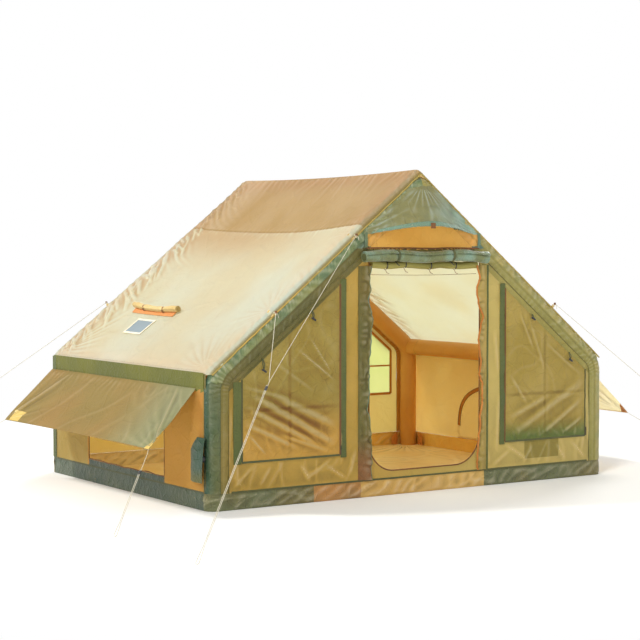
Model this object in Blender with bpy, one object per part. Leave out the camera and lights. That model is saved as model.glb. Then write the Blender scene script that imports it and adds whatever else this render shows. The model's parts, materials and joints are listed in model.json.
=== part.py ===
"""Inflatable glamping tent.

Two air-beam arches, a ridge beam and two eave beams carry a gabled cloth cover over a
sewn-in groundsheet. Each side has an awning under its eave, the front has two windows
with zipped covers and a rolled-up door under a visor, and guy lines run from the arches.

Metres, +Z up. The front gable faces -Y and the origin lies under the middle of the floor.
"""

from math import atan2, ceil, cos, hypot, pi, radians, sin, sqrt, tan

import bmesh
import bpy
from mathutils import Vector

# Overall sizes, over the outer cloth
WIDTH = 3.03
DEPTH = 2.17
HEIGHT = 2.0
EAVE_HEIGHT = 0.795

# Edges sharper than this stay crisp in the shading
SHARP_ANGLE = radians(35)

# Cloth and seats
CLOTH = 0.003
GAP = 0.0003
FLOOR_THICKNESS = 0.003
MUD_WALL_HEIGHT = 0.10

# Air beams: a cloth sleeve around a welded bladder
BEAM_RADIUS = 0.0625
SLEEVE_WALL = 0.0012
BLADDER_CLEARANCE = 0.0004
BLADDER_WALL = 0.0008
BLADDER_END_ROOM = 0.012
PORT_RADIUS = 0.006
BEAM_SIDES = 20
COVER_BAND = 0.130
COVER_ARC_STEPS = BEAM_SIDES // 4

# Roof sheets
ROOF_OVERHANG = 0.020
ROOF_SAG = 0.045
SAG_EDGE = 0.030
SAG_SPREAD = 1.12
ROOF_LINES_UP = 5
ROOF_LINES_FRONT = 6
ROOF_LINES_REAR = 3

# Front gable: the door and the windows sit a little right of the middle
FRONT_SHIFT = 0.025
DOOR_WIDTH = 0.88
DOOR_SILL = 0.15
DOOR_HEAD_DROP = 0.57
DOOR_CORNER = 0.19
DOOR_TAPE = 0.012
CORNER_STEPS = 5
STORM_STRIP_WIDTH = 0.075
NARROW_STRIP_WIDTH = 0.045
STRIP_LAP = 0.010
STRIP_FOOT = 0.006
STRIP_HEAD_ROOM = 0.025

# Windows in both gables
WINDOW_INNER = 0.640
WINDOW_OUTER_INSET = 0.188
WINDOW_SILL = 0.272
WINDOW_HEAD_DROP = 0.043
REAR_WINDOW_SILL = 0.40
WINDOW_BORDER = 0.030
MULLION = 0.022
MULLION_HEIGHT = 0.57
REAR_MULLION_HEIGHT = 0.615
NET_THICKNESS = 0.001
FLAP_FOLD = 0.014
FLAP_WAVES = (1.1, 1.6)
FLAP_STEPS = 10

# Visor over the gable vent
VISOR_TOP_DROP = 0.105
VISOR_HEM_DROP = 0.393
VISOR_HEM_RISE = 0.048
VISOR_FORWARD = 0.105
VISOR_LAP = 3
VISOR_COLUMNS = 8
VISOR_ROWS = 5

# Rolled cloth
DOOR_ROLL_RADIUS = 0.035
DOOR_ROLL_REACH = 0.49
DOOR_ROLL_ABOVE_HEAD = 0.038
NET_ROLL_RADIUS = 0.024
NET_ROLL_REACH = 0.41
NET_ROLL_BELOW_HEAD = 0.022
ROLL_CLOTH = 0.0035
ROLL_PITCH = 0.0062
ROLL_CORE = 0.0075
ROLL_POINTS_A_TURN = 12
REAR_ROLL_RADIUS = 0.018

# Side walls
SIDE_OPENING_FRONT_INSET = 0.545
SIDE_OPENING_REAR_INSET = 0.595
SIDE_OPENING_SILL = 0.147
SIDE_OPENING_TOP = 0.62
SIDE_OPENING_CORNER = 0.10
SIDE_DOOR_HALF_WIDTH = 0.47
SIDE_DOOR_TOP = 0.52
SIDE_DOOR_STEPS = 14

# Awnings, which carry on the slope of the roof
AWNING_HEIGHT = 0.70
AWNING_LENGTH = 0.485
AWNING_ROOT_FRONT_INSET = 0.155
AWNING_ROOT_REAR_INSET = 0.045
AWNING_TIP_FRONT_INSET = {-1: 0.045, 1: 0.149}
AWNING_TIP_REAR_INSET = 0.10
AWNING_SLOPE = radians(41)
AWNING_HEM_CURVE = 0.008
AWNING_SAG = 0.022
AWNING_FOLD = 0.007
AWNING_FOLDS = 7
AWNING_STEPS = (16, 8)

# Stove jack in the left roof sheet, and its rolled-up cover
JACK_SLOPE_START = 0.288
JACK_SLOPE_END = 0.443
JACK_FRONT = 0.205
JACK_REAR = 0.445
JACK_BORDER = 0.016
JACK_BORDER_RISE = 0.0015
JACK_CLEARANCE = 0.0006
JACK_ROLL_SLOPE = 0.545
JACK_ROLL_FRONT = 0.04
JACK_ROLL_REAR = 0.64
JACK_ROLL_RADIUS = 0.020
JACK_ROLL_SEAT = 0.0009
JACK_ROLL_STEPS = 3

# Inflation valve at the front left post
VALVE_HEIGHT = 0.300
VALVE_NECK_RADIUS = 0.0135
VALVE_BORE_RADIUS = 0.009
VALVE_FLANGE_RADIUS = 0.020
VALVE_FLANGE_REACH = 0.052
VALVE_FLANGE_THICKNESS = 0.002
VALVE_COLLAR_RADIUS = 0.0185
VALVE_COLLAR = 0.005
VALVE_NECK_OUT = 0.012
CAP_RADIUS = 0.0205
CAP_RIB = 0.0008
CAP_LENGTH = 0.013
CAP_RIBS = 14
VALVE_COVER_FRONT_INSET = 0.025
VALVE_COVER_REAR_INSET = 0.215
VALVE_COVER_FOOT = 0.165
VALVE_COVER_HEAD = 0.425
VALVE_COVER_CHAMFER = 0.080
VALVE_COVER_STAND = 0.034
VALVE_COVER_RAMP = 0.55
VALVE_COVER_STEPS = 8

# Zip sliders of the two window covers
ZIP_SLIDER_WIDTH = 0.011
ZIP_SLIDER_BODY = 0.022
ZIP_SLIDER_TAB = 0.034
ZIP_TAB_WIDTH = 0.006
ZIP_TAB_STEPS = 4
ZIP_NOSE_SHARE = 0.7
ZIP_SLIDER_DEPTH = 0.005

# Guy lines
ROPE_RADIUS = 0.0017
ROPE_SPREAD = 0.0035
ROPE_LOOP_RADIUS = 0.0085
ROPE_LOOP_SPREAD = 0.12
ROPE_CORNER = 0.012
ROPE_SMOOTHING = 3
ROPE_STEPS = 4
ROPE_BEVEL_STEPS = 2
SLIDER_LENGTH = 0.030
SLIDER_WIDTH = 0.016
SLIDER_DEPTH = 0.008
SLIDER_CLEARANCE = 0.0004
SLIDER_END_STEPS = 5
SLIDER_BORE_SIDES = 10
FRONT_ANCHOR_HIGH = 0.51
FRONT_ANCHOR_LOW = 1.08
FRONT_KNOT = Vector((-1.477, -1.670, 0.790))
FRONT_FOOT = Vector((-2.368, -2.455, 0.004))
FRONT_RUNNER_ALONG = 0.065
AWNING_ROPE_FOOT = Vector((-2.339, -1.530, 0.004))
AWNING_KNOT_ALONG = 0.035
AWNING_TIE_SEAT = 0.0008
AWNING_RUNNER_ALONG = 0.180
RIGHT_ANCHOR = 1.065
RIGHT_ROPE_END = Vector((1.469, -1.542, 0.651))
REAR_ROPE_END = Vector((-1.758, 1.542, 0.568))
AWNING_STUB_FRONT = Vector((0.110, -0.121, -0.094))
AWNING_STUB_REAR = Vector((-0.068, 0.073, -0.058))

# Worked out from the sizes above
LEFT, RIGHT = -1, 1
FRONT, REAR = -1, 1
SLOPE = atan2(HEIGHT - EAVE_HEIGHT, WIDTH / 2)
SLOPE_LENGTH = hypot(HEIGHT - EAVE_HEIGHT, WIDTH / 2)
POST_INSET = CLOTH + GAP + BEAM_RADIUS
POST_X = WIDTH / 2 - POST_INSET
ARCH_Y = DEPTH / 2 - POST_INSET
RAFTER_INSET = CLOTH + GAP + POST_INSET
COVER_RADIUS = POST_INSET
COVER_EDGE = COVER_BAND - COVER_RADIUS
BEAM_FOOT = FLOOR_THICKNESS + GAP
WALL_FOOT = MUD_WALL_HEIGHT + GAP
WALL_EDGE = POST_X - COVER_EDGE - GAP
BLADDER_RADIUS = BEAM_RADIUS - SLEEVE_WALL - BLADDER_CLEARANCE
DOOR_LEFT = FRONT_SHIFT - DOOR_WIDTH / 2
DOOR_RIGHT = FRONT_SHIFT + DOOR_WIDTH / 2
DOOR_TOP = HEIGHT - DOOR_HEAD_DROP
VISOR_TOP = HEIGHT - VISOR_TOP_DROP
VISOR_HEM = HEIGHT - VISOR_HEM_DROP
WINDOW_OUTER = WIDTH / 2 - WINDOW_OUTER_INSET
FRONT_FACE = -DEPTH / 2
AWNING_PIVOT = GAP + CLOTH / 2


def clear_scene():
    """Remove whatever the file starts with."""
    for old in list(bpy.data.objects):
        bpy.data.objects.remove(old, do_unlink=True)


def finish(name, colour, roughness, metallic=0.0):
    """A plain material of one colour."""
    made = bpy.data.materials.new(name)
    made.use_nodes = True
    shader = made.node_tree.nodes["Principled BSDF"]
    shader.inputs["Base Color"].default_value = (*colour, 1.0)
    shader.inputs["Roughness"].default_value = roughness
    shader.inputs["Metallic"].default_value = metallic
    made.diffuse_color = (*colour, 1.0)
    return made


def add_mesh(name, points, faces, material):
    """One object from points and faces, with its faces turned outwards."""
    mesh = bpy.data.meshes.new(name)
    mesh.from_pydata([tuple(p) for p in points], [], faces)
    shell = bmesh.new()
    shell.from_mesh(mesh)
    bmesh.ops.recalc_face_normals(shell, faces=shell.faces)
    shell.to_mesh(mesh)
    shell.free()
    made = bpy.data.objects.new(name, mesh)
    bpy.context.scene.collection.objects.link(made)
    mesh.materials.append(material)
    mesh.shade_smooth()
    mesh.set_sharp_from_angle(angle=SHARP_ANGLE)
    return made


def loft(name, rings, material, cyclic=False):
    """A skin over rings of equally many points, capped unless it closes on itself."""
    count = len(rings[0])
    points = [p for ring in rings for p in ring]
    faces = []
    pairs = len(rings) if cyclic else len(rings) - 1
    for k in range(pairs):
        a, b = k * count, (k + 1) % len(rings) * count
        for i in range(count):
            j = (i + 1) % count
            faces.append((a + i, a + j, b + j, b + i))
    if not cyclic:
        faces.append(tuple(reversed(range(count))))
        faces.append(tuple(range((len(rings) - 1) * count, len(rings) * count)))
    return add_mesh(name, points, faces, material)


def cloth(name, face, back, material):
    """A thin sheet between two grids of points."""
    rows, columns = len(face), len(face[0])
    points = [p for row in face for p in row] + [p for row in back for p in row]
    shift = rows * columns
    faces = []
    for i in range(rows - 1):
        for j in range(columns - 1):
            a = i * columns + j
            quad = (a, a + 1, a + columns + 1, a + columns)
            faces.append(quad)
            faces.append(tuple(shift + q for q in reversed(quad)))
    rim = [j for j in range(columns)]
    rim += [i * columns + columns - 1 for i in range(1, rows)]
    rim += [(rows - 1) * columns + j for j in reversed(range(columns - 1))]
    rim += [i * columns for i in reversed(range(1, rows - 1))]
    for a, b in zip(rim, rim[1:] + rim[:1]):
        faces.append((a, b, shift + b, shift + a))
    return add_mesh(name, points, faces, material)


def on_plane(axis, u, v, w):
    """A point from two coordinates in the plane across an axis, and one along it."""
    return {"X": Vector((w, u, v)), "Y": Vector((u, w, v)), "Z": Vector((u, v, w))}[axis]


def prism(name, outline, axis, low, high, material):
    """An outline drawn across an axis and given its thickness along it."""
    rings = [[on_plane(axis, u, v, w) for u, v in outline] for w in (low, high)]
    return loft(name, rings, material)


def as_cutter(made):
    """Keep a helper shape out of the model itself."""
    made.hide_render = True
    made.display_type = "WIRE"
    return made


def prism_cutter(name, outlines, axis, low, high, material):
    """One helper shape of several separate prisms."""
    points, faces = [], []
    for outline in outlines:
        start, count = len(points), len(outline)
        points += [on_plane(axis, u, v, w) for w in (low, high) for u, v in outline]
        for i in range(count):
            j = (i + 1) % count
            faces.append((start + i, start + j, start + count + j, start + count + i))
        faces.append(tuple(start + i for i in reversed(range(count))))
        faces.append(tuple(start + count + i for i in range(count)))
    return as_cutter(add_mesh(name, points, faces, material))


def cut(made, cutter):
    """Take a helper shape out of an object."""
    modifier = made.modifiers.new("cut " + cutter.name, "BOOLEAN")
    modifier.operation = "DIFFERENCE"
    modifier.solver = "EXACT"
    modifier.object = cutter


def set_origin(made, point):
    """Put an object's origin on the axis that it moves about."""
    for vertex in made.data.vertices:
        vertex.co -= point
    made.location = point


def circle(radius, count=BEAM_SIDES):
    """Points round a circle, as pairs."""
    angles = [2 * pi * k / count for k in range(count)]
    return [(radius * cos(a), radius * sin(a)) for a in angles]


def arc(centre, radius, start, end, steps):
    """Points along an arc, both ends among them."""
    angles = [start + (end - start) * k / steps for k in range(steps + 1)]
    return [(centre[0] + radius * cos(a), centre[1] + radius * sin(a)) for a in angles]


def roof_height(x, inset=0.0):
    """Height of the straight roof slope at x, or of a line parallel to it inside."""
    return HEIGHT - abs(x) * tan(SLOPE) - inset / cos(SLOPE)


def arch_stations(foot):
    """The arch's centreline, left foot to right foot, with the mitre at each corner."""
    corner = roof_height(POST_X, RAFTER_INSET)
    normal = Vector((-sin(SLOPE), cos(SLOPE)))
    out = Vector((-1.0, 0.0))
    mitre = (out + normal) / (1 + out.dot(normal))
    left = [
        (Vector((-POST_X, foot)), out),
        (Vector((-POST_X, corner)), mitre),
    ]
    top = (Vector((0.0, roof_height(0.0, RAFTER_INSET))), Vector((0.0, 1 / cos(SLOPE))))
    right = [(Vector((-p.x, p.y)), Vector((-m.x, m.y))) for p, m in reversed(left)]
    return left + [top] + right


def arch_ring(station, profile, side, shift=(0.0, 0.0)):
    """A profile set across the arch: pairs of distance outwards and towards the gable."""
    place, mitre = station
    points = []
    for out, fore in profile:
        x = place.x + shift[0] + out * mitre.x
        z = place.y + shift[1] + out * mitre.y
        points.append(Vector((x, side * (ARCH_Y + fore), z)))
    return points


def sleeve(name, ends, side, material):
    """A cloth tube between two corners of an arch, cut to the mitres."""
    outer, inner = circle(BEAM_RADIUS), circle(BEAM_RADIUS - SLEEVE_WALL)
    (a, move_a), (b, move_b) = ends
    rings = [
        arch_ring(a, outer, side, move_a),
        arch_ring(b, outer, side, move_b),
        arch_ring(b, inner, side, move_b),
        arch_ring(a, inner, side, move_a),
    ]
    return loft(name, rings, material, cyclic=True)


def build_arch(word, side, material):
    """Two posts and two rafters, which meet at mitres half a gap apart."""
    stations = arch_stations(BEAM_FOOT)
    down = (0.0, -GAP / 2)
    made = []
    top = stations[len(stations) // 2]
    for hand, mark in ((LEFT, "left"), (RIGHT, "right")):
        foot, corner = stations[:2] if hand == LEFT else stations[:-3:-1]
        up_slope = (-hand * cos(SLOPE) * GAP / 2, sin(SLOPE) * GAP / 2)
        post = sleeve(f"{word}_post_{mark}", ((foot, (0, 0)), (corner, down)), side, material)
        ends = ((corner, up_slope), (top, (hand * GAP / 2, 0.0)))
        rafter = sleeve(f"{word}_rafter_{mark}", ends, side, material)
        made += [post, rafter]
    return made


def build_arch_bladder(word, side, material):
    """The welded air tube inside a whole arch, closed at both feet but for a hose port."""
    outer, inner = circle(BLADDER_RADIUS), circle(BLADDER_RADIUS - BLADDER_WALL)
    port = circle(PORT_RADIUS)
    low = arch_stations(BEAM_FOOT + BLADDER_END_ROOM)
    high = arch_stations(BEAM_FOOT + BLADDER_END_ROOM + BLADDER_WALL)
    rings = [arch_ring(station, outer, side) for station in low]
    rings.append(arch_ring(low[-1], port, side))
    rings.append(arch_ring(high[-1], port, side))
    rings += [arch_ring(station, inner, side) for station in reversed(high)]
    return loft(f"{word}_arch_bladder", rings, material)


def build_long_beam(name, x, z, cutters, sleeve_cloth, bladder_film):
    """A sleeve from arch to arch, saddled on both, and the air tube in it."""
    rings = []
    for radius, ends in ((BEAM_RADIUS, (-1, 1)), (BEAM_RADIUS - SLEEVE_WALL, (1, -1))):
        for end in ends:
            rings.append([Vector((x + u, end * ARCH_Y, z + v)) for u, v in circle(radius)])
    outer = loft(name + "_beam", rings, sleeve_cloth, cyclic=True)
    for cutter in cutters:
        cut(outer, cutter)
    reach = ARCH_Y - BEAM_RADIUS - BLADDER_END_ROOM
    stops = (
        (BLADDER_RADIUS, reach),
        (BLADDER_RADIUS, -reach),
        (PORT_RADIUS, -reach),
        (PORT_RADIUS, -reach + BLADDER_WALL),
        (BLADDER_RADIUS - BLADDER_WALL, -reach + BLADDER_WALL),
        (BLADDER_RADIUS - BLADDER_WALL, reach - BLADDER_WALL),
    )
    rings = [[Vector((x + u, y, z + v)) for u, v in circle(r)] for r, y in stops]
    loft(name + "_bladder", rings, bladder_film)
    return outer


def build_arch_cover(word, side, material):
    """The band of cover cloth sewn over an arch: flat on the gable, round to the outside."""
    outer = [(-COVER_EDGE, COVER_RADIUS)]
    outer += arc((0, 0), COVER_RADIUS, pi / 2, 0.0, COVER_ARC_STEPS)
    inner = arc((0, 0), COVER_RADIUS - CLOTH, 0.0, pi / 2, COVER_ARC_STEPS)
    inner += [(-COVER_EDGE, COVER_RADIUS - CLOTH)]
    rings = [arch_ring(s, outer + inner, side) for s in arch_stations(WALL_FOOT)]
    return loft(f"{word}_arch_cover", rings, material)


def build_groundsheet(material):
    """The floor, inside the mud walls."""
    half_x, half_y = WIDTH / 2 - CLOTH - GAP, DEPTH / 2 - CLOTH - GAP
    radius = COVER_RADIUS - CLOTH - GAP
    outline = []
    for k, (sx, sy) in enumerate(((1, 1), (-1, 1), (-1, -1), (1, -1))):
        centre = (sx * (half_x - radius), sy * (half_y - radius))
        outline += arc(centre, radius, k * pi / 2, (k + 1) * pi / 2, COVER_ARC_STEPS)
    return prism("groundsheet", outline, "Z", 0.0, FLOOR_THICKNESS, material)


def build_mud_walls(material):
    """The turned-up edge of the floor: gable walls that wrap the corners, and two sides."""
    for word, side in (("front", FRONT), ("rear", REAR)):
        outline = []
        for radius in (COVER_RADIUS, COVER_RADIUS - CLOTH):
            bend = arc((POST_X, ARCH_Y), radius, 0.0, pi / 2, COVER_ARC_STEPS)
            run = bend + [(-u, v) for u, v in reversed(bend)]
            outline += run if radius == COVER_RADIUS else list(reversed(run))
        outline = [(u, side * v) for u, v in outline]
        prism(f"mud_wall_{word}", outline, "Z", 0.0, MUD_WALL_HEIGHT, material)
    for word, side in (("left", LEFT), ("right", RIGHT)):
        reach = ARCH_Y - GAP
        x = sorted((side * WIDTH / 2, side * (WIDTH / 2 - CLOTH)))
        outline = [(x[0], -reach), (x[1], -reach), (x[1], reach), (x[0], reach)]
        prism(f"mud_wall_{word}", outline, "Z", 0.0, MUD_WALL_HEIGHT, material)


def seam_height(x):
    """Upper edge of a gable wall, along the inner edge of the arch cover."""
    return roof_height(x, RAFTER_INSET + COVER_EDGE + GAP)


def window_head(x):
    """Upper edge of a window, parallel to the rafter."""
    return seam_height(x) - WINDOW_HEAD_DROP


def window_panes(inner, outer, sill, crossing, head_shift=0.0):
    """Four panes of netting between the border and two crossed bars, for x above 0."""
    low, high = inner + WINDOW_BORDER, outer - WINDOW_BORDER
    middle = (low + high) / 2

    def head(x):
        return window_head(x + head_shift) - WINDOW_BORDER

    panes = []
    for a, b in ((low, middle - MULLION / 2), (middle + MULLION / 2, high)):
        foot, top = sill + WINDOW_BORDER, crossing - MULLION / 2
        panes.append([(a, foot), (b, foot), (b, top), (a, top)])
        foot = crossing + MULLION / 2
        panes.append([(a, foot), (b, foot), (b, head(b)), (a, head(a))])
    return panes


def front_window_edges(hand):
    """Inner and outer edge of a front window, as signed x."""
    return hand * WINDOW_INNER + FRONT_SHIFT, hand * WINDOW_OUTER + FRONT_SHIFT


def gable_panel(name, outline, side, material):
    """A flat panel of a gable, its outer face flush with the gable."""
    faces = sorted((side * DEPTH / 2, side * (DEPTH / 2 - CLOTH)))
    return prism(name, outline, "Y", *faces, material)


def build_front_walls(material):
    """The two wall panels beside the door, each with a netted window let into it."""
    for hand, word in ((LEFT, "left"), (RIGHT, "right")):
        door_edge = DOOR_LEFT if hand == LEFT else DOOR_RIGHT
        edge = hand * WALL_EDGE
        outline = [
            (edge, WALL_FOOT),
            (door_edge, WALL_FOOT),
            (door_edge, seam_height(door_edge)),
            (edge, seam_height(edge)),
        ]
        panel = gable_panel(f"front_wall_{word}", outline, FRONT, material)
        inner, outer = front_window_edges(hand)
        shift = abs(inner) - WINDOW_INNER
        panes = window_panes(WINDOW_INNER, WINDOW_OUTER, WINDOW_SILL, MULLION_HEIGHT, shift)
        panes = [[(hand * u + FRONT_SHIFT, v) for u, v in pane] for pane in panes]
        faces = (FRONT_FACE - CLOTH, FRONT_FACE + CLOTH - NET_THICKNESS)
        cut(panel, prism_cutter(f"front_panes_{word}", panes, "Y", *faces, material))


def build_rear_wall(material):
    """The closed rear gable with its two netted windows."""
    edge = WALL_EDGE
    outline = [
        (-edge, WALL_FOOT),
        (edge, WALL_FOOT),
        (edge, seam_height(edge)),
        (0.0, seam_height(0.0)),
        (-edge, seam_height(edge)),
    ]
    panel = gable_panel("rear_wall", outline, REAR, material)
    panes = window_panes(WINDOW_INNER, WINDOW_OUTER, REAR_WINDOW_SILL, REAR_MULLION_HEIGHT)
    panes += [[(-u, v) for u, v in pane] for pane in panes]
    faces = (DEPTH / 2 - CLOTH + NET_THICKNESS, DEPTH / 2 + CLOTH)
    cut(panel, prism_cutter("rear_panes", panes, "Y", *faces, material))


def build_door(wall_cloth, vent_cloth):
    """The surround of the door opening, and the vent panel above it."""
    left, right = DOOR_LEFT + GAP, DOOR_RIGHT - GAP
    low, high = left + DOOR_TAPE, right - DOOR_TAPE
    top, bend = DOOR_TOP - GAP, DOOR_SILL + DOOR_CORNER
    outline = [(left, top), (left, WALL_FOOT), (right, WALL_FOOT), (right, top), (high, top)]
    outline += arc((high - DOOR_CORNER, bend), DOOR_CORNER, 0.0, -pi / 2, CORNER_STEPS)
    outline += arc((low + DOOR_CORNER, bend), DOOR_CORNER, -pi / 2, -pi, CORNER_STEPS)
    outline += [(low, top)]
    gable_panel("door_surround", outline, FRONT, wall_cloth)
    outline = [
        (left, DOOR_TOP),
        (right, DOOR_TOP),
        (right, seam_height(right)),
        (0.0, seam_height(0.0)),
        (left, seam_height(left)),
    ]
    gable_panel("gable_vent_panel", outline, FRONT, vent_cloth)


def build_storm_strips(material):
    """The sewn strips that hang beside the door opening, over its zip."""
    faces = (FRONT_FACE - GAP - CLOTH, FRONT_FACE - GAP)
    foot, head = MUD_WALL_HEIGHT + STRIP_FOOT, DOOR_TOP - STRIP_HEAD_ROOM
    spans = (
        ("left", DOOR_LEFT + STRIP_LAP - STORM_STRIP_WIDTH, DOOR_LEFT + STRIP_LAP),
        ("right", DOOR_RIGHT, DOOR_RIGHT + NARROW_STRIP_WIDTH),
    )
    for word, low, high in spans:
        outline = [(low, foot), (high, foot), (high, head), (low, head)]
        prism(f"storm_strip_{word}", outline, "Y", *faces, material)


def visor_row(z, share):
    """One level of the visor: it lies on the rounds of both rafters and bellies out between."""
    side, seat = [], COVER_RADIUS + GAP
    for k in range(VISOR_LAP, -1, -1):
        angle = k * 2 * pi / BEAM_SIDES
        line = roof_height(0.0, RAFTER_INSET - seat * sin(angle))
        side.append((-(line - z) / tan(SLOPE), -ARCH_Y - seat * cos(angle), z))
    inner = side[-1][0]
    middle = []
    for k in range(1, VISOR_COLUMNS):
        t = 2 * k / VISOR_COLUMNS - 1
        bow = cos(pi / 2 * t) * share
        y = -ARCH_Y - seat - VISOR_FORWARD * bow
        middle.append((-inner * t, y, z + VISOR_HEM_RISE * bow))
    row = side + middle + [(-x, y, z) for x, y, z in reversed(side)]
    return [Vector(p) for p in row]


def build_visor(material):
    """The hood that stands out over the gable vent, hung between the rafters."""
    face, back = [], []
    for k in range(VISOR_ROWS + 1):
        share = k / VISOR_ROWS
        row = visor_row(VISOR_TOP + (VISOR_HEM - VISOR_TOP) * share, share)
        back.append(row)
        face.append([p - Vector((0, CLOTH, 0)) for p in row])
    cloth("visor", face, back, material)


def build_window_flaps(material):
    """The zipped covers over the front windows, closed, with the folds they hang in."""
    for hand, word in ((LEFT, "left"), (RIGHT, "right")):
        inner, outer = front_window_edges(hand)
        face, back = [], []
        for k in range(FLAP_STEPS + 1):
            v = k / FLAP_STEPS
            row = []
            for i in range(FLAP_STEPS + 1):
                u = i / FLAP_STEPS
                x = outer + (inner - outer) * u
                z = WINDOW_SILL + (window_head(x) - WINDOW_SILL) * v
                free = sqrt(sin(pi * u) * sin(pi * v))
                fold = 0.5 - 0.5 * cos(2 * pi * (FLAP_WAVES[0] * u + FLAP_WAVES[1] * v))
                y = FRONT_FACE - GAP - CLOTH - FLAP_FOLD * free * fold
                row.append(Vector((x, y, z)))
            face.append(row)
            back.append([p + Vector((0, CLOTH, 0)) for p in row])
        cloth(f"window_cover_{word}", face, back, material)


def spiral_section(radius):
    """The outline of a rolled sheet seen from its end."""
    turns = (radius - ROLL_CLOTH / 2 - ROLL_CORE) / ROLL_PITCH
    steps = ceil(turns * ROLL_POINTS_A_TURN)
    outer, inner = [], []
    for k in range(steps + 1):
        angle = 2 * pi * turns * k / steps
        middle = radius - ROLL_CLOTH / 2 - ROLL_PITCH * turns * k / steps
        for edge, line in ((ROLL_CLOTH / 2, outer), (-ROLL_CLOTH / 2, inner)):
            line.append(((middle + edge) * cos(angle), (middle + edge) * sin(angle)))
    return outer + list(reversed(inner))


def rolled(name, path, across, up, radius, material):
    """A sheet rolled on itself along a path, with its spiral showing at both ends."""
    section = spiral_section(radius)
    rings = [[centre + across * u + up * v for u, v in section] for centre in path]
    return loft(name, rings, material)


def build_door_rolls(door_cloth, net_cloth):
    """The rolled-up door outside the gable, and the rolled-up door net inside it."""
    y = FRONT_FACE - GAP - DOOR_ROLL_RADIUS
    z = DOOR_TOP + DOOR_ROLL_ABOVE_HEAD
    path = [Vector((FRONT_SHIFT + t * DOOR_ROLL_REACH, y, z)) for t in (-1, 1)]
    rolled("door_roll", path, Vector((0, 1, 0)), Vector((0, 0, 1)), DOOR_ROLL_RADIUS, door_cloth)
    reach = NET_ROLL_RADIUS + 2 * GAP
    y = FRONT_FACE + CLOTH + sqrt(reach**2 - NET_ROLL_BELOW_HEAD**2)
    z = DOOR_TOP - NET_ROLL_BELOW_HEAD
    path = [Vector((FRONT_SHIFT + t * NET_ROLL_REACH, y, z)) for t in (-1, 1)]
    towards = Vector((0, FRONT_FACE + CLOTH - y, NET_ROLL_BELOW_HEAD)).normalized()
    beside = towards.cross(Vector((1, 0, 0)))
    rolled("door_net_roll", path, towards, beside, NET_ROLL_RADIUS, net_cloth)


def build_rear_rolls(material):
    """The rear windows' covers, rolled up under the rafters."""
    for hand, word in ((LEFT, "left"), (RIGHT, "right")):
        up = Vector((hand * sin(SLOPE), 0, cos(SLOPE)))
        path = []
        for x in (WINDOW_INNER, WINDOW_OUTER):
            y = DEPTH / 2 + GAP + REAR_ROLL_RADIUS
            path.append(Vector((hand * x, y, window_head(x))) + up * REAR_ROLL_RADIUS / 2)
        name = f"rear_window_roll_{word}"
        rolled(name, path, Vector((0, -1, 0)), up, REAR_ROLL_RADIUS, material)


def rounded_opening(front, rear, sill, top, radius):
    """An opening with a straight sill and round upper corners."""
    outline = [(front, sill), (rear, sill)]
    outline += arc((rear - radius, top - radius), radius, 0.0, pi / 2, CORNER_STEPS)
    outline += arc((front + radius, top - radius), radius, pi / 2, pi, CORNER_STEPS)
    return outline


def build_side_walls(wall_cloth, door_cloth):
    """The low side walls: the left one open, the right one with its arched door zipped in."""
    top = EAVE_HEIGHT - CLOTH / cos(SLOPE) - 2 * GAP
    reach = ARCH_Y - GAP
    outline = [(-reach, WALL_FOOT), (reach, WALL_FOOT), (reach, top), (-reach, top)]
    walls = {}
    for side, word in ((LEFT, "left"), (RIGHT, "right")):
        x = sorted((side * WIDTH / 2, side * (WIDTH / 2 - CLOTH)))
        walls[side] = prism(f"side_wall_{word}", outline, "X", *x, wall_cloth)
    opening = rounded_opening(
        SIDE_OPENING_FRONT_INSET - DEPTH / 2,
        DEPTH / 2 - SIDE_OPENING_REAR_INSET,
        SIDE_OPENING_SILL,
        SIDE_OPENING_TOP,
        SIDE_OPENING_CORNER,
    )
    span = (-WIDTH / 2 - CLOTH, -WIDTH / 2 + 2 * CLOTH)
    cut(walls[LEFT], prism_cutter("side_opening", [opening], "X", *span, wall_cloth))
    rise = SIDE_DOOR_TOP - WALL_FOOT
    outline = []
    for k in range(SIDE_DOOR_STEPS + 1):
        a = pi * k / SIDE_DOOR_STEPS
        outline.append((SIDE_DOOR_HALF_WIDTH * cos(a), WALL_FOOT + rise * sqrt(sin(a))))
    inner = WIDTH / 2 - CLOTH - GAP
    prism("side_door", outline, "X", inner - CLOTH, inner, door_cloth)
    return walls[LEFT]


def awning_point(side, a, b):
    """A point of an awning: a runs along the eave from -1 to 1, b from the seam to the hem."""
    hem = AWNING_LENGTH - AWNING_HEM_CURVE * (1 - a * a)
    along = b * hem
    tips = (AWNING_TIP_FRONT_INSET[side] - DEPTH / 2, DEPTH / 2 - AWNING_TIP_REAR_INSET)
    share = (1 + a) / 2
    roots = (AWNING_ROOT_FRONT_INSET - DEPTH / 2, DEPTH / 2 - AWNING_ROOT_REAR_INSET)
    root_y = roots[0] + (roots[1] - roots[0]) * share
    y = root_y + (tips[0] + (tips[1] - tips[0]) * share - root_y) * b
    drop = AWNING_SAG * sin(pi * b) * (1 - a * a)
    for tip in tips:
        off_y, off_s = tip - y, AWNING_LENGTH - along
        reach = hypot(off_y, off_s)
        fade = max(0.0, 1 - reach / tips[1]) * b * (1 - b) * 4
        angle = atan2(off_s, abs(off_y) + GAP)
        drop += AWNING_FOLD * fade * cos(2 * AWNING_FOLDS * angle)
    x = WIDTH / 2 + AWNING_PIVOT + along * cos(AWNING_SLOPE) - drop * sin(AWNING_SLOPE)
    z = AWNING_HEIGHT - along * sin(AWNING_SLOPE) - drop * cos(AWNING_SLOPE)
    return Vector((side * x, y, z))


def awning_normal(side):
    """The way up and out from an awning's slope."""
    return Vector((side * sin(AWNING_SLOPE), 0, cos(AWNING_SLOPE)))


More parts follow.
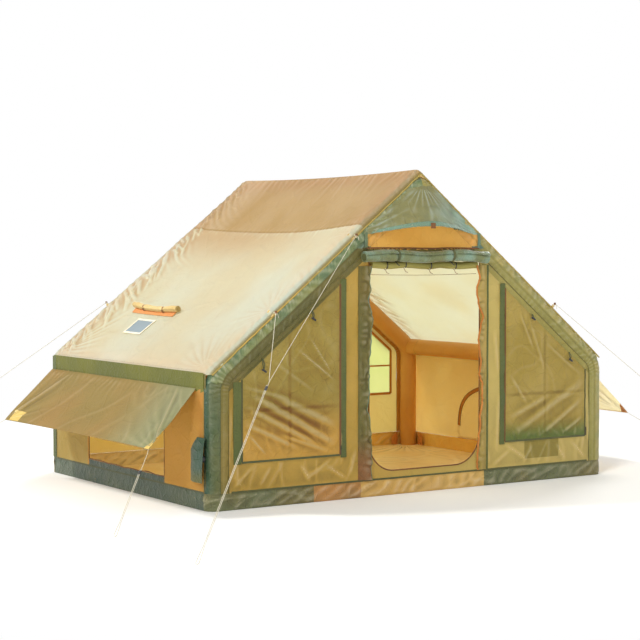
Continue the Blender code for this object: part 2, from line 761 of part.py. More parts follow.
def build_awnings(material):
    """Two awnings, each turning on its seam under the eave."""
    along, down = AWNING_STEPS
    for side, word in ((LEFT, "left"), (RIGHT, "right")):
        half = awning_normal(side) * CLOTH / 2
        face, back = [], []
        for k in range(down + 1):
            row = [awning_point(side, 2 * i / along - 1, k / down) for i in range(along + 1)]
            face.append([p + half for p in row])
            back.append([p - half for p in row])
        made = cloth(f"awning_{word}", face, back, material)
        set_origin(made, Vector((side * (WIDTH / 2 + AWNING_PIVOT), 0, AWNING_HEIGHT)))


def roof_sag(s, y):
    """How far the roof hangs below its straight slope, s along it from the eave."""
    along = max(0.0, (s - SAG_EDGE) / (SLOPE_LENGTH - SAG_EDGE))
    across = max(0.0, 1 - (y / (ARCH_Y - SAG_EDGE)) ** 2)
    return ROOF_SAG * across * sin(pi * along / SAG_SPREAD)


def roof_point(side, s, y):
    """A point of a roof sheet's outer face."""
    x = WIDTH / 2 - s * cos(SLOPE)
    return Vector((side * x, y, EAVE_HEIGHT + s * sin(SLOPE) - roof_sag(s, y)))


def roof_normal(side):
    """The way out from a roof slope."""
    return Vector((side * sin(SLOPE), 0, cos(SLOPE)))


def build_roof(material):
    """Two roof sheets that meet along the ridge and hang a little between the beams."""
    last = SLOPE_LENGTH - GAP / 2 / cos(SLOPE)
    slope_lines = [0.0, SAG_EDGE, JACK_SLOPE_START / 2, JACK_SLOPE_START, JACK_SLOPE_END]
    rise = (last - JACK_ROLL_SLOPE) / ROOF_LINES_UP
    slope_lines += [JACK_ROLL_SLOPE + rise * k for k in range(ROOF_LINES_UP + 1)]
    edge = DEPTH / 2 + ROOF_OVERHANG
    seat = ARCH_Y - SAG_EDGE
    depth_lines = [-edge, -ARCH_Y, -seat]
    step = (seat + JACK_FRONT) / ROOF_LINES_FRONT
    depth_lines += [-seat + step * k for k in range(1, ROOF_LINES_FRONT)]
    depth_lines += [JACK_FRONT, JACK_REAR]
    step = (seat - JACK_REAR) / ROOF_LINES_REAR
    depth_lines += [JACK_REAR + step * k for k in range(1, ROOF_LINES_REAR)]
    depth_lines += [seat, ARCH_Y, edge]
    for side, word in ((LEFT, "left"), (RIGHT, "right")):
        face = [[roof_point(side, s, y) for y in depth_lines] for s in slope_lines]
        drop = roof_normal(side) * CLOTH
        back = [[p - drop for p in row] for row in face[:-1]]
        back.append([p - Vector((0, 0, CLOTH / cos(SLOPE))) for p in face[-1]])
        cloth(f"roof_{word}", face, back, material)


def build_stove_jack(panel_cloth, cover_cloth):
    """The heat-proof panel in the left slope, with a raised border, and its rolled cover."""
    out = roof_normal(LEFT)
    corners = [
        roof_point(LEFT, JACK_SLOPE_START, JACK_FRONT),
        roof_point(LEFT, JACK_SLOPE_START, JACK_REAR),
        roof_point(LEFT, JACK_SLOPE_END, JACK_REAR),
        roof_point(LEFT, JACK_SLOPE_END, JACK_FRONT),
    ]
    low = [p + out * JACK_CLEARANCE for p in corners]
    high = [p + out * (JACK_CLEARANCE + CLOTH) for p in corners]
    made = loft("stove_jack", [low, high], panel_cloth)
    shell = bmesh.new()
    shell.from_mesh(made.data)
    shell.normal_update()
    top = max(shell.faces, key=lambda f: f.normal.dot(out))
    bmesh.ops.inset_region(shell, faces=[top], thickness=JACK_BORDER)
    bmesh.ops.translate(shell, verts=top.verts, vec=-out * JACK_BORDER_RISE)
    shell.to_mesh(made.data)
    shell.free()
    path = []
    for k in range(JACK_ROLL_STEPS + 1):
        y = JACK_ROLL_FRONT + (JACK_ROLL_REAR - JACK_ROLL_FRONT) * k / JACK_ROLL_STEPS
        seat = roof_point(LEFT, JACK_ROLL_SLOPE, y)
        path.append(seat + out * (JACK_ROLL_RADIUS + JACK_ROLL_SEAT))
    along = Vector((cos(SLOPE), 0, sin(SLOPE)))
    rolled("stove_jack_cover", path, -out, along, JACK_ROLL_RADIUS, cover_cloth)


def turned(name, stops, place, material, cyclic=False):
    """A round piece turned about an axis that points left, from distances and radii."""
    rings = []
    for reach, radius in stops:
        ring = [Vector((-reach, place[0] + u, place[1] + v)) for u, v in circle(radius)]
        rings.append(ring)
    return loft(name, rings, material, cyclic)


def build_valve(pieces, body_plastic, cap_plastic, cover_cloth):
    """The valve through the front left post, its screw cap, and the flap over them."""
    place = (-ARCH_Y, VALVE_HEIGHT)
    wall = WIDTH / 2
    hole = [(POST_X, VALVE_NECK_RADIUS + GAP), (wall + CLOTH, VALVE_NECK_RADIUS + GAP)]
    cutter = as_cutter(turned("valve_hole", hole, place, body_plastic))
    for piece in pieces:
        cut(piece, cutter)
    flange = POST_X + VALVE_FLANGE_REACH
    collar = wall + GAP
    stops = [
        (flange - VALVE_FLANGE_THICKNESS, VALVE_FLANGE_RADIUS),
        (flange, VALVE_FLANGE_RADIUS),
        (flange, VALVE_NECK_RADIUS),
        (collar, VALVE_NECK_RADIUS),
        (collar, VALVE_COLLAR_RADIUS),
        (collar + VALVE_COLLAR, VALVE_COLLAR_RADIUS),
        (collar + VALVE_COLLAR, VALVE_NECK_RADIUS),
        (wall + VALVE_NECK_OUT, VALVE_NECK_RADIUS),
        (wall + VALVE_NECK_OUT, VALVE_BORE_RADIUS),
        (flange - VALVE_FLANGE_THICKNESS, VALVE_BORE_RADIUS),
    ]
    turned("inflation_valve", stops, place, body_plastic, cyclic=True)
    seat = collar + VALVE_COLLAR + GAP
    roof = wall + VALVE_NECK_OUT + GAP
    hollow = VALVE_NECK_RADIUS + GAP
    end = seat + CAP_LENGTH
    count = 2 * CAP_RIBS
    rings = []
    for reach, radius, rib in (
        (roof, hollow, 0.0),
        (seat, hollow, 0.0),
        (seat, CAP_RADIUS, CAP_RIB),
        (end, CAP_RADIUS, CAP_RIB),
    ):
        ring = []
        for k in range(count):
            a, r = 2 * pi * k / count, radius - rib * (k % 2)
            ring.append(Vector((-reach, place[0] + r * cos(a), place[1] + r * sin(a))))
        rings.append(ring)
    cap = loft("valve_cap", rings, cap_plastic)
    set_origin(cap, Vector((-seat, *place)))
    face, back = [], []
    hinge_y = VALVE_COVER_REAR_INSET - DEPTH / 2
    for k in range(VALVE_COVER_STEPS + 1):
        t = k / VALVE_COVER_STEPS
        y = hinge_y + (VALVE_COVER_FRONT_INSET - VALVE_COVER_REAR_INSET) * t
        stand = VALVE_COVER_STAND * sin(pi / 2 * min(1.0, t / VALVE_COVER_RAMP))
        x = -(wall + AWNING_PIVOT + stand)
        head = VALVE_COVER_HEAD - VALVE_COVER_CHAMFER * max(0.0, 1 - t / VALVE_COVER_RAMP)
        column = [Vector((x, y, z)) for z in (VALVE_COVER_FOOT, head)]
        face.append([p - Vector((CLOTH / 2, 0, 0)) for p in column])
        back.append([p + Vector((CLOTH / 2, 0, 0)) for p in column])
    cover = cloth("valve_cover", face, back, cover_cloth)
    hinge = Vector((-(wall + AWNING_PIVOT), hinge_y, VALVE_COVER_FOOT))
    set_origin(cover, hinge)


def build_zip_sliders(metal):
    """A slider with its pull tab on the zip of each front window cover, at the lower end."""
    back = FRONT_FACE - GAP
    for hand, word in ((LEFT, "left"), (RIGHT, "right")):
        inner, outer = front_window_edges(hand)
        edge = max(inner, outer) + GAP
        middle = edge + ZIP_SLIDER_WIDTH / 2
        foot = WINDOW_SILL + ZIP_SLIDER_TAB
        half, neck = ZIP_SLIDER_WIDTH / 2, ZIP_TAB_WIDTH / 2
        nose = half * ZIP_NOSE_SHARE
        outline = [
            (middle - half, foot),
            (middle - neck, foot),
            (middle - neck, foot - ZIP_SLIDER_TAB + neck),
        ]
        end = (middle, foot - ZIP_SLIDER_TAB + neck)
        outline += arc(end, neck, pi, 2 * pi, ZIP_TAB_STEPS)[1:-1]
        outline += [
            (middle + neck, foot - ZIP_SLIDER_TAB + neck),
            (middle + neck, foot),
            (middle + half, foot),
            (middle + nose, foot + ZIP_SLIDER_BODY),
            (middle - nose, foot + ZIP_SLIDER_BODY),
        ]
        faces = (back - ZIP_SLIDER_DEPTH, back)
        made = prism(f"zip_slider_{word}", outline, "Y", *faces, metal)
        set_origin(made, Vector((middle, back, foot)))


def smooth_route(points, steps):
    """A smooth curve through chosen points, read off in short steps."""
    count = len(points)
    tangents = []
    for k in range(count):
        before, after = points[max(0, k - 1)], points[min(count - 1, k + 1)]
        tangents.append((after - before).normalized())
    route = []
    for k in range(count - 1):
        span = (points[k + 1] - points[k]).length
        for i in range(steps):
            t = i / steps
            a = (1 + 2 * t) * (1 - t) ** 2
            b = t * (1 - t) ** 2
            c = t * t * (3 - 2 * t)
            d = t * t * (t - 1)
            lead = tangents[k] * span * b + tangents[k + 1] * span * d
            route.append(points[k] * a + points[k + 1] * c + lead)
    return route + [points[-1]]


def rope(name, route, material):
    """A guy line along a route."""
    curve = bpy.data.curves.new(name, "CURVE")
    curve.dimensions = "3D"
    curve.bevel_depth = ROPE_RADIUS
    curve.bevel_resolution = ROPE_BEVEL_STEPS
    curve.use_fill_caps = True
    spline = curve.splines.new("POLY")
    spline.points.add(len(route) - 1)
    for knot, place in zip(spline.points, route):
        knot.co = (*place, 1.0)
    made = bpy.data.objects.new(name, curve)
    bpy.context.scene.collection.objects.link(made)
    curve.materials.append(material)
    return made


def roof_edge(x, side):
    """Where a guy line leaves the piping at the roof's edge."""
    y = side * (DEPTH / 2 + ROOF_OVERHANG + GAP + ROPE_RADIUS)
    return Vector((x, y, roof_height(x, CLOTH / 2)))


def straight(start, end, steps=ROPE_STEPS):
    """Points along a taut run."""
    return [start.lerp(end, k / steps) for k in range(steps + 1)]


def turn_at(before, corner, after):
    """Points round a corner in place of a kink."""
    points = []
    for k in range(ROPE_STEPS + 1):
        t = k / ROPE_STEPS
        points.append(before * (1 - t) ** 2 + corner * 2 * t * (1 - t) + after * t * t)
    return points


def doubled_guy(start, knot, foot, runner_along):
    """A line from its anchor to a knot, down round its stake and back up to its runner."""
    down = (foot - knot).normalized()
    across = down.cross(Vector((0, 0, 1))).normalized()
    near, wide = across * ROPE_SPREAD, across * ROPE_LOOP_RADIUS
    corner = knot - near
    before = corner + (start - corner).normalized() * ROPE_CORNER
    after = corner + down * ROPE_CORNER
    flare, bend = foot - down * ROPE_LOOP_SPREAD, foot - down * ROPE_LOOP_RADIUS
    tail = knot + down * (runner_along - SLIDER_LENGTH) + near
    loop = [flare - near, bend - wide]
    for angle in (-pi / 4, 0.0, pi / 4):
        loop.append(bend + wide * sin(angle) + down * ROPE_LOOP_RADIUS * cos(angle))
    loop += [bend + wide, flare + near]
    route = straight(start, before, 2) + turn_at(before, corner, after)[1:]
    route += straight(after, flare - near)[1:-1] + smooth_route(loop, ROPE_SMOOTHING)
    return route + straight(flare + near, tail)[1:]


def rope_slider(name, centre, along, bores, plastic):
    """A flat runner on a guy line, with one bore for each strand."""
    across = along.cross(Vector((0, 0, 1))).normalized()
    thick = along.cross(across).normalized()
    round_end, half = SLIDER_DEPTH / 2, SLIDER_WIDTH / 2
    outline = arc((half - round_end, 0.0), round_end, -pi / 2, pi / 2, SLIDER_END_STEPS)
    outline += arc((round_end - half, 0.0), round_end, pi / 2, 3 * pi / 2, SLIDER_END_STEPS)

    def ring(pairs, shift, reach):
        start = centre + across * shift + along * reach
        return [start + across * u + thick * v for u, v in pairs]

    ends = (-SLIDER_LENGTH / 2, SLIDER_LENGTH / 2)
    made = loft(name, [ring(outline, 0.0, e) for e in ends], plastic)
    hole = circle(ROPE_RADIUS + SLIDER_CLEARANCE, SLIDER_BORE_SIDES)
    for k, shift in enumerate(bores):
        rings = [ring(hole, shift, 2 * e) for e in ends]
        cut(made, as_cutter(loft(f"{name}_bore_{k}", rings, plastic)))
    return made


def awning_tie(side, end, reach):
    """Where a line is tied to an awning's outer corner, and the place it reaches to."""
    tip = awning_point(side, end, 1.0)
    start = tip + reach.normalized() * AWNING_TIE_SEAT
    return start, tip + reach


def build_guy_lines(cord, plastic):
    """The lines that hold the arches and the awnings out, and the runners on them."""
    spread = (-ROPE_SPREAD, ROPE_SPREAD)
    start = roof_edge(-FRONT_ANCHOR_HIGH, FRONT)
    rope("guy_line_front", doubled_guy(start, FRONT_KNOT, FRONT_FOOT, FRONT_RUNNER_ALONG), cord)
    branch_start = roof_edge(-FRONT_ANCHOR_LOW, FRONT)
    reach = (FRONT_KNOT - branch_start).normalized()
    branch_end = FRONT_KNOT - reach * (ROPE_SPREAD + 2 * ROPE_RADIUS + 2 * GAP)
    rope("guy_line_branch", straight(branch_start, branch_end), cord)
    down = (FRONT_FOOT - FRONT_KNOT).normalized()
    centre = FRONT_KNOT + down * FRONT_RUNNER_ALONG
    set_origin(rope_slider("guy_runner_front", centre, down, spread, plastic), centre)

    reach = AWNING_ROPE_FOOT - awning_point(LEFT, -1, 1.0)
    tip, foot = awning_tie(LEFT, -1, reach)
    down = reach.normalized()
    knot = tip + down * AWNING_KNOT_ALONG
    route = doubled_guy(tip, knot, foot, AWNING_RUNNER_ALONG)
    rope("awning_line_front_left", route, cord)
    centre = knot + down * AWNING_RUNNER_ALONG
    set_origin(rope_slider("awning_runner", centre, down, spread, plastic), centre)

    start = roof_edge(RIGHT_ANCHOR, FRONT)
    rope("guy_line_right", straight(start, RIGHT_ROPE_END), cord)
    start = roof_edge(-FRONT_ANCHOR_LOW, REAR)
    rope("guy_line_rear", straight(start, REAR_ROPE_END), cord)
    rope("awning_line_right", straight(*awning_tie(RIGHT, -1, AWNING_STUB_FRONT)), cord)
    rope("awning_line_rear", straight(*awning_tie(LEFT, 1, AWNING_STUB_REAR)), cord)


def build():
    """Make every piece of the tent."""
    clear_scene()
    sleeve_cloth = finish("beam_sleeve", (0.62, 0.40, 0.12), 0.75)
    bladder_film = finish("air_bladder", (0.80, 0.80, 0.76), 0.35)
    cover_cloth = finish("green_cover", (0.16, 0.24, 0.12), 0.6)
    mud_cloth = finish("mud_wall", (0.13, 0.15, 0.09), 0.55)
    floor_cloth = finish("groundsheet", (0.45, 0.38, 0.22), 0.7)
    wall_cloth = finish("khaki_wall", (0.50, 0.40, 0.17), 0.75)
    side_cloth = finish("side_wall", (0.52, 0.39, 0.15), 0.75)
    roof_cloth = finish("roof_sheet", (0.74, 0.66, 0.44), 0.6)
    vent_cloth = finish("vent_panel", (0.66, 0.38, 0.08), 0.7)
    visor_cloth = finish("visor", (0.25, 0.34, 0.20), 0.35)
    awning_cloth = finish("awning", (0.47, 0.42, 0.20), 0.6)
    net_cloth = finish("door_net", (0.22, 0.24, 0.10), 0.8)
    jack_cloth = finish("stove_jack", (0.36, 0.42, 0.46), 0.45)
    plastic = finish("black_plastic", (0.03, 0.03, 0.03), 0.45)
    metal = finish("zip_metal", (0.30, 0.26, 0.20), 0.35, 0.9)
    cord = finish("guy_cord", (0.72, 0.68, 0.58), 0.8)

    front = build_arch("front", FRONT, sleeve_cloth)
    build_arch("rear", REAR, sleeve_cloth)
    front_bladder = build_arch_bladder("front", FRONT, bladder_film)
    build_arch_bladder("rear", REAR, bladder_film)
    cutters = []
    for word, side in (("front", FRONT), ("rear", REAR)):
        outline = circle(BEAM_RADIUS + GAP)
        rings = [arch_ring(s, outline, side) for s in arch_stations(0.0)]
        cutters.append(as_cutter(loft(f"{word}_arch_room", rings, sleeve_cloth)))
    under_roof = roof_height(0.0, CLOTH + GAP + BEAM_RADIUS)
    ridge = under_roof - roof_sag(SLOPE_LENGTH - BEAM_RADIUS, 0.0)
    corner = roof_height(POST_X, RAFTER_INSET)
    build_long_beam("ridge", 0.0, ridge, cutters, sleeve_cloth, bladder_film)
    build_long_beam("eave_left", -POST_X, corner, cutters, sleeve_cloth, bladder_film)
    build_long_beam("eave_right", POST_X, corner, cutters, sleeve_cloth, bladder_film)
    front_cover = build_arch_cover("front", FRONT, cover_cloth)
    build_arch_cover("rear", REAR, cover_cloth)

    build_groundsheet(floor_cloth)
    build_mud_walls(mud_cloth)
    build_front_walls(wall_cloth)
    build_rear_wall(wall_cloth)
    build_door(wall_cloth, vent_cloth)
    build_storm_strips(cover_cloth)
    build_visor(visor_cloth)
    build_window_flaps(wall_cloth)
    build_door_rolls(cover_cloth, net_cloth)
    build_rear_rolls(wall_cloth)
    side_wall = build_side_walls(side_cloth, side_cloth)
    build_awnings(awning_cloth)
    build_roof(roof_cloth)
    build_stove_jack(jack_cloth, roof_cloth)
    pierced = (front[0], front_bladder, front_cover, side_wall)
    build_valve(pierced, plastic, plastic, cover_cloth)
    build_zip_sliders(metal)
    build_guy_lines(cord, plastic)


build()
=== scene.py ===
"""An inflatable glamping tent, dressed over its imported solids.

Metres, +Z up. The front gable faces -Y and the origin lies under the middle of the floor.
"""

from __future__ import annotations

import json
import logging
from collections.abc import Callable, Sequence
from dataclasses import dataclass, field
from enum import Enum
from math import atan2, ceil, cos, hypot, pi, radians, sin, tan

import bpy
import numpy as np
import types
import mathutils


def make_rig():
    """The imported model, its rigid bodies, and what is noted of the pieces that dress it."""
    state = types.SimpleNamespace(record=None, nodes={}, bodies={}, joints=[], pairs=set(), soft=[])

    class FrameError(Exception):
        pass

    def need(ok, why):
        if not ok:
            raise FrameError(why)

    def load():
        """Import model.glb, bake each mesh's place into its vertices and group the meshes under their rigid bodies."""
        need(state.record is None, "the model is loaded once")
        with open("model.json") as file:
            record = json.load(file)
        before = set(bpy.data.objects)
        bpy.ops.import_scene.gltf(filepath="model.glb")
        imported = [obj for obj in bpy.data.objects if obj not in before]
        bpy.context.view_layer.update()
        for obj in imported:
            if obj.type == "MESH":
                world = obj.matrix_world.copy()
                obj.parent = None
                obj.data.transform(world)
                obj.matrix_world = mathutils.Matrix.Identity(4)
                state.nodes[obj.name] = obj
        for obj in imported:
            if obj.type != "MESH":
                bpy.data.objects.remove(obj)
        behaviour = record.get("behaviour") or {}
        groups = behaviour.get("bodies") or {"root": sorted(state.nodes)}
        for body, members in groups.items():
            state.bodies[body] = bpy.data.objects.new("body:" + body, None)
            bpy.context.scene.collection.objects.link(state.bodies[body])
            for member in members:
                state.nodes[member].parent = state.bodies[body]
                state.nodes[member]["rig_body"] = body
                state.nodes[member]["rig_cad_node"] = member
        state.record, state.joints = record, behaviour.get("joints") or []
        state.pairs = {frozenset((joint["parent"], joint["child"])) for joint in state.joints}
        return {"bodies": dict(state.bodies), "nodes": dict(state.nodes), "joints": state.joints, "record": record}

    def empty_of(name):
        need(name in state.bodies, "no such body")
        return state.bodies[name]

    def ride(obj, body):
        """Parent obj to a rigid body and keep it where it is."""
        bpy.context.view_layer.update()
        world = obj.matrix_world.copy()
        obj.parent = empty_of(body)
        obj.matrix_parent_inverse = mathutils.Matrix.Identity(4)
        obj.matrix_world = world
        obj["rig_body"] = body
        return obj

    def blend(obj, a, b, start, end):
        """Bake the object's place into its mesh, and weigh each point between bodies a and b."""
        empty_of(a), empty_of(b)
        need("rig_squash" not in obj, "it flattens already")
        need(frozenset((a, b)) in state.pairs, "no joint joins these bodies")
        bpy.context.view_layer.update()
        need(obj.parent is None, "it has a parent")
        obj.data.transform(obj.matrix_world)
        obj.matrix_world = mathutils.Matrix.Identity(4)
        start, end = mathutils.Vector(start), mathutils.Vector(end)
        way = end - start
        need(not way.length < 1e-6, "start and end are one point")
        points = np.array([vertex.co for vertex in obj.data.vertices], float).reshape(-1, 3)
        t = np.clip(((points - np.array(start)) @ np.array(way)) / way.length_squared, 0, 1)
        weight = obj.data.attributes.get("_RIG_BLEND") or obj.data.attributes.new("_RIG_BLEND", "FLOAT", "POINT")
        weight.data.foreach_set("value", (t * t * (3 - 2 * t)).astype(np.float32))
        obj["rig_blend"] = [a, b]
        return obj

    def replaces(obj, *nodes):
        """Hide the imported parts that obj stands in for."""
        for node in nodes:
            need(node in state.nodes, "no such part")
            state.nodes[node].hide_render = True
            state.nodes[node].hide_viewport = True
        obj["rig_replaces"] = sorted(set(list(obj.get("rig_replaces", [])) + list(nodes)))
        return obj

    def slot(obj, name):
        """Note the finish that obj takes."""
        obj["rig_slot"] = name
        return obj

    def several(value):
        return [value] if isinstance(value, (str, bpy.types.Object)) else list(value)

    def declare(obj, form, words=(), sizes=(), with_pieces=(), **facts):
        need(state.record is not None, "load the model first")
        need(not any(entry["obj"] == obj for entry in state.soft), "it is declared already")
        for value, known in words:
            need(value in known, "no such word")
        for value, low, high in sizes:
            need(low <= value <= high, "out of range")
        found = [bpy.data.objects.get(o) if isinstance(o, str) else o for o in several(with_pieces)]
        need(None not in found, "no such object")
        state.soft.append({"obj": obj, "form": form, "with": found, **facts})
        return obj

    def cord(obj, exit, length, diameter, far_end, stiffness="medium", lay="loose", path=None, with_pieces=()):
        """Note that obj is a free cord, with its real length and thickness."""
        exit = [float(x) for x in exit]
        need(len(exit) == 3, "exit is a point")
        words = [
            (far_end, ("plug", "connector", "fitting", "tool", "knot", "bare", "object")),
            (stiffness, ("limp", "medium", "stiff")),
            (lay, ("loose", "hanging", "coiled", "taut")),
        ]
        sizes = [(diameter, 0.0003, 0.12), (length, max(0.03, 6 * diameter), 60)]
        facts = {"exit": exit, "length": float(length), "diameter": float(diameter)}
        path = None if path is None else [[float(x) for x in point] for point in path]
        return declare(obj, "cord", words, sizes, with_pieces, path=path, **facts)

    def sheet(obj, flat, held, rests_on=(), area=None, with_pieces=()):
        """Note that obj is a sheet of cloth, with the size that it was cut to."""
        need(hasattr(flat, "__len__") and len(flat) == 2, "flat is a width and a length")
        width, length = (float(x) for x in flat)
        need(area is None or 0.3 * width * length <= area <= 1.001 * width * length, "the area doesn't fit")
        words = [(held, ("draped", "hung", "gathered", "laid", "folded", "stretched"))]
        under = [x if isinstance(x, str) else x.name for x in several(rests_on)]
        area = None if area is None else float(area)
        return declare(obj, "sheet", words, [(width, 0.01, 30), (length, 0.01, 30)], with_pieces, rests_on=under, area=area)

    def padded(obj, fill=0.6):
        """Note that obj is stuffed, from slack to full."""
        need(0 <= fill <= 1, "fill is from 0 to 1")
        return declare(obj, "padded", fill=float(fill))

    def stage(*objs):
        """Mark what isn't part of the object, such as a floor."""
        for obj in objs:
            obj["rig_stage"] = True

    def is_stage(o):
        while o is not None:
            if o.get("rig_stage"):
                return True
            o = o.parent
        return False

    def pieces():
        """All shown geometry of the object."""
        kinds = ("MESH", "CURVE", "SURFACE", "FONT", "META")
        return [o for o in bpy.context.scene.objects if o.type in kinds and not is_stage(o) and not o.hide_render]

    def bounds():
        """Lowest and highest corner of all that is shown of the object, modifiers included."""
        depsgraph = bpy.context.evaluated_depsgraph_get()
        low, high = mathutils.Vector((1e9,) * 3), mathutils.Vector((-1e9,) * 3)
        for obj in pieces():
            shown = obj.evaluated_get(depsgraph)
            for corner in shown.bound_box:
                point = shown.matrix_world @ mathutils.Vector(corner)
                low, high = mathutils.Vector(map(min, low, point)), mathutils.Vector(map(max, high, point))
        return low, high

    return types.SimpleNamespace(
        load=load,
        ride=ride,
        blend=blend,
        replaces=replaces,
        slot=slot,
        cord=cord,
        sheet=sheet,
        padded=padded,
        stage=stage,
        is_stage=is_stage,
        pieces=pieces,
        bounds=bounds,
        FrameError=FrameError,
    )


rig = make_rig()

log = logging.getLogger("tent")
Array = np.ndarray
Object = bpy.types.Object
Material = bpy.types.Material
Rgb = tuple[int, int, int]
SIZE_FILE = "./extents.json"
LEFT, RIGHT = -1, 1
FRONT, REAR = -1, 1
HANDS = ((LEFT, "left"), (RIGHT, "right"))
ENDS = ((FRONT, "front"), (REAR, "rear"))
X, Y, Z = np.eye(3)
PICKS = 257  # Entries in a table of random shares: a prime, so that every stride covers it


# Sizes that the solids have


@dataclass(frozen=True)
class Plan:
    """The tent's main sizes, the same as its solids have."""

    width: float = 3.03
    depth: float = 2.17
    height: float = 2.0
    eave: float = 0.795
    cloth: float = 0.003
    gap: float = 0.0003
    beam: float = 0.0625
    mud_wall: float = 0.10
    cover_band: float = 0.130
    overhang: float = 0.020
    shift: float = 0.025
    door_half: float = 0.44
    door_top: float = 1.43
    window_inner: float = 0.640
    window_outer: float = 1.327
    bladder: float = 0.0560
    vent_seam: float = 1.513

    @property
    def slope(self) -> float:
        """The roof's pitch."""
        return atan2(self.height - self.eave, self.width / 2)

    @property
    def slope_length(self) -> float:
        """The roof's length up the slope."""
        return hypot(self.height - self.eave, self.width / 2)

    @property
    def inset(self) -> float:
        """From the outer cloth to a beam's middle."""
        return self.cloth + self.gap + self.beam

    @property
    def sleeve(self) -> float:
        """Middle of a beam sleeve's cloth, from the beam's middle."""
        return self.beam - 0.0012

    @property
    def post_x(self) -> float:
        """Middle of a post, across."""
        return self.width / 2 - self.inset

    @property
    def arch_y(self) -> float:
        """Middle of an arch, fore and aft."""
        return self.depth / 2 - self.inset

    @property
    def rafter_inset(self) -> float:
        """From the roof's outer face to a rafter's middle."""
        return self.cloth + self.gap + self.inset

    @property
    def face(self) -> float:
        """How far the gable's outer face lies from the middle."""
        return self.depth / 2

    @property
    def band_edge(self) -> float:
        """How far the arch cover's flat edge reaches in from the beam's middle."""
        return self.cover_band - self.inset

    def roof(self, x: Array | float, inset: float = 0.0) -> Array | float:
        """Height of the straight slope at x, or of a line inside it."""
        return self.height - np.abs(x) * tan(self.slope) - inset / cos(self.slope)

    def seam(self, x: Array | float) -> Array | float:
        """Upper edge of a gable wall."""
        return self.roof(x, self.rafter_inset + self.band_edge + self.gap)

    def head(self, x: Array | float) -> Array | float:
        """Upper edge of a window."""
        return self.seam(x) - 0.043


PLAN = Plan()
ROUND = 2 * pi * np.arange(40) / 40


# Numbers and places


def limit(x: Array | float) -> Array | float:
    """A value held between 0 and 1."""
    return np.clip(x, 0, 1)


def bell(x: Array | float, middle: Array | float, width: float) -> Array | float:
    """A soft hump of height 1 round a middle."""
    return np.exp(-(((x - middle) / width) ** 2))


def between(x: Array, low: Array | float, high: Array | float, edge: float) -> Array:
    """1 inside a span and 0 at its ends, with a slope beside each end."""
    return limit((x - low) / edge) * limit((high - x) / edge)


def vectors(*parts: Array | float) -> Array:
    """Points, or places on a cut, from an array or a number for each direction."""
    return np.stack(np.broadcast_arrays(*parts), axis=-1)


def ruled(start: Array, end: Array, shares: Array) -> Array:
    """Rows of points from one line to another."""
    return start[None] + (end - start)[None] * shares[:, None, None]


def distances(path: Array) -> Array:
    """How far along a path each of its points lies."""
    return np.concatenate([[0.0], np.cumsum(np.linalg.norm(np.diff(path, axis=0), axis=1))])


# How cloth leaves its flat shape


def noise(x: Array, y: Array, seed: int) -> Array:
    """Smooth noise from -1 to 1 over a plane.

    Args:
        x: First coordinate, one cell to a unit.
        y: Second coordinate.
        seed: Picks the pattern.

    Returns:
        A value for each place.
    """
    table = np.random.default_rng(seed).uniform(-1.0, 1.0, (64, 64))
    x, y = np.broadcast_arrays(np.asarray(x, float), np.asarray(y, float))
    i, j = np.floor(x).astype(int), np.floor(y).astype(int)
    s, t = x - i, y - j
    s, t = s * s * (3 - 2 * s), t * t * (3 - 2 * t)
    low = table[i % 64, j % 64] * (1 - s) + table[(i + 1) % 64, j % 64] * s
    high = table[i % 64, (j + 1) % 64] * (1 - s) + table[(i + 1) % 64, (j + 1) % 64] * s
    return low * (1 - t) + high * t


def rumple(u: Array, v: Array, size: float, depth: float, seed: int) -> Array:
    """Slack cloth's soft hollows, three sizes of them, turned to each other."""
    total = np.zeros_like(u * v)
    for k in range(3):
        turn, scale = 0.6 + 1.1 * k, 1.9**k / size
        a = (u * cos(turn) - v * sin(turn)) * scale
        b = (u * sin(turn) + v * cos(turn)) * scale
        total += noise(a, b, seed + 7 * k) * depth / 2.1**k
    return total


def crisp(u: Array, v: Array, size: float, depth: float, seed: int) -> Array:
    """Thin raised creases, as packed cloth keeps them."""
    a = noise(u / size + 0.4 * noise(v / size, u / size, seed + 3), v / size, seed)
    b = noise(u / size * 0.7 + v / size * 0.7, (v - u) / size * 0.8, seed + 5)
    return depth * (np.maximum(0, 1 - 5 * np.abs(a)) ** 2 + np.maximum(0, 1 - 6 * np.abs(b)) ** 2)


def ridge(phase: Array) -> Array:
    """A row of folds, one to a unit, 0 between them and 1 on each crest."""
    part = 1 - np.abs(2 * (phase - np.floor(phase)) - 1)
    return part**1.4


def shares_of(phase: Array, seed: int, stride: int, start: int) -> tuple[Array, Array]:
    """Two random shares for the fold that each phase lies on, from two places of one table."""
    table = np.random.default_rng(seed).uniform(0.0, 1.0, PICKS)
    pick = np.floor(phase).astype(int) % PICKS
    return table[pick], table[(pick * stride + start) % PICKS]


def puckers(
    along: Array,
    away: Array,
    spacing: float,
    depth: float,
    reach: float,
    seed: int,
    lean: float = 0.0,
) -> Array:
    """Folds that leave a gathered seam and die out.

    Args:
        along: Distance along the seam.
        away: Distance from the seam.
        spacing: From fold to fold.
        depth: Height of the tallest folds at the seam.
        reach: Length of the longest folds.
        seed: Picks the pattern.
        lean: How far the folds lean from square, as a tangent.

    Returns:
        Heights over the cloth.
    """
    wander = noise(along / spacing / 2.3, away / reach, seed)
    phase = (along + lean * away) / spacing + 0.8 * wander
    long, tall = shares_of(phase, seed + 1, 7, 3)
    length = reach * (0.25 + 0.75 * long)
    tall = 0.25 + 0.75 * tall
    fade = np.exp(-((np.maximum(away, 0) / length) ** 1.6))
    return depth * tall * fade * ridge(phase)


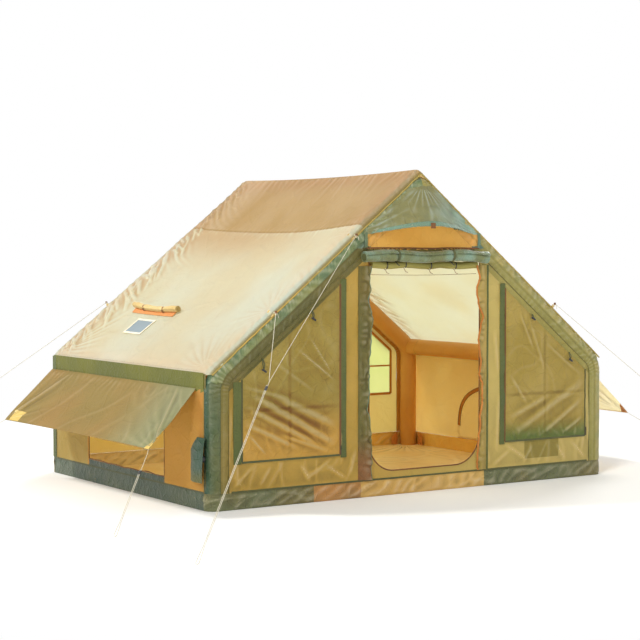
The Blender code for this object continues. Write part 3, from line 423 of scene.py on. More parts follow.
def rays(
    u: Array,
    v: Array,
    corner: tuple[float, float],
    heading: float,
    spread: float,
    count: float,
    depth: float,
    reach: float,
    seed: int,
) -> Array:
    """Tension folds that fan out from a pulled corner.

    Args:
        u: First coordinate on the cloth.
        v: Second coordinate.
        corner: The pulled place.
        heading: Direction of the fan's middle, in degrees.
        spread: The fan's angle, in degrees.
        count: Folds in the fan.
        depth: Height of the folds.
        reach: Length of the longest.
        seed: Picks the pattern.

    Returns:
        Heights over the cloth.
    """
    heading, spread = radians(heading), radians(spread)
    du, dv = u - corner[0], v - corner[1]
    far = np.hypot(du, dv)
    angle = (np.arctan2(dv, du) - heading + pi) % (2 * pi) - pi
    phase = count * (angle / spread + 0.5) + 0.25 * noise(far / 0.2, angle * 2, seed)
    long, tall = shares_of(phase, seed + 2, 5, 1)
    inside = limit(1.4 - np.abs(angle) / (spread / 2))
    length = reach * (0.45 + 0.55 * long)
    rise = limit(far / 0.10) * limit(1 - far / length) ** 0.8
    return depth * ridge(phase) * inside * rise * (0.4 + 0.6 * tall)


def fans(u: Array, v: Array, rows: Sequence[tuple[float, ...]], seed: int = 0) -> Array:
    """Fans of folds: each row is u, v, heading, spread, count, depth, reach and a seed's step."""
    total = np.zeros_like(u * v)
    for u0, v0, heading, spread, count, depth, reach, step in rows:
        total += rays(u, v, (u0, v0), heading, spread, count, depth, reach, seed + step)
    return total


def crumpled(u: Array, v: Array, size: float, soft: float, sharp: float, seed: int) -> Array:
    """Soft waves and sharper creases of one size over a cloth."""
    return rumple(u, v, size, soft, seed) + crisp(u, v, size, sharp, seed + 1)


def creases(u: Array, v: Array, lines: Sequence[tuple[float, ...]]) -> Array:
    """Single soft folds: each line is u0, v0, u1, v1, half width and height."""
    total = np.zeros_like(u * v)
    for u0, v0, u1, v1, wide, tall in lines:
        run = np.array([u1 - u0, v1 - v0])
        share = ((u - u0) * run[0] + (v - v0) * run[1]) / (run @ run)
        off = np.hypot(u - u0 - share * run[0], v - v0 - share * run[1])
        total += tall * np.exp(-((off / wide) ** 2)) * limit(4 * share) * limit(4 - 4 * share)
    return total


# Meshes


def unit(a: Array) -> Array:
    """Vectors of length one along the last axis."""
    return a / np.maximum(np.linalg.norm(a, axis=-1, keepdims=True), 1e-12)


def resample(path: Array, step: float) -> Array:
    """Points at even steps along a path, its ends among them."""
    path = np.asarray(path, float)
    run = distances(path)
    stops = np.linspace(0.0, run[-1], max(2, ceil(run[-1] / step) + 1))
    return np.stack([np.interp(stops, run, path[:, k]) for k in range(path.shape[1])], axis=1)


def rounded(
    corners: Sequence[Sequence[float]], bends: float | Sequence[float], step: float
) -> Array:
    """A run through corners with each inner one turned on an arc.

    Args:
        corners: The straight run's points.
        bends: How far from each corner its arc starts.
        step: Spacing of the points.

    Returns:
        The points of the run.
    """
    points = [np.array(p, float) for p in corners]
    run = [points[0]]
    starts = np.broadcast_to(np.asarray(bends, float), (len(points) - 2,))
    for before, corner, after, bend in zip(points, points[1:], points[2:], starts):
        into, out = unit(corner - before), unit(after - corner)
        turn = float(np.arccos(np.clip(into @ out, -1, 1)))
        radius = bend / tan(turn / 2)
        centre = corner + unit(out - into) * radius / cos(turn / 2)
        arm = corner - into * bend - centre
        for a in np.linspace(0.0, turn, 9):
            run.append(centre + arm * cos(a) + into * radius * sin(a))
    run.append(points[-1])
    return resample(np.array(run), step)


def make_object(
    name: str,
    points: Array,
    faces: list[list[int]],
    finishes: Sequence["Finish"],
    slots: Sequence[int] | None = None,
    flat: Array | None = None,
    sharp: float = 50.0,
    relief: Array | None = None,
) -> Object:
    """One object from points and faces.

    Args:
        name: The piece's name.
        points: Its vertices.
        faces: Its faces, seen from outside.
        finishes: Its finishes.
        slots: The finish of each face, where there is more than one.
        flat: A place on the flat cut for each corner of each face.
        sharp: Edges sharper than this angle stay crisp.
        relief: How far each vertex stands above the cloth round it, from -1 to 1.

    Returns:
        The new object.
    """
    mesh = bpy.data.meshes.new(name)
    mesh.from_pydata(np.asarray(points).tolist(), [], faces)
    for finish in finishes:
        mesh.materials.append(finish.material())
    if slots is not None:
        mesh.polygons.foreach_set("material_index", slots)
    if flat is not None:
        layer = mesh.uv_layers.new(name="flat")
        layer.data.foreach_set("uv", np.asarray(flat, float).ravel())
    if relief is not None:
        mesh.attributes.new("relief", "FLOAT", "POINT").data.foreach_set(
            "value", np.asarray(relief, float).ravel()
        )
    mesh.shade_smooth()
    mesh.set_sharp_from_angle(angle=radians(sharp))
    made = bpy.data.objects.new(name, mesh)
    bpy.context.scene.collection.objects.link(made)
    return made


def standing(height: Array, passes: int = 14, scale: float = 0.0035) -> Array:
    """How far each point stands above the cloth round it, from -1 in a valley to 1 on a crest."""
    level = height
    for _ in range(passes):
        for axis in (0, 1):
            pad = [(1, 1) if k == axis else (0, 0) for k in (0, 1)]
            wide = np.pad(level, pad, mode="edge")
            low = np.take(wide, range(wide.shape[axis] - 2), axis)
            high = np.take(wide, range(2, wide.shape[axis]), axis)
            level = 0.5 * level + 0.25 * (low + high)
    return np.clip((height - level) / scale, -1, 1)


@dataclass
class Patch:
    """A patch of cloth: its middle surface on a grid, and the same grid on the flat cut."""

    points: Array
    flat: Array
    ring: bool = False
    relief: Array | None = None

    @classmethod
    def over(cls, u: Array, v: Array, place: Callable[[Array, Array], Array]) -> "Patch":
        """A patch from the two directions of a flat cut, in metres, and a rule that places them."""
        a, b = np.meshgrid(u, v)
        return cls(place(a, b), vectors(a, b))

    @property
    def uv(self) -> tuple[Array, Array]:
        """Both directions of the flat cut."""
        return self.flat[..., 0], self.flat[..., 1]

    def normals(self) -> Array:
        """The way out from each point: from column to column turned into row to row."""
        p = self.points
        if self.ring:
            across = np.roll(p, -1, axis=1) - np.roll(p, 1, axis=1)
        else:
            across = np.gradient(p, axis=1)
        return unit(np.cross(across, np.gradient(p, axis=0)))

    def facing_out(self) -> "Patch":
        """The patch with its normals away from the tent's middle."""
        away = self.points - np.array([0.0, 0.0, 0.6])
        if (self.normals() * away).sum() >= 0:
            return self
        relief = None if self.relief is None else self.relief[:, ::-1]
        return Patch(self.points[:, ::-1], self.flat[:, ::-1], self.ring, relief)

    def pushed(self, height: Array) -> "Patch":
        """The patch with each point moved along its normal."""
        points = self.points + self.normals() * height[..., None]
        return Patch(points, self.flat, self.ring, standing(height))

    def cut(self) -> tuple[float, float, float]:
        """Width, length and area of the flat piece."""
        spans = np.ptp(self.flat.reshape(-1, 2), axis=0)
        f = self.flat
        if self.ring:
            f = np.concatenate([f, f[:, :1] + [[[spans[0], 0]]]], axis=1)
        a, b = f[:-1, 1:] - f[:-1, :-1], f[1:, :-1] - f[:-1, :-1]
        c, d = f[:-1, 1:] - f[1:, 1:], f[1:, :-1] - f[1:, 1:]
        area = 0.5 * np.abs(a[..., 0] * b[..., 1] - a[..., 1] * b[..., 0])
        area += 0.5 * np.abs(c[..., 0] * d[..., 1] - c[..., 1] * d[..., 0])
        return float(spans[0]), float(spans[1]), float(area.sum())

    def sheet(
        self,
        name: str,
        finishes: Sequence["Finish"],
        thick: float = 0.0016,
        keep: Array | None = None,
    ) -> Object:
        """The patch as a closed thin sheet.

        Args:
            name: The piece's name.
            finishes: One finish, or the outer and the inner one.
            thick: The cloth's thickness.
            keep: Which cells are cloth, where there are holes.

        Returns:
            The new object.
        """
        rows, columns = self.points.shape[:2]
        half = self.normals() * thick / 2
        points = np.concatenate(
            [(self.points + half).reshape(-1, 3), (self.points - half).reshape(-1, 3)]
        )
        index = np.arange(rows * columns).reshape(rows, columns)
        flat = self.flat
        if self.ring:
            index = np.concatenate([index, index[:, :1]], axis=1)
            step = flat[:, 1:2] - flat[:, :1]
            flat = np.concatenate([flat, flat[:, -1:] + step], axis=1)
        cells = (rows - 1, index.shape[1] - 1)
        kept = np.ones(cells, bool) if keep is None else keep
        pad = np.pad(kept, 1)
        if self.ring:
            pad[1:-1, 0], pad[1:-1, -1] = kept[:, -1], kept[:, 0]
        corner = np.arange(rows * index.shape[1]).reshape(index.shape)
        ids, total = index.ravel(), rows * columns
        a, b, c, d = corner[:-1, :-1], corner[:-1, 1:], corner[1:, 1:], corner[1:, :-1]
        front = vectors(a, b, c, d)[kept]
        quads, places = [ids[front], total + ids[front[:, ::-1]]], [front, front[:, ::-1]]
        inner = pad[1:-1, 1:-1]
        rims = (
            (a, b, inner & ~pad[:-2, 1:-1]),
            (c, d, inner & ~pad[2:, 1:-1]),
            (d, a, inner & ~pad[1:-1, :-2]),
            (b, c, inner & ~pad[1:-1, 2:]),
        )
        for start, end, where in rims:
            s, e = start[where], end[where]
            quads.append(vectors(ids[e], ids[s], total + ids[s], total + ids[e]))
            places.append(vectors(e, s, s, e))
        slots = np.zeros(sum(len(q) for q in quads), int)
        if len(finishes) > 1:
            slots[len(quads[0]) : len(quads[0]) + len(quads[1])] = 1
        faces = np.concatenate(quads)
        used, faces = np.unique(faces, return_inverse=True)
        uv = flat.reshape(-1, 2)[np.concatenate(places).ravel()]
        relief = None if self.relief is None else np.tile(self.relief.ravel(), 2)[used]
        return make_object(
            name, points[used], faces.reshape(-1, 4).tolist(), finishes, slots, uv, relief=relief
        )


def tube(
    name: str,
    path: Array,
    radius: float | Array,
    finish: "Finish",
    sides: int = 10,
    closed: bool = False,
) -> Object:
    """A round cord or roll along a path.

    Args:
        name: The piece's name.
        path: The points of its middle.
        radius: One radius, one for each point, or one for each point and side.
        finish: Its finish.
        sides: Points round it.
        closed: Whether the path meets its own start.

    Returns:
        The new object.
    """
    path = np.asarray(path, float)
    count = len(path)
    if closed:
        tangent = unit(np.roll(path, -1, axis=0) - np.roll(path, 1, axis=0))
    else:
        tangent = unit(np.gradient(path, axis=0))
    side = unit(np.cross(tangent[0], Z if abs(tangent[0][2]) < 0.9 else X))
    sides_of = []
    for t in tangent:
        side = unit(side - t * (side @ t))
        sides_of.append(side)
    across = np.array(sides_of)
    up = np.cross(tangent, across)
    angles = 2 * pi * np.arange(sides) / sides
    reach = np.broadcast_to(
        np.asarray(radius, float).reshape(-1, 1) if np.ndim(radius) < 2 else radius, (count, sides)
    )
    rim = (
        across[:, None] * np.cos(angles)[None, :, None]
        + up[:, None] * np.sin(angles)[None, :, None]
    )
    points = path[:, None] + rim * reach[..., None]
    run = distances(path)
    faces, flat = [], []
    for k in range(count if closed else count - 1):
        n = (k + 1) % count
        for i in range(sides):
            j = (i + 1) % sides
            faces.append([k * sides + i, k * sides + j, n * sides + j, n * sides + i])
            low, high = run[k], run[n] if n else run[-1] + np.linalg.norm(path[0] - path[-1])
            around = np.array([i, i + 1]) / sides
            flat += [(around[0], low), (around[1], low), (around[1], high), (around[0], high)]
    if not closed:
        faces.append(list(reversed(range(sides))))
        faces.append(list(range((count - 1) * sides, count * sides)))
        flat += [(0.0, 0.0)] * (2 * sides)
    return make_object(name, points.reshape(-1, 3), faces, [finish], None, np.array(flat))


def band(
    name: str,
    path: Array,
    across: Array,
    finish: "Finish",
    thick: float = 0.0016,
    wave: float = 0.0,
    seed: int = 1,
) -> Object:
    """A flat tape along a path.

    Args:
        name: The piece's name.
        path: The points of its middle.
        across: Its half width, as a vector for the whole tape or for each point.
        finish: Its finish.
        thick: Its thickness.
        wave: How far it ripples from flat.
        seed: Picks the ripples.

    Returns:
        The new object.
    """
    path = np.asarray(path, float)
    half = np.broadcast_to(np.asarray(across, float), path.shape)
    run = distances(path)
    shares = np.linspace(-1, 1, 5)
    points = path[None] + half[None] * shares[:, None, None]
    wide = np.linalg.norm(half, axis=1).mean()
    u, v = np.meshgrid(run, shares * wide)
    made = Patch(points, vectors(u, v))
    if wave:
        made = made.pushed(
            wave * noise(u / 0.05, v / 0.04, seed) + wave * noise(u / 0.13, v / 0.2, seed + 1)
        )
    return made.sheet(name, [finish], thick)


def joined(name: str, parts: Sequence[Object]) -> Object:
    """Several small pieces as one object."""
    points, faces, slots, flat, finishes = [], [], [], [], []
    start = 0
    for part in parts:
        mesh = part.data
        co = np.empty(len(mesh.vertices) * 3)
        mesh.vertices.foreach_get("co", co)
        points.append(co.reshape(-1, 3))
        base = len(finishes)
        finishes += list(mesh.materials)
        for face in mesh.polygons:
            faces.append([start + v for v in face.vertices])
            slots.append(base + face.material_index)
        uv = np.empty(len(mesh.loops) * 2)
        mesh.uv_layers[0].data.foreach_get("uv", uv)
        flat.append(uv.reshape(-1, 2))
        start += len(mesh.vertices)
        bpy.data.objects.remove(part)
    unique = list(dict.fromkeys(finishes))
    made = make_object(name, np.concatenate(points), faces, [], None, np.concatenate(flat))
    for material in unique:
        made.data.materials.append(material)
    made.data.polygons.foreach_set("material_index", [unique.index(finishes[s]) for s in slots])
    return made


# Finishes


def linear(colour: Rgb) -> tuple[float, float, float, float]:
    """A colour of 0 to 255 as the shaders take it."""
    scaled = [c / 255 for c in colour]
    return (*(c / 12.92 if c <= 0.04045 else ((c + 0.055) / 1.055) ** 2.4 for c in scaled), 1.0)


class Wires:
    """A short way to set nodes and links in a tree."""

    def __init__(self, tree: bpy.types.NodeTree) -> None:
        """Start with an empty tree."""
        self.tree = tree
        tree.nodes.clear()

    def add(
        self, kind: str, inputs: dict[str | int, object] | None = None, **settings: object
    ) -> bpy.types.Node:
        """A node with its settings, and with values or links for its inputs."""
        node = self.tree.nodes.new(kind)
        for key, value in settings.items():
            setattr(node, key, value)
        for key, value in (inputs or {}).items():
            if isinstance(value, bpy.types.NodeSocket):
                self.tree.links.new(value, node.inputs[key])
            else:
                node.inputs[key].default_value = value
        return node

    def sum(self, kind: str, a: object, b: object, clamp: bool = False) -> bpy.types.NodeSocket:
        """The result of a Math node."""
        return self.add("ShaderNodeMath", {0: a, 1: b}, operation=kind, use_clamp=clamp).outputs[0]

    def times(self, a: object, b: object, clamp: bool = False) -> bpy.types.NodeSocket:
        """A product."""
        return self.sum("MULTIPLY", a, b, clamp)

    def plus(self, a: object, b: object, clamp: bool = False) -> bpy.types.NodeSocket:
        """A sum."""
        return self.sum("ADD", a, b, clamp)

    def mix(self, share: object, a: object, b: object) -> bpy.types.NodeSocket:
        """A mix of two colours."""
        return self.add("ShaderNodeMix", {0: share, 6: a, 7: b}, data_type="RGBA").outputs[2]

    def layer(self, share: object, a: object, b: object) -> bpy.types.NodeSocket:
        """A mix of two shaders."""
        return self.add("ShaderNodeMixShader", {0: share, 1: a, 2: b}).outputs[0]

    def ramp(self, value: object, low: float, high: float) -> bpy.types.NodeSocket:
        """A smooth rise from 0 at one value to 1 at another."""
        inputs = {0: value, 1: low, 2: high}
        return self.add("ShaderNodeMapRange", inputs, interpolation_type="SMOOTHSTEP").outputs[0]

    def bump(self, height: object) -> bpy.types.NodeSocket:
        """Normals from a height in metres."""
        return (
            self.add(
                "ShaderNodeBump", {"Distance": 1.0, "Strength": 1.0, "Height": height}
            ).outputs[0]
        )

    def split(self, vector: object) -> bpy.types.NodeOutputs:
        """A vector's three numbers."""
        return self.add("ShaderNodeSeparateXYZ", {0: vector}).outputs


def shader_group(
    name: str, inputs: dict[str, float | None], outputs: Sequence[str]
) -> tuple[Wires, Callable, Callable]:
    """An empty shader group with named sockets.

    Args:
        name: The group's name.
        inputs: Each input's default, or None for a vector.
        outputs: Names of its float outputs.

    Returns:
        Its wires, and calls that give an input's socket and set an output's.
    """
    tree = bpy.data.node_groups.new(name, "ShaderNodeTree")
    wires = Wires(tree)
    for key, value in inputs.items():
        kind = "NodeSocketVector" if value is None else "NodeSocketFloat"
        socket = tree.interface.new_socket(key, in_out="INPUT", socket_type=kind)
        if value is not None:
            socket.default_value = value
    for key in outputs:
        tree.interface.new_socket(key, in_out="OUTPUT", socket_type="NodeSocketFloat")
    start, end = wires.add("NodeGroupInput"), wires.add("NodeGroupOutput")
    return (
        wires, lambda key: start.outputs[key],
        lambda key, value: tree.links.new(value, end.inputs[key])
    )


class Effect(Enum):
    """The effects that several finishes use."""

    WEAVE = "cloth_weave"
    CRUMPLE = "cloth_crumple"
    BLOTCH = "cloth_blotch"
    STREAK = "cloth_streak"
    DUST = "ground_dust"

    def tree(self) -> bpy.types.NodeTree:
        """The effect's shader group, made on its first use."""
        found = bpy.data.node_groups.get(self.value)
        return found or getattr(self, "_make_" + self.name.lower())()

    def place(self, wires: Wires, **inputs: object) -> bpy.types.NodeSocket:
        """The effect set in a material, with its own values; its first output."""
        node = wires.add("ShaderNodeGroup", node_tree=self.tree())
        for key, value in inputs.items():
            socket = node.inputs[key.title()]
            if isinstance(value, bpy.types.NodeSocket):
                wires.tree.links.new(value, socket)
            else:
                socket.default_value = value
        return node.outputs[0]

    def _make_weave(self) -> bpy.types.NodeTree:
        """Plain weave: threads over and under in both directions of the cut."""
        wires, take, give = shader_group(self.value, {"Vector": None, "Threads": 900.0}, ["Height"])
        places = wires.split(take("Vector"))
        rate = wires.times(take("Threads"), 2 * pi)
        waves = [wires.sum("SINE", wires.times(places[k], rate), 0.0) for k in (0, 1)]
        give("Height", wires.times(*waves))
        return wires.tree

    def _make_crumple(self) -> bpy.types.NodeTree:
        """Straight creases that packed cloth keeps, at two sizes, over a soft unevenness."""
        wires, take, give = shader_group(self.value, {"Vector": None, "Size": 0.1}, ["Height"])
        rate = wires.sum("DIVIDE", 1.0, take("Size"))
        total = None
        for share, weight, bend in ((1.0, 1.0, 0.25), (2.6, 0.4, 0.12)):
            scale = wires.times(rate, share)
            sway = wires.add(
                "ShaderNodeTexNoise", {"Vector": take("Vector"), "Scale": scale, "Detail": 1.0}
            )
            push, spot = (
                wires.add(
                    "ShaderNodeVectorMath", {0: vector, "Scale": size}, operation="SCALE"
                ).outputs[0]
                for vector, size in ((sway.outputs["Color"], bend), (take("Vector"), scale))
            )
            spot = wires.add("ShaderNodeVectorMath", {0: spot, 1: push}, operation="ADD").outputs[0]
            cells = wires.add(
                "ShaderNodeTexVoronoi", {"Vector": spot, "Scale": 1.0}, feature="DISTANCE_TO_EDGE"
            )
            line = wires.sum("SUBTRACT", 1.0, wires.times(cells.outputs["Distance"], 9.0, True))
            part = wires.times(wires.sum("POWER", line, 1.5), weight)
            part = wires.plus(part, wires.times(sway.outputs[0], weight * 2.5))
            total = part if total is None else wires.plus(total, part)
        give("Height", total)
        return wires.tree

    def _make_blotch(self) -> bpy.types.NodeTree:
        """Soft patches where light, sun and moisture have toned the cloth."""
        wires, take, give = shader_group(self.value, {"Vector": None, "Size": 0.4}, ["Mask"])
        rate = wires.sum("DIVIDE", 1.0, take("Size"))
        made = wires.add(
            "ShaderNodeTexNoise", {"Vector": take("Vector"), "Scale": rate, "Detail": 3.0}
        )
        give("Mask", wires.ramp(made.outputs[0], 0.35, 0.65))
        return wires.tree

    def _make_streak(self) -> bpy.types.NodeTree:
        """Painted shade that runs across a band, as it falls over its small folds."""
        wires, take, give = shader_group(
            self.value, {"Vector": None, "Along": 0.03, "Across": 0.2}, ["Mask"]
        )
        places = wires.split(take("Vector"))
        u = wires.sum("DIVIDE", places[0], take("Along"))
        v = wires.sum("DIVIDE", places[1], take("Across"))
        place = wires.add("ShaderNodeCombineXYZ", {0: u, 1: v})
        made = wires.add(
            "ShaderNodeTexNoise", {"Vector": place.outputs[0], "Scale": 1.0, "Detail": 2.0}
        )
        give("Mask", wires.ramp(made.outputs[0], 0.42, 0.62))
        return wires.tree

    def _make_dust(self) -> bpy.types.NodeTree:
        """Dust from the ground, strongest at the foot."""
        wires, take, give = shader_group(self.value, {"Vector": None, "Height": 0.15}, ["Mask"])
        high = wires.split(take("Vector"))[2]
        level = wires.sum("SUBTRACT", 1.0, wires.sum("DIVIDE", high, take("Height")), True)
        made = wires.add(
            "ShaderNodeTexNoise", {"Vector": take("Vector"), "Scale": 14.0, "Detail": 4.0}
        )
        give("Mask", wires.times(level, made.outputs[0], True))
        return wires.tree


@dataclass(frozen=True)
class Finish:
    """What a surface is made of."""

    name: str

    def material(self) -> Material:
        """The material, made on its first use."""
        found = bpy.data.materials.get(self.name)
        if found:
            return found
        made = bpy.data.materials.new(self.name)
        made.use_nodes = True
        wires = Wires(made.node_tree)
        surface = self.surface(wires)
        wires.add("ShaderNodeOutputMaterial", {0: surface})
        return made

    def surface(self, wires: Wires) -> bpy.types.NodeSocket:
        """The finish's own shader."""
        raise NotImplementedError


DUST_TONE = (176, 160, 124)
DUST_HEIGHT = 0.16
FOLD_SHADE_SHARE = 0.4
WEAVE_DEPTH = 0.03
# Painted shade in fold valleys and painted highlight on fold crests, as shares toward a darker and a lighter colour
VALLEY_SHADE = 0.55
CREST_HIGHLIGHT = 0.5
GLOSS_SPREAD = 0.06


@dataclass(frozen=True)
class Cloth(Finish):
    """Woven and coated cloth: two tones in blotches, a weave, creases, light through it, and painted shade in fold
    valleys with painted highlights on fold crests.
    """

    base: Rgb
    second: Rgb
    blotch: float = 0.45
    through: float = 0.25
    rough: float = 0.7
    sheen: float = 0.1
    threads: float = 800.0
    crumple: float = 0.0009
    crease: float = 0.11
    streak: Rgb | None = None
    streaks: tuple[float, float] = (0.035, 0.25)
    dust: float = 0.0
    clear: float = 0.0
    far: Rgb | None = None
    span: tuple[float, float] = (0.0, 1.0)
    axis: int = 1
    # How strongly fold valleys take a painted shade in the valley colour, and how strongly crests take a painted
    # highlight
    deep: float = 0.55
    pale: float = 0.45
    valley: Rgb | None = None

    def surface(self, wires: Wires) -> bpy.types.NodeSocket:
        """Principled cloth with a share of light that comes through."""
        coords = wires.add("ShaderNodeTexCoord")
        place, flat = coords.outputs["Object"], coords.outputs["UV"]
        blotch = Effect.BLOTCH.place(wires, vector=place, size=self.blotch)
        colour = wires.mix(blotch, linear(self.base), linear(self.second))
        # Painted shade in bands across the small folds, toward a second colour
        if self.streak:
            mask = Effect.STREAK.place(
                wires, vector=flat, along=self.streaks[0], across=self.streaks[1]
            )
            colour = wires.mix(wires.times(mask, FOLD_SHADE_SHARE), colour, linear(self.streak))
        # A ramp to a second colour across the cut. It paints shade along the roof's front edge and on the post's side,
        # and sheen on the arch cover, the visor and the left awning
        if self.far:
            mask = wires.ramp(wires.split(flat)[self.axis], *self.span)
            colour = wires.mix(mask, colour, linear(self.far))
        if self.dust:
            mask = Effect.DUST.place(wires, vector=place, height=DUST_HEIGHT)
            colour = wires.mix(wires.times(mask, self.dust), colour, linear(DUST_TONE))
        crease = Effect.CRUMPLE.place(wires, vector=place, size=self.crease)
        # Painted shade in the valleys and painted highlight on the crests of the folds, read from the piece's relief
        relief = wires.add("ShaderNodeAttribute", attribute_name="relief").outputs["Fac"]
        low = wires.times(wires.times(relief, -1.0, True), self.deep)
        colour = wires.mix(
            low, colour, linear(self.valley or tuple(int(c * VALLEY_SHADE) for c in self.base))
        )
        crest = wires.times(wires.times(relief, 1.0, True), self.pale)
        colour = wires.mix(
            crest, colour, linear(tuple(int(c + (255 - c) * CREST_HIGHLIGHT) for c in self.base))
        )
        weave = Effect.WEAVE.place(wires, vector=flat, threads=self.threads)
        height = wires.times(crease, self.crumple)
        height = wires.plus(height, wires.times(weave, WEAVE_DEPTH / self.threads))
        bump = wires.bump(height)
        rough = (
            wires.add(
                "ShaderNodeMapRange",
                {0: blotch, 3: self.rough - GLOSS_SPREAD, 4: self.rough + GLOSS_SPREAD}
            ).outputs[0]
        )
        solid = wires.add(
            "ShaderNodeBsdfPrincipled", {"Base Color": colour, "Roughness": rough, "Normal": bump}
        )
        solid.inputs["Sheen Weight"].default_value = self.sheen
        solid.inputs["Sheen Roughness"].default_value = 0.5
        shader = solid.outputs[0]
        if self.through:
            lit = (
                wires.add("ShaderNodeBsdfTranslucent", {"Color": colour, "Normal": bump}).outputs[0]
            )
            shader = wires.layer(self.through, shader, lit)
        if self.clear:
            hole = wires.add("ShaderNodeBsdfTransparent").outputs[0]
            shader = wires.layer(self.clear, shader, hole)
        return shader


@dataclass(frozen=True)
class Hard(Finish):
    """Moulded plastic, film, zip metal or thread."""

    base: Rgb
    rough: float = 0.4
    metal: float = 0.0
    grain: float = 0.0006
    grain_size: float = 0.004
    coat: float = 0.0

    def surface(self, wires: Wires) -> bpy.types.NodeSocket:
        """A plain surface with a fine grain and a little uneven gloss."""
        coords = wires.add("ShaderNodeTexCoord")
        grain = Effect.CRUMPLE.place(wires, vector=coords.outputs["Object"], size=self.grain_size)
        blotch = Effect.BLOTCH.place(
            wires, vector=coords.outputs["Object"], size=self.grain_size * 8
        )
        dark = tuple(int(c * 0.8) for c in self.base)
        colour = wires.mix(blotch, linear(self.base), linear(dark))
        height = wires.times(grain, self.grain * self.grain_size)
        bump = wires.bump(height)
        rough = (
            wires.add(
                "ShaderNodeMapRange", {0: blotch, 3: self.rough, 4: self.rough + 0.1}
            ).outputs[0]
        )
        solid = wires.add(
            "ShaderNodeBsdfPrincipled", {"Base Color": colour, "Roughness": rough, "Normal": bump}
        )
        solid.inputs["Metallic"].default_value = self.metal
        solid.inputs["Coat Weight"].default_value = self.coat
        return solid.outputs[0]


@dataclass(frozen=True)
class Twist(Finish):
    """Laid rope: strands that wind round it."""

    base: Rgb
    shade: Rgb
    pitch: float = 0.012
    strands: float = 3.0
    groove: float = 0.0006

    def surface(self, wires: Wires) -> bpy.types.NodeSocket:
        """Strands from the piece's own length and girth."""
        coords = wires.add("ShaderNodeTexCoord")
        around, along, _ = wires.split(coords.outputs["UV"])
        turn = wires.plus(wires.times(around, self.strands), wires.sum("DIVIDE", along, self.pitch))
        wave = wires.sum("ABSOLUTE", wires.sum("SINE", wires.times(turn, pi), 0.0), 0.0)
        # The grooves between the strands take a painted shade
        colour = wires.mix(wave, linear(self.shade), linear(self.base))
        bump = wires.bump(wires.times(wave, self.groove))
        solid = wires.add("ShaderNodeBsdfPrincipled", {"Base Color": colour, "Normal": bump})
        solid.inputs["Roughness"].default_value = 0.7
        return solid.outputs[0]


# What several cloths share
COATED = {"through": 0.2, "rough": 0.42, "crumple": 0.0024, "crease": 0.05, "blotch": 0.2}
TAPES = {"through": 0.25, "rough": 0.5, "crumple": 0.0020, "crease": 0.05}
TRIM = {"through": 0.0, "rough": 0.6, "crumple": 0.0003, "crease": 0.03}
GROUND = {"through": 0.05, "rough": 0.42, "crumple": 0.0030, "crease": 0.06}
INNER = {"through": 0.1, "crumple": 0.0014, "crease": 0.07}
WINDOW = {"through": 0.5, "rough": 0.5, "crumple": 0.0028, "crease": 0.09, "blotch": 0.35}

SLEEVE = Cloth(
    "sleeve_orange", (242, 174, 82), (248, 184, 94), through=0.3, rough=0.5, crumple=0.0010,
    crease=0.06
)
# The roof's olive ramp along its front edge is painted shade, and its tan valley colour paints shade in its folds
ROOF_OUT = Cloth(
    "roof_cream", (230, 238, 224), (228, 226, 200), through=0.54, deep=0.75, rough=0.45, blotch=0.9,
    crumple=0.0022, crease=0.20, valley=(208, 178, 130), far=(166, 146, 74), span=(-1.045, -1.072),
    axis=0
)
# The ridge panel above the seam is tan as painted shade, with the same painted olive shade along its front edge
ROOF_TOP = Cloth(
    "roof_ridge_tan", (206, 184, 140), (196, 170, 118), through=0.6, rough=0.45, blotch=0.7,
    crumple=0.0022, crease=0.16, valley=(176, 140, 92), far=(166, 146, 74), span=(-1.045, -1.072),
    axis=0
)
ROOF_IN = Cloth(
    "roof_lining", (255, 252, 234), (254, 249, 226), through=0.9, crumple=0.0012, crease=0.3,
    deep=0.10, pale=0.1
)
# The arch cover's teal ramp toward the outer round is a painted sheen, and its teal fold colour is painted shade
COVER = Cloth(
    "arch_green", (148, 148, 76), (122, 140, 88), **COATED, sheen=0.15, streak=(78, 110, 88),
    streaks=(0.14, 0.2), far=(90, 124, 98), span=(0.0, 0.09), pale=0.8
)
# Lighter copies of the arch cover and its band, as painted sunlight on the right half; the cover copy's green ramp at
# the top of the round is a painted sheen, and its fold colour paints shade
COVER_SUN = Cloth(
    "arch_khaki", (182, 166, 86), (166, 154, 78), **COATED, sheen=0.15, streak=(124, 138, 74),
    streaks=(0.12, 0.2), far=(96, 124, 62), span=(0.09, 0.14), pale=0.8
)
# The post's teal ramp paints shade on its side, and its teal fold colour paints shade across its folds
POST = Cloth(
    "post_green", (98, 100, 36), (80, 94, 44), **COATED, streak=(60, 92, 62), streaks=(0.3, 0.1),
    far=(54, 88, 66), span=(0.0, 0.10), pale=0.6
)
# The band's lighter copy, painted sunlight for the right half
BAND_SUN = Cloth("arch_band_khaki", (172, 162, 86), (158, 150, 74), **TAPES)
POST_GOLD = Cloth("post_band_gold", (158, 136, 62), (138, 126, 56), **TAPES)
BAND = Cloth("arch_band_olive", (104, 100, 44), (126, 116, 56), **TAPES)
GREEN = Cloth(
    "band_green", (84, 96, 38), (98, 106, 48), through=0.2, rough=0.5, crumple=0.0018, crease=0.05
)
EAVE = Cloth(
    "eave_olive", (104, 108, 18), (122, 122, 32), through=0.3, rough=0.5, crumple=0.0016,
    crease=0.06
)
STORM = Cloth(
    "storm_olive", (124, 110, 44), (104, 106, 52), through=0.3, rough=0.5, crumple=0.0018,
    crease=0.04, far=(150, 104, 58), span=(0.42, 0.16), axis=0
)
MUD = Cloth("mud_green", (120, 106, 46), (98, 106, 66), **GROUND, dust=0.2)
MUD_SIDE = Cloth("mud_teal", (62, 80, 54), (50, 74, 62), **GROUND, dust=0.15)
MUD_IN = Cloth("mud_orange", (255, 210, 116), (252, 194, 92), **INNER)
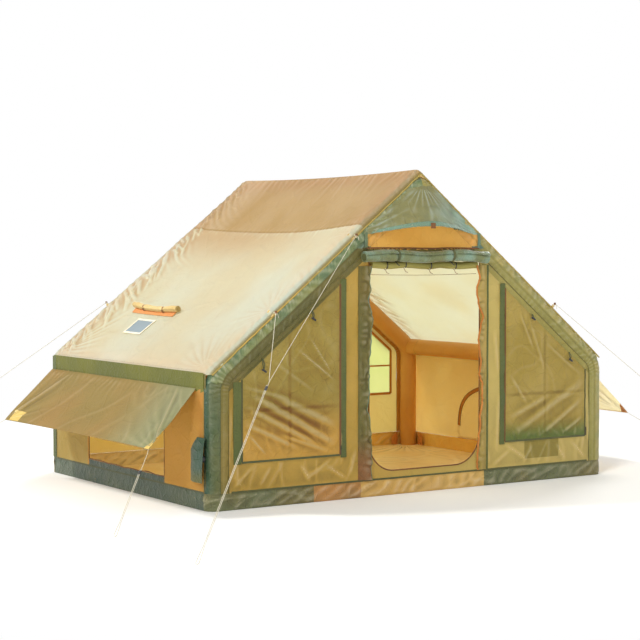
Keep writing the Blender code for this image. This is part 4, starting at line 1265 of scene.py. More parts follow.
# A lighter copy of the mud wall lining, as painted light at the left end of the rear wall
MUD_LINING_LIT = Cloth("mud_inner_tan", (255, 236, 184), (255, 226, 166), **INNER)
MUD_MID = Cloth("mud_khaki", (210, 166, 82), (220, 180, 98), **INNER, dust=0.3)
KHAKI = Cloth(
    "wall_khaki", (202, 176, 92), (190, 166, 82), through=0.5, rough=0.6, crumple=0.0018,
    crease=0.12, far=(208, 198, 128), span=(-0.6, 0.8), axis=0
)
KHAKI_IN = Cloth(
    "wall_lining", (255, 242, 212), (255, 238, 202), through=0.7, crumple=0.0012, crease=0.14,
    deep=0.2, pale=0.2
)
# The window covers' brown valley colours paint shade in their folds
FLAP = Cloth(
    "window_cover_khaki", (186, 168, 90), (176, 156, 76), **WINDOW, deep=0.9, pale=0.5,
    valley=(140, 92, 36), far=(222, 182, 90), span=(0.66, 0.36)
)
FLAP_SUN = Cloth(
    "window_cover_sunlit", (198, 178, 98), (186, 166, 84), **WINDOW, deep=0.8, pale=0.5,
    valley=(136, 112, 50), far=(116, 138, 72), span=(0.42, 0.28)
)
# A near-white copy of the wall lining, as painted light inside the right wall and its door
LINING_LIT = Cloth(
    "wall_inner_pale", (255, 255, 250), (255, 252, 240), through=0.8, crumple=0.0012, crease=0.14,
    deep=0.2, pale=0.2
)
WALL_REAR = Cloth(
    "wall_khaki_shade", (206, 188, 116), (190, 168, 92), through=0.4, crumple=0.0020, crease=0.12,
    blotch=0.4
)
SIDE = Cloth(
    "side_gold", (226, 188, 104), (218, 178, 94), through=0.65, crumple=0.0018, crease=0.12
)
ORANGE = Cloth(
    "vent_orange", (252, 212, 118), (244, 200, 102), through=0.5, crumple=0.0015, crease=0.08
)
# The bluish base and the paler blue-green ramp toward the right are painted sheen over the visor's olive-grey cloth
VISOR = Cloth(
    "visor_green", (176, 202, 180), (168, 164, 108), through=0.45, rough=0.32, sheen=0.3,
    crumple=0.0024, crease=0.10, blotch=0.45, pale=0.8, deep=0.5, far=(168, 204, 186),
    span=(0.05, 0.45), axis=0
)
HEM = Cloth(
    "hem_teal", (132, 166, 146), (116, 148, 122), through=0.1, rough=0.3, sheen=0.3, crumple=0.0018,
    crease=0.04, pale=0.9
)
ROLL = Cloth(
    "door_roll_teal", (130, 160, 138), (112, 120, 70), through=0.1, rough=0.3, sheen=0.3,
    crumple=0.0020, crease=0.05, blotch=0.14, pale=1.0
)
# The awning's grey-green ramp toward its front tip is a painted sheen
AWNING = Cloth(
    "awning_olive", (186, 150, 70), (172, 148, 72), through=0.5, rough=0.5, crumple=0.0018,
    crease=0.14, blotch=0.6, far=(170, 170, 122), span=(-0.2, -0.9), axis=0
)
# A paler copy of the awning cloth, as painted light for the right awning, which the light shines through
AWNING_SUN = Cloth(
    "awning_cream", (255, 250, 226), (252, 246, 214), through=0.6, crumple=0.0018, crease=0.14
)
TEAL = Cloth(
    "roll_teal", (100, 132, 110), (104, 110, 56), through=0.1, rough=0.35, sheen=0.2,
    crumple=0.0018, crease=0.04, blotch=0.14, pale=0.9
)
OLIVE = Cloth("net_olive", (178, 168, 86), (150, 142, 66), through=0.2, crumple=0.0010, crease=0.03)
NET = Cloth(
    "window_net", (226, 232, 160), (216, 226, 146), through=0.7, rough=0.8, crumple=0.0, clear=0.25
)
FLOOR = Cloth(
    "floor_khaki", (255, 226, 176), (250, 216, 158), through=0.0, rough=0.4, crumple=0.0026,
    crease=0.2
)
JACK = Cloth(
    "stove_panel", (122, 140, 148), (112, 128, 134), through=0.0, rough=0.35, crumple=0.0003
)
RUST = Cloth(
    "apron_rust", (214, 140, 66), (200, 122, 50), through=0.0, rough=0.6, crumple=0.0014,
    crease=0.05
)
GOLD = Cloth(
    "roll_gold", (214, 186, 116), (196, 164, 92), through=0.0, rough=0.5, crumple=0.0014,
    crease=0.04
)
STRIP = Cloth(
    "strip_khaki", (206, 184, 104), (188, 170, 90), through=0.4, blotch=0.2, crumple=0.0018,
    crease=0.04
)
# A darker khaki for a rectangle on the wall under the right window
KHAKI_DARKER = Cloth(
    "wall_khaki_damp", (170, 158, 86), (160, 150, 78), through=0.4, crumple=0.0018, crease=0.12
)
MUD_WARM = Cloth(
    "mud_rust", (196, 138, 66), (150, 116, 60), through=0.1, crumple=0.0024, crease=0.07, dust=0.3
)
BINDING = Cloth("binding_dark", (66, 74, 34), (84, 86, 42), **TRIM)
BROWN = Cloth("binding_brown", (134, 82, 34), (116, 72, 28), **TRIM)
TAPE = Cloth(
    "tape_orange", (214, 140, 62), (200, 126, 50), through=0.2, rough=0.6, crumple=0.0006,
    crease=0.03
)
PIPING = Cloth(
    "piping_gold", (190, 156, 66), (164, 142, 62), through=0.0, rough=0.5, crumple=0.0003,
    crease=0.03
)
CREAM = Cloth("tape_cream", (238, 230, 204), (224, 216, 186), **TRIM)
PATCH = Cloth(
    "tip_gold", (250, 222, 132), (240, 206, 108), through=0.3, crumple=0.0010, crease=0.04
)
THREAD = Hard("thread_khaki", (150, 132, 84), rough=0.8)
BLACK = Hard("black_plastic", (26, 26, 28), rough=0.42)
FILM = Hard("air_film", (206, 206, 196), rough=0.25, coat=0.3)
ZIP = Hard("zip_metal_dark", (96, 88, 72), rough=0.35, metal=0.9)
CORD = Twist("guy_rope", (232, 226, 206), (176, 166, 138))


def settle(
    made: Object,
    slot: str,
    nodes: Sequence[str] = (),
    body: str = "tent",
    pull: tuple[Array, Array] | None = None,
) -> Object:
    """Give a piece its body, its slot and the solids that it stands for.

    Args:
        made: The piece.
        slot: The record's material slot.
        nodes: The solids that it stands for.
        body: The body that it moves with.
        pull: For a piece that the body pulls, where it leaves the tent's motion and where it has
            the body's.

    Returns:
        The same piece.
    """
    if pull is None:
        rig.ride(made, body)
    else:
        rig.blend(
            made, "tent", body, start=tuple(map(float, pull[0])), end=tuple(map(float, pull[1]))
        )
    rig.slot(made, slot)
    if nodes:
        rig.replaces(made, *nodes)
    log.info("%s: %d faces", made.name, len(made.data.polygons))
    return made


def recolour(
    made: Object, slot: int, where: Callable[[Array, Array], Array], layer: int = 0
) -> None:
    """Give part of a sheet its own finish.

    Args:
        made: The sheet.
        slot: The finish's place among its materials.
        where: From places on the cut and in the tent, whether each face takes it.
        layer: The finish that it takes the place of: 0 outside, 1 inside.
    """
    mesh = made.data
    count = len(mesh.polygons)
    centre, index, start = np.empty(count * 3), np.empty(count, np.int32), np.empty(count, np.int32)
    mesh.polygons.foreach_get("center", centre)
    mesh.polygons.foreach_get("material_index", index)
    mesh.polygons.foreach_get("loop_start", start)
    uv = np.empty(len(mesh.loops) * 2)
    mesh.uv_layers[0].data.foreach_get("uv", uv)
    uv = uv.reshape(-1, 2)
    index[(index == layer) & where((uv[start] + uv[start + 2]).T / 2, centre.reshape(-1, 3).T)] = (
        slot
    )
    mesh.polygons.foreach_set("material_index", index)


def declare(
    made: Object, patch: Patch, held: str, rests_on: Sequence[str], area: float | None = None
) -> Object:
    """State a sheet's flat size, as it was cut."""
    width, length, whole = patch.cut()
    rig.sheet(
        made, flat=(width, length), held=held, rests_on=list(rests_on),
        area=min(area or whole, width * length)
    )
    return made


# Rows of stitches


def stitch_tree() -> bpy.types.NodeTree:
    """A tree that sets one stitch after another along curves."""
    found = bpy.data.node_groups.get("stitches")
    if found:
        return found
    tree = bpy.data.node_groups.new("stitches", "GeometryNodeTree")
    wires = Wires(tree)
    tree.interface.new_socket("Seams", in_out="INPUT", socket_type="NodeSocketGeometry")
    for key in ("Spacing", "Length", "Thread"):
        tree.interface.new_socket(key, in_out="INPUT", socket_type="NodeSocketFloat")
    tree.interface.new_socket("Finish", in_out="INPUT", socket_type="NodeSocketMaterial")
    tree.interface.new_socket("Stitches", in_out="OUTPUT", socket_type="NodeSocketGeometry")
    start = wires.add("NodeGroupInput")
    spots = wires.add(
        "GeometryNodeCurveToPoints", {
            "Curve": start.outputs["Seams"], "Length": start.outputs["Spacing"]
        }, mode="LENGTH"
    )
    turn = wires.add(
        "FunctionNodeAlignRotationToVector", {"Vector": spots.outputs["Tangent"]}, axis="X"
    )
    size = wires.add(
        "ShaderNodeCombineXYZ", {
            0: start.outputs["Length"], 1: start.outputs["Thread"], 2: start.outputs["Thread"]
        }
    )
    bead = wires.add("GeometryNodeMeshUVSphere", {"Segments": 6, "Rings": 4, "Radius": 0.5})
    placed = wires.add(
        "GeometryNodeInstanceOnPoints",
        {
            "Points": spots.outputs["Points"],
            "Instance": bead.outputs["Mesh"],
            "Rotation": turn.outputs[0],
            "Scale": size.outputs[0],
        },
    )
    real = wires.add("GeometryNodeRealizeInstances", {0: placed.outputs[0]})
    dressed = wires.add(
        "GeometryNodeSetMaterial", {0: real.outputs[0], "Material": start.outputs["Finish"]}
    )
    wires.add("NodeGroupOutput", {0: dressed.outputs[0]})
    return tree


def stitches(
    name: str,
    seams: Sequence[Array],
    slot: str,
    spacing: float = 0.014,
    length: float = 0.009,
    thread: float = 0.0012,
    finish: Finish = THREAD,
) -> Object:
    """Rows of stitches, or of zip teeth, along seams.

    Args:
        name: The piece's name.
        seams: The points of each seam.
        slot: The record's slot for them.
        spacing: From stitch to stitch.
        length: Length of a stitch.
        thread: Its thickness.
        finish: Its finish.

    Returns:
        The stitches as one mesh.
    """
    curve = bpy.data.curves.new(name, "CURVE")
    curve.dimensions = "3D"
    for seam in seams:
        spline = curve.splines.new("POLY")
        spline.points.add(len(seam) - 1)
        spline.points.foreach_set(
            "co", np.pad(np.asarray(seam, float), ((0, 0), (0, 1)), constant_values=1.0).ravel()
        )
    path = bpy.data.objects.new(name + "_seams", curve)
    bpy.context.scene.collection.objects.link(path)
    tree = stitch_tree()
    modifier = path.modifiers.new("stitches", "NODES")
    modifier.node_group = tree
    values = {"Spacing": spacing, "Length": length, "Thread": thread, "Finish": finish.material()}
    for item in tree.interface.items_tree:
        if item.in_out == "INPUT" and item.name in values:
            modifier[item.identifier] = values[item.name]
    mesh = bpy.data.meshes.new_from_object(
        path.evaluated_get(bpy.context.evaluated_depsgraph_get())
    )
    mesh.name = name
    made = bpy.data.objects.new(name, mesh)
    bpy.context.scene.collection.objects.link(made)
    bpy.data.objects.remove(path)
    return settle(made, slot)


# Air beams


@dataclass
class Arch:
    """One gable's arch: four inflated sleeves and the cover cloth sewn over them."""

    side: int
    word: str
    bends: tuple[float, float, float] = (0.075, 0.055, 0.075)
    seam: float = -0.012
    post_top: float = 0.74
    vent_half: float = 0.43

    def place(self, x: Array, fore: Array, z: Array) -> Array:
        """Points from places across the arch."""
        return vectors(x, self.side * (PLAN.arch_y + fore), z)

    def corners(self, foot: float) -> list[tuple[float, float]]:
        """The centreline's corners, left foot to right foot."""
        low = float(PLAN.roof(PLAN.post_x, PLAN.rafter_inset))
        top = float(PLAN.roof(0.0, PLAN.rafter_inset))
        x = PLAN.post_x
        return [(-x, foot), (-x, low), (0.0, top), (x, low), (x, foot)]

    def path(self, foot: float, step: float) -> tuple[Array, Array, Array]:
        """The rounded centreline, its outward normals and the run along it."""
        path = rounded(self.corners(foot), self.bends, step)
        tangent = unit(np.gradient(path, axis=0))
        normal = vectors(-tangent[:, 1], tangent[:, 0])
        run = distances(path)
        return path, normal, run

    def build_sleeves(self) -> None:
        """Posts and rafters, welded in the bends where they meet and puckered at each weld."""
        path, normal, run = self.path(PLAN.cloth + PLAN.gap, 0.010)
        welds = (
            [0] + [int(np.argmin(np.hypot(*(path - c).T))) for c in self.corners(0.0)[1:-1]]
            + [len(path) - 1]
        )
        for k, name in enumerate(("post_left", "rafter_left", "rafter_right", "post_right")):
            rows = slice(welds[k], welds[k + 1] + 1)
            u, angle = np.meshgrid(run[rows] - run[welds[k]], ROUND, indexing="ij")
            radius = PLAN.sleeve + self.swell(u, angle, float(u.max()), k)
            flat = path[rows][:, None] + normal[rows][:, None] * (radius * np.cos(angle))[..., None]
            points = self.place(flat[..., 0], radius * np.sin(angle), flat[..., 1])
            cut = vectors(u, angle * PLAN.beam)
            made = capped(f"{self.word}_{name}_sleeve", points, cut, SLEEVE, self.side > 0)
            settle(made, "beam_sleeve", [f"{self.word}_{name}"])
            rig.padded(made, fill=0.95)

    def build_bladder(self) -> None:
        """The air tube that runs through all four sleeves."""
        path = self.path(PLAN.cloth + PLAN.gap + 0.03, 0.03)[0]
        line = self.place(path[:, 0], np.zeros(len(path)), path[:, 1])
        made = tube(f"{self.word}_arch_air_tube", line, PLAN.bladder, FILM, 24)
        settle(made, "air_bladder", [f"{self.word}_arch_bladder"])

    def swell(self, run: Array, angle: Array, length: float, seed: int) -> Array:
        """How an inflated sleeve leaves its round: puckers at both ends and a soft uneven skin."""
        around = angle * PLAN.beam
        end = np.minimum(run, length - run)
        fold = puckers(around, end, 0.022, -0.0022, 0.09, 11 + seed)
        return (
            fold + 0.0006 * noise(run / 0.09, np.cos(angle) * 2 + np.sin(angle) * 3, 5 + seed)
            - 0.0008
        )

    def build_cover(self) -> None:
        """The cover: a flat band on the gable, a seam, and a round that follows the beam."""
        path, normal, run = self.path(PLAN.mud_wall + PLAN.gap, 0.009)
        radius = PLAN.inset - PLAN.cloth / 2
        quarter = radius * pi / 2
        profile = np.concatenate(
            [np.linspace(-PLAN.band_edge, 0.0, 9)[:-1], np.linspace(0.0, quarter, 15)]
        )
        u, v = np.meshgrid(run, profile)
        turn = np.clip(v, 0, None) / radius
        out = np.where(v < 0, v, radius * np.sin(turn))
        fore = np.where(v < 0, radius, radius * np.cos(turn))
        centre = path[None] + normal[None] * out[..., None]
        patch = Patch(self.place(centre[..., 0], fore, centre[..., 1]), vectors(u, v)).facing_out()
        patch = patch.pushed(self.cover_folds(*patch.uv, run[-1], quarter))
        inner = BAND if self.side == FRONT else SLEEVE
        finishes = [COVER, inner, BAND, ORANGE, COVER_SUN, BAND_SUN, POST, POST_GOLD, TEAL]
        made = patch.sheet(f"{self.word}_arch_cover_cloth", finishes, 0.0018)
        if self.side == FRONT:
            recolour(
                made, 8, lambda cut, at: (at[2] > PLAN.vent_seam - 0.001) & (cut[1] < self.seam)
            )
        # The right half takes the lighter copies of the cover and its band, as painted sunlight
        recolour(made, 5, lambda cut, at: (at[0] > 0.0) & (cut[1] < self.seam))
        recolour(made, 4, lambda cut, at: at[0] > 0.0)
        recolour(made, 7, lambda cut, at: (at[2] < self.post_top - 0.02) & (cut[1] < self.seam))
        recolour(made, 6, lambda cut, at: (at[2] < self.post_top) & (cut[1] >= self.seam))
        recolour(made, 2, lambda cut, at: cut[1] < self.seam)
        if self.side == FRONT:
            self.show_vent(made)
        settle(made, "green_cloth", [f"{self.word}_arch_cover"])
        declare(made, patch, "stretched", [f"{self.word}_rafter_left_sleeve"])
        self.build_trim(path, normal, radius)

    def show_vent(self, made: Object) -> None:
        """The vent's orange cloth runs out over the beams, between its seam and the visor."""
        mesh = made.data
        for face in mesh.polygons:
            x, y, z = face.center
            hem = 1.603 + 0.048 * cos(min(1.0, abs(x) / self.vent_half) * pi / 2)
            inside = -self.vent_half < x < self.vent_half + 0.01 and y < -PLAN.arch_y - 0.036
            if inside and PLAN.vent_seam + 0.011 < z < hem:
                face.material_index = 3

    def cover_folds(self, u: Array, v: Array, length: float, quarter: float) -> Array:
        """Puff over the beam, small folds along the roof's edge, and folds at the two shoulders."""
        puff = 0.004 * limit(1 - ((v - 0.02) / 0.07) ** 2) - 0.003 * bell(v, -0.012, 0.006)
        lid = 0.058
        low = self.corners(PLAN.mud_wall)[1][1] - PLAN.mud_wall
        sloped = 0.22 + 0.78 * limit((np.minimum(u, length - u) - low + 0.04) / 0.06)
        comb = puckers(u, lid - v, 0.026, 0.0060, 0.050, 21, lean=0.8)
        comb += puckers(u, lid - v, 0.065, 0.0060, 0.10, 24, lean=-0.5)
        comb *= limit((lid - v) / 0.006)
        comb += rays(u, v, (low - 0.02, lid), 180, 40, 5, 0.004, 0.5, 26) * (u < low)
        comb += puckers(u, v + PLAN.band_edge, 0.05, 0.0050, 0.06, 22, lean=-0.5)
        shoulders = 0.0
        for middle in (low, length - low):
            near = bell(u, middle, 0.09)
            shoulders = (
                shoulders
                + near * 0.006 * ridge((u - middle) / 0.026 + 0.5 * noise(u / 0.1, v / 0.05, 5))
            )
        soft = rumple(u, v, 0.16, 0.0016, 31)
        edge = between(v, -PLAN.band_edge, quarter, 0.006)
        rise = (comb * sloped * 0.8 + shoulders * 0.6 + soft) * edge
        return puff + np.where(v > lid, np.minimum(rise, 0.0), rise) - 0.001

    def build_trim(self, path: Array, normal: Array, radius: float) -> None:
        """The stitched seam between the band and the round, and the binding on the inner edge."""
        tape = path + normal * self.seam
        line = self.place(tape[:, 0], np.full(len(tape), radius + 0.0012), tape[:, 1])
        stitches(f"{self.word}_cover_stitches", [line], "green_cloth")
        edge = path - normal * (PLAN.band_edge - 0.003)
        line = self.place(edge[:, 0], np.full(len(edge), radius + 0.0022), edge[:, 1])
        runs = (
            [line] if self.side == REAR
            else [line[(line[:, 2] < 1.5) & (line[:, 0] * hand > 0)] for hand in (LEFT, RIGHT)]
        )
        parts = [tube("binding", run, 0.0022, BAND, 6) for run in runs]
        settle(joined(f"{self.word}_cover_binding", parts), "green_cloth")


@dataclass
class LongBeams:
    """The ridge and eave beams, saddled on both arches."""

    cuff: float = 0.11

    def build(self) -> None:
        """Make the three beams."""
        sag = Roof().sag(np.array(PLAN.slope_length - PLAN.beam), np.array(0.0))
        ridge_z = float(PLAN.roof(0.0, PLAN.cloth + PLAN.gap + PLAN.beam) - sag)
        low = float(PLAN.roof(PLAN.post_x, PLAN.rafter_inset))
        for name, x, z in (
            ("ridge", 0.0, ridge_z), ("eave_left", -PLAN.post_x, low),
            ("eave_right", PLAN.post_x, low)
        ):
            self.beam(name, x, z)

    def beam(self, name: str, x: float, z: float) -> None:
        """One beam: its ends follow the arches' rounds, with a sewn cuff at each."""
        angles, radius = ROUND, PLAN.sleeve
        arch = Arch(FRONT, "front").corners(0.0)
        px, pz = x + radius * np.cos(angles), z + radius * np.sin(angles)
        away = np.full(len(angles), 9.0)
        for (ax, az), (bx, bz) in zip(arch, arch[1:]):
            dx, dz = bx - ax, bz - az
            share = limit(((px - ax) * dx + (pz - az) * dz) / (dx * dx + dz * dz))
            away = np.minimum(away, np.hypot(px - ax - share * dx, pz - az - share * dz))
        reach = PLAN.arch_y - np.sqrt(np.maximum(0.0, (PLAN.beam + 0.0006) ** 2 - away**2))
        t = np.sort(np.concatenate([np.linspace(-1, 1, 120), [-0.93, -0.925, 0.925, 0.93]]))
        y = t[:, None] * reach[None]
        end = reach[None] - np.abs(y)
        around = np.broadcast_to(angles * PLAN.beam, y.shape)
        swell = puckers(around, end, 0.022, -0.0020, 0.08, 41) - 0.0006
        swell += 0.0005 * noise(y / 0.1, np.cos(angles) * 2 + 3 * np.sin(angles), 8)
        swell -= 0.0015 * (end > self.cuff)
        points = vectors(
            x + (radius + swell) * np.cos(angles), y, z + (radius + swell) * np.sin(angles)
        )
        ends = [[x, -PLAN.arch_y + 0.10, z], [x, PLAN.arch_y - 0.10, z]]
        film = tube(f"{name}_air_tube", resample(np.array(ends), 0.1), PLAN.bladder, FILM, 24)
        settle(film, "air_bladder", [f"{name}_bladder"])
        made = capped(f"{name}_beam_sleeve", points, vectors(y, around), SLEEVE, True)
        settle(made, "beam_sleeve", [f"{name}_beam"])
        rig.padded(made, fill=0.95)
        rings = []
        for end_ in (-1, 1):
            spots = vectors(
                x + (radius + 0.0006) * np.cos(angles), end_ * (reach - self.cuff),
                z + (radius + 0.0006) * np.sin(angles)
            )
            rings.append(np.concatenate([spots, spots[:1]]))
        stitches(f"{name}_beam_stitches", rings, "beam_sleeve", 0.010, 0.007)


# Floor and mud walls


@dataclass
class Floor:
    """The sewn-in groundsheet and its turned-up edge."""

    radius: float = PLAN.inset - PLAN.cloth - PLAN.gap
    pulls: tuple[tuple[float, ...], ...] = (
        (1.38, 0.95, -140, 150, 14, 0.010, 0.9, 63),
        (-1.38, -0.95, 40, 90, 7, 0.006, 0.8, 64),
    )

    def build(self) -> None:
        """Make the groundsheet and the four mud walls."""
        self.build_sheet()
        self.build_pockets()
        for side, word in ENDS:
            self.build_gable_wall(side, word)
        for side, word in HANDS:
            self.build_side_wall(side, word)

    def build_sheet(self) -> None:
        """The groundsheet, with the soft creases of a packed floor."""
        half_x, half_y = (
            PLAN.width / 2 - PLAN.cloth - PLAN.gap, PLAN.depth / 2 - PLAN.cloth - PLAN.gap
        )

        def place(u: Array, v: Array) -> Array:
            """A place on the groundsheet, drawn in where it turns up at the gables."""
            near = limit((np.abs(v) - (half_y - self.radius)) / self.radius)
            pull = self.radius * (1 - np.sqrt(1 - near**2))
            x = u * (half_x - pull) / half_x
            calm = between(x, -half_x, half_x, 0.05) * between(v, -half_y, half_y, 0.05)
            lift = rumple(u, v, 0.4, 0.0012, 61) + crisp(u, v, 0.35, 0.003, 62)
            lift += fans(u, v, self.pulls)
            return vectors(x, v, 0.0021 + np.clip(lift, 0, None) * calm)

        patch = Patch.over(
            np.linspace(-half_x, half_x, 230), np.linspace(-half_y, half_y, 170), place
        )
        patch.relief = standing(patch.points[..., 2], 14, 0.0025)
        made = patch.sheet("groundsheet_cloth", [FLOOR, MUD], 0.0014)
        settle(made, "floor_cloth", ["groundsheet"])
        declare(made, patch, "laid", ["ground"])

    def build_pockets(self) -> None:
        """The orange pockets that hold each post's foot."""
        parts = []
        t = np.linspace(0, 1, 9)
        p, q = np.meshgrid(t, t)
        out, up = 0.072 + 0.055 * p, 0.040 - 0.008 * np.sin(pi * p) * q
        z = 0.006 + (0.098 - 0.035 * p) * q
        for hand in (LEFT, RIGHT):
            for side in (FRONT, REAR):
                for dx, dy in ((-out, up), (up, -out)):
                    points = vectors(hand * (PLAN.post_x + dx), side * (PLAN.arch_y + dy), z)
                    parts.append(Patch(points, vectors(p * 0.06, q * 0.1)).sheet("pocket", [RUST]))
        settle(joined("post_pockets", parts), "mud_cloth")

    def build_gable_wall(self, side: int, word: str) -> None:
        """A mud wall that runs along a gable and wraps both corners."""
        x, y, r = PLAN.post_x, PLAN.arch_y, PLAN.inset - PLAN.cloth / 2
        bend = [(x + r * cos(a), y + r * sin(a)) for a in np.linspace(0, pi / 2, 12)]
        run = resample(np.array(bend + [(-u, v) for u, v in reversed(bend)]), 0.011)
        length = distances(run)
        z = np.linspace(0.0006, PLAN.mud_wall - 0.0006, 11)
        u, v = np.meshgrid(length, z)
        points = vectors(run[:, 0], side * np.broadcast_to(run[:, 1], u.shape), v)
        patch = Patch(points, vectors(u, v)).facing_out()
        u, v = patch.uv
        calm = between(v, 0.0, PLAN.mud_wall, 0.02)
        height = (
            rumple(u, v, 0.14, 0.0022, 71 + side) + crisp(u * 0.6 + v, v, 0.12, 0.004, 73 + side)
        )
        height += 0.004 * ridge((u + 0.9 * v) / 0.11 + 0.6 * noise(u / 0.2, v / 0.1, 75))
        patch = patch.pushed(height * calm)
        made = patch.sheet(
            f"mud_wall_{word}_cloth", [MUD, MUD_IN, MUD_MID, MUD_WARM, MUD_LINING_LIT], 0.0018
        )
        # The left end of the rear wall's lining takes the lighter copy, as painted light
        if side == REAR:
            recolour(made, 4, lambda cut, at: at[0] < -0.45, 1)
        if side == FRONT:
            recolour(made, 2, lambda cut, at: (at[0] > -0.46) & (at[0] < 0.50))
            recolour(made, 3, lambda cut, at: (at[0] > -0.80) & (at[0] < -0.46))
        settle(made, "mud_cloth", [f"mud_wall_{word}"])
        declare(made, patch, "stretched", ["groundsheet_cloth"])

    def build_side_wall(self, side: int, word: str) -> None:
        """A straight mud wall under a side wall."""
        reach = PLAN.arch_y - PLAN.gap

        def place(u: Array, v: Array) -> Array:
            """A place on the wall, pushed by its creases."""
            calm = between(v, 0.0, PLAN.mud_wall, 0.02)
            push = (rumple(u, v, 0.14, 0.002, 81 + side) + crisp(u, v, 0.12, 0.003, 83)) * calm
            x = side * (PLAN.width / 2 - PLAN.cloth / 2 + push)
            return vectors(x, u, v)

        along = np.linspace(-reach, reach, 180)
        patch = Patch.over(
            along, np.linspace(0.0006, PLAN.mud_wall - 0.0006, 11), place
        ).facing_out()
        made = patch.sheet(
            f"mud_wall_{word}_cloth", [MUD_SIDE if side == LEFT else MUD, MUD_IN], 0.0018
        )
        settle(made, "mud_cloth", [f"mud_wall_{word}"])
        declare(made, patch, "stretched", ["groundsheet_cloth"])


# Roof


@dataclass
class Roof:
    """Two roof sheets with their seams, piping and stove jack."""

    sag_depth: float = 0.045
    sag_edge: float = 0.030
    sag_spread: float = 1.12
    seam_up: float = 1.385
    jack: tuple[float, float, float, float] = (0.288, 0.443, 0.205, 0.445)
    roll_up: float = 0.545
    roll: tuple[float, float] = (0.04, 0.64)
    roll_seat: float = 0.0009
    edge: float = PLAN.arch_y + 0.054
    wrap_reach: float = 0.060
    eave_reach: float = 0.072
    eave_radius: float = 0.1495
    pulls: tuple[tuple[float, ...], ...] = (
        (-0.98, 0.03, 35, 80, 8, 0.007, 0.6, 6),
        (-1.05, 0.55, 20, 110, 9, 0.006, 0.45, 9),
        (-1.07, 1.30, 0, 150, 15, 0.0055, 0.30, 11),
        (-1.07, 0.08, 40, 80, 9, 0.004, 0.30, 12),
    )

    def sag(self, s: Array, y: Array) -> Array:
        """How far the roof hangs below its straight slope, s along it from the eave."""
        past = np.clip(np.abs(y) - PLAN.arch_y, 0.0, self.wrap_reach)
        wrap = PLAN.rafter_inset - np.sqrt(PLAN.rafter_inset**2 - past**2)
        turn = np.clip(self.eave_reach - s, 0.0, self.eave_reach)
        drop = self.eave_radius - np.sqrt(self.eave_radius**2 - turn**2)
        wrap = wrap + drop * limit((np.abs(y) - 0.93) / 0.09)
        along = np.maximum(0.0, (s - self.sag_edge) / (PLAN.slope_length - self.sag_edge))
        across = np.maximum(0.0, 1 - (y / (PLAN.arch_y - self.sag_edge)) ** 2)
        return wrap + self.sag_depth * across * np.sin(pi * along / self.sag_spread)

    def point(self, side: int, s: Array, y: Array, lift: Array | float = 0.0) -> Array:
        """Places on a roof sheet, lifted from its outer face."""
        s = s + 0.040 * limit((np.abs(y) - 1.0) / 0.08) ** 2 * limit(1 - s / 0.16)
        x = PLAN.width / 2 - s * cos(PLAN.slope) + lift * sin(PLAN.slope)
        z = PLAN.eave + s * sin(PLAN.slope) - self.sag(s, y) + lift * cos(PLAN.slope)
        return vectors(side * x, y, z)

    def folds(self, side: int, s: Array, y: Array) -> Array:
        """Folds that gather along the arches and the ridge, and creases over the sheet."""
        rear, front = self.edge - y, self.edge + y
        seed = 101 + 10 * side
        height = puckers(s, rear - 0.03, 0.060, 0.009, 0.26, seed, lean=0.6)
        height += puckers(s, rear, 0.030, 0.006, 0.12, seed + 3, lean=0.4)
        height += creases(y, s, self.wrinkles(seed))
        height += puckers(s, front, 0.055, 0.005, 0.12, seed + 1, lean=-0.5)
        height += puckers(s, front, 0.024, 0.004, 0.06, seed + 8, lean=-0.3)
        top = PLAN.slope_length - s
        height += puckers(y, top, 0.07, 0.007, 0.16, seed + 2, lean=0.25)
        height += puckers(y, np.abs(s - self.seam_up), 0.05, 0.0030, 0.07, seed + 4)
        depth = 0.012 if side == LEFT else 0.002
        height += rays(y, s, (0.98, 0.03), 150, 70, 7, depth, 0.85, seed + 5)
        height += fans(y, s, self.pulls, seed)
        height += rumple(y, s, 0.5, 0.004, seed + 7)
        height -= 0.003 * bell(s, self.seam_up, 0.008)
        if side == LEFT:
            low, _, fore, aft = self.jack
            near = limit(1 - np.maximum(np.maximum(low - s, s - self.roll_up - 0.03), 0) / 0.05)
            near *= limit(1 - np.maximum(np.maximum(fore - 0.165 - y, y - aft - 0.195), 0) / 0.05)
            height *= 1 - near
        calm = limit(s / 0.05) * limit((self.edge - np.abs(y)) / 0.045 + 0.12) * limit(top / 0.02)
        return height * calm

    def wrinkles(self, seed: int) -> Array:
        """Short sharp folds that start near the rear edge, each with its own length and lean."""
        pick = np.random.default_rng(seed)
        count = 58
        s = np.linspace(0.10, 1.86, count) + pick.uniform(-0.02, 0.02, count)
        long = pick.uniform(0.05, 0.24, count) * (0.6 + 0.5 * np.sin(pi * limit(s / 1.7)))
        lean = pick.uniform(0.3, 1.5, count)
        start = self.edge - pick.uniform(0.055, 0.11, count)
        wide, tall = pick.uniform(0.006, 0.012, count), pick.uniform(0.005, 0.013, count)
        return vectors(start, s, start - long, s - long * lean, wide, tall)

    def build(self) -> None:
        """Make both sheets and what is on them."""
        last = PLAN.slope_length - PLAN.gap / 2 / cos(PLAN.slope) - 0.001
        for side, word in HANDS:
            s, y = np.linspace(0.002, last, 190), np.linspace(-self.edge, self.edge, 210)
            patch = Patch.over(
                y, s, lambda v, u: self.point(side, u, v, -PLAN.cloth / 2)
            ).facing_out()
            patch = patch.pushed(self.folds(side, patch.flat[..., 1], patch.flat[..., 0]))
            v, u = patch.uv
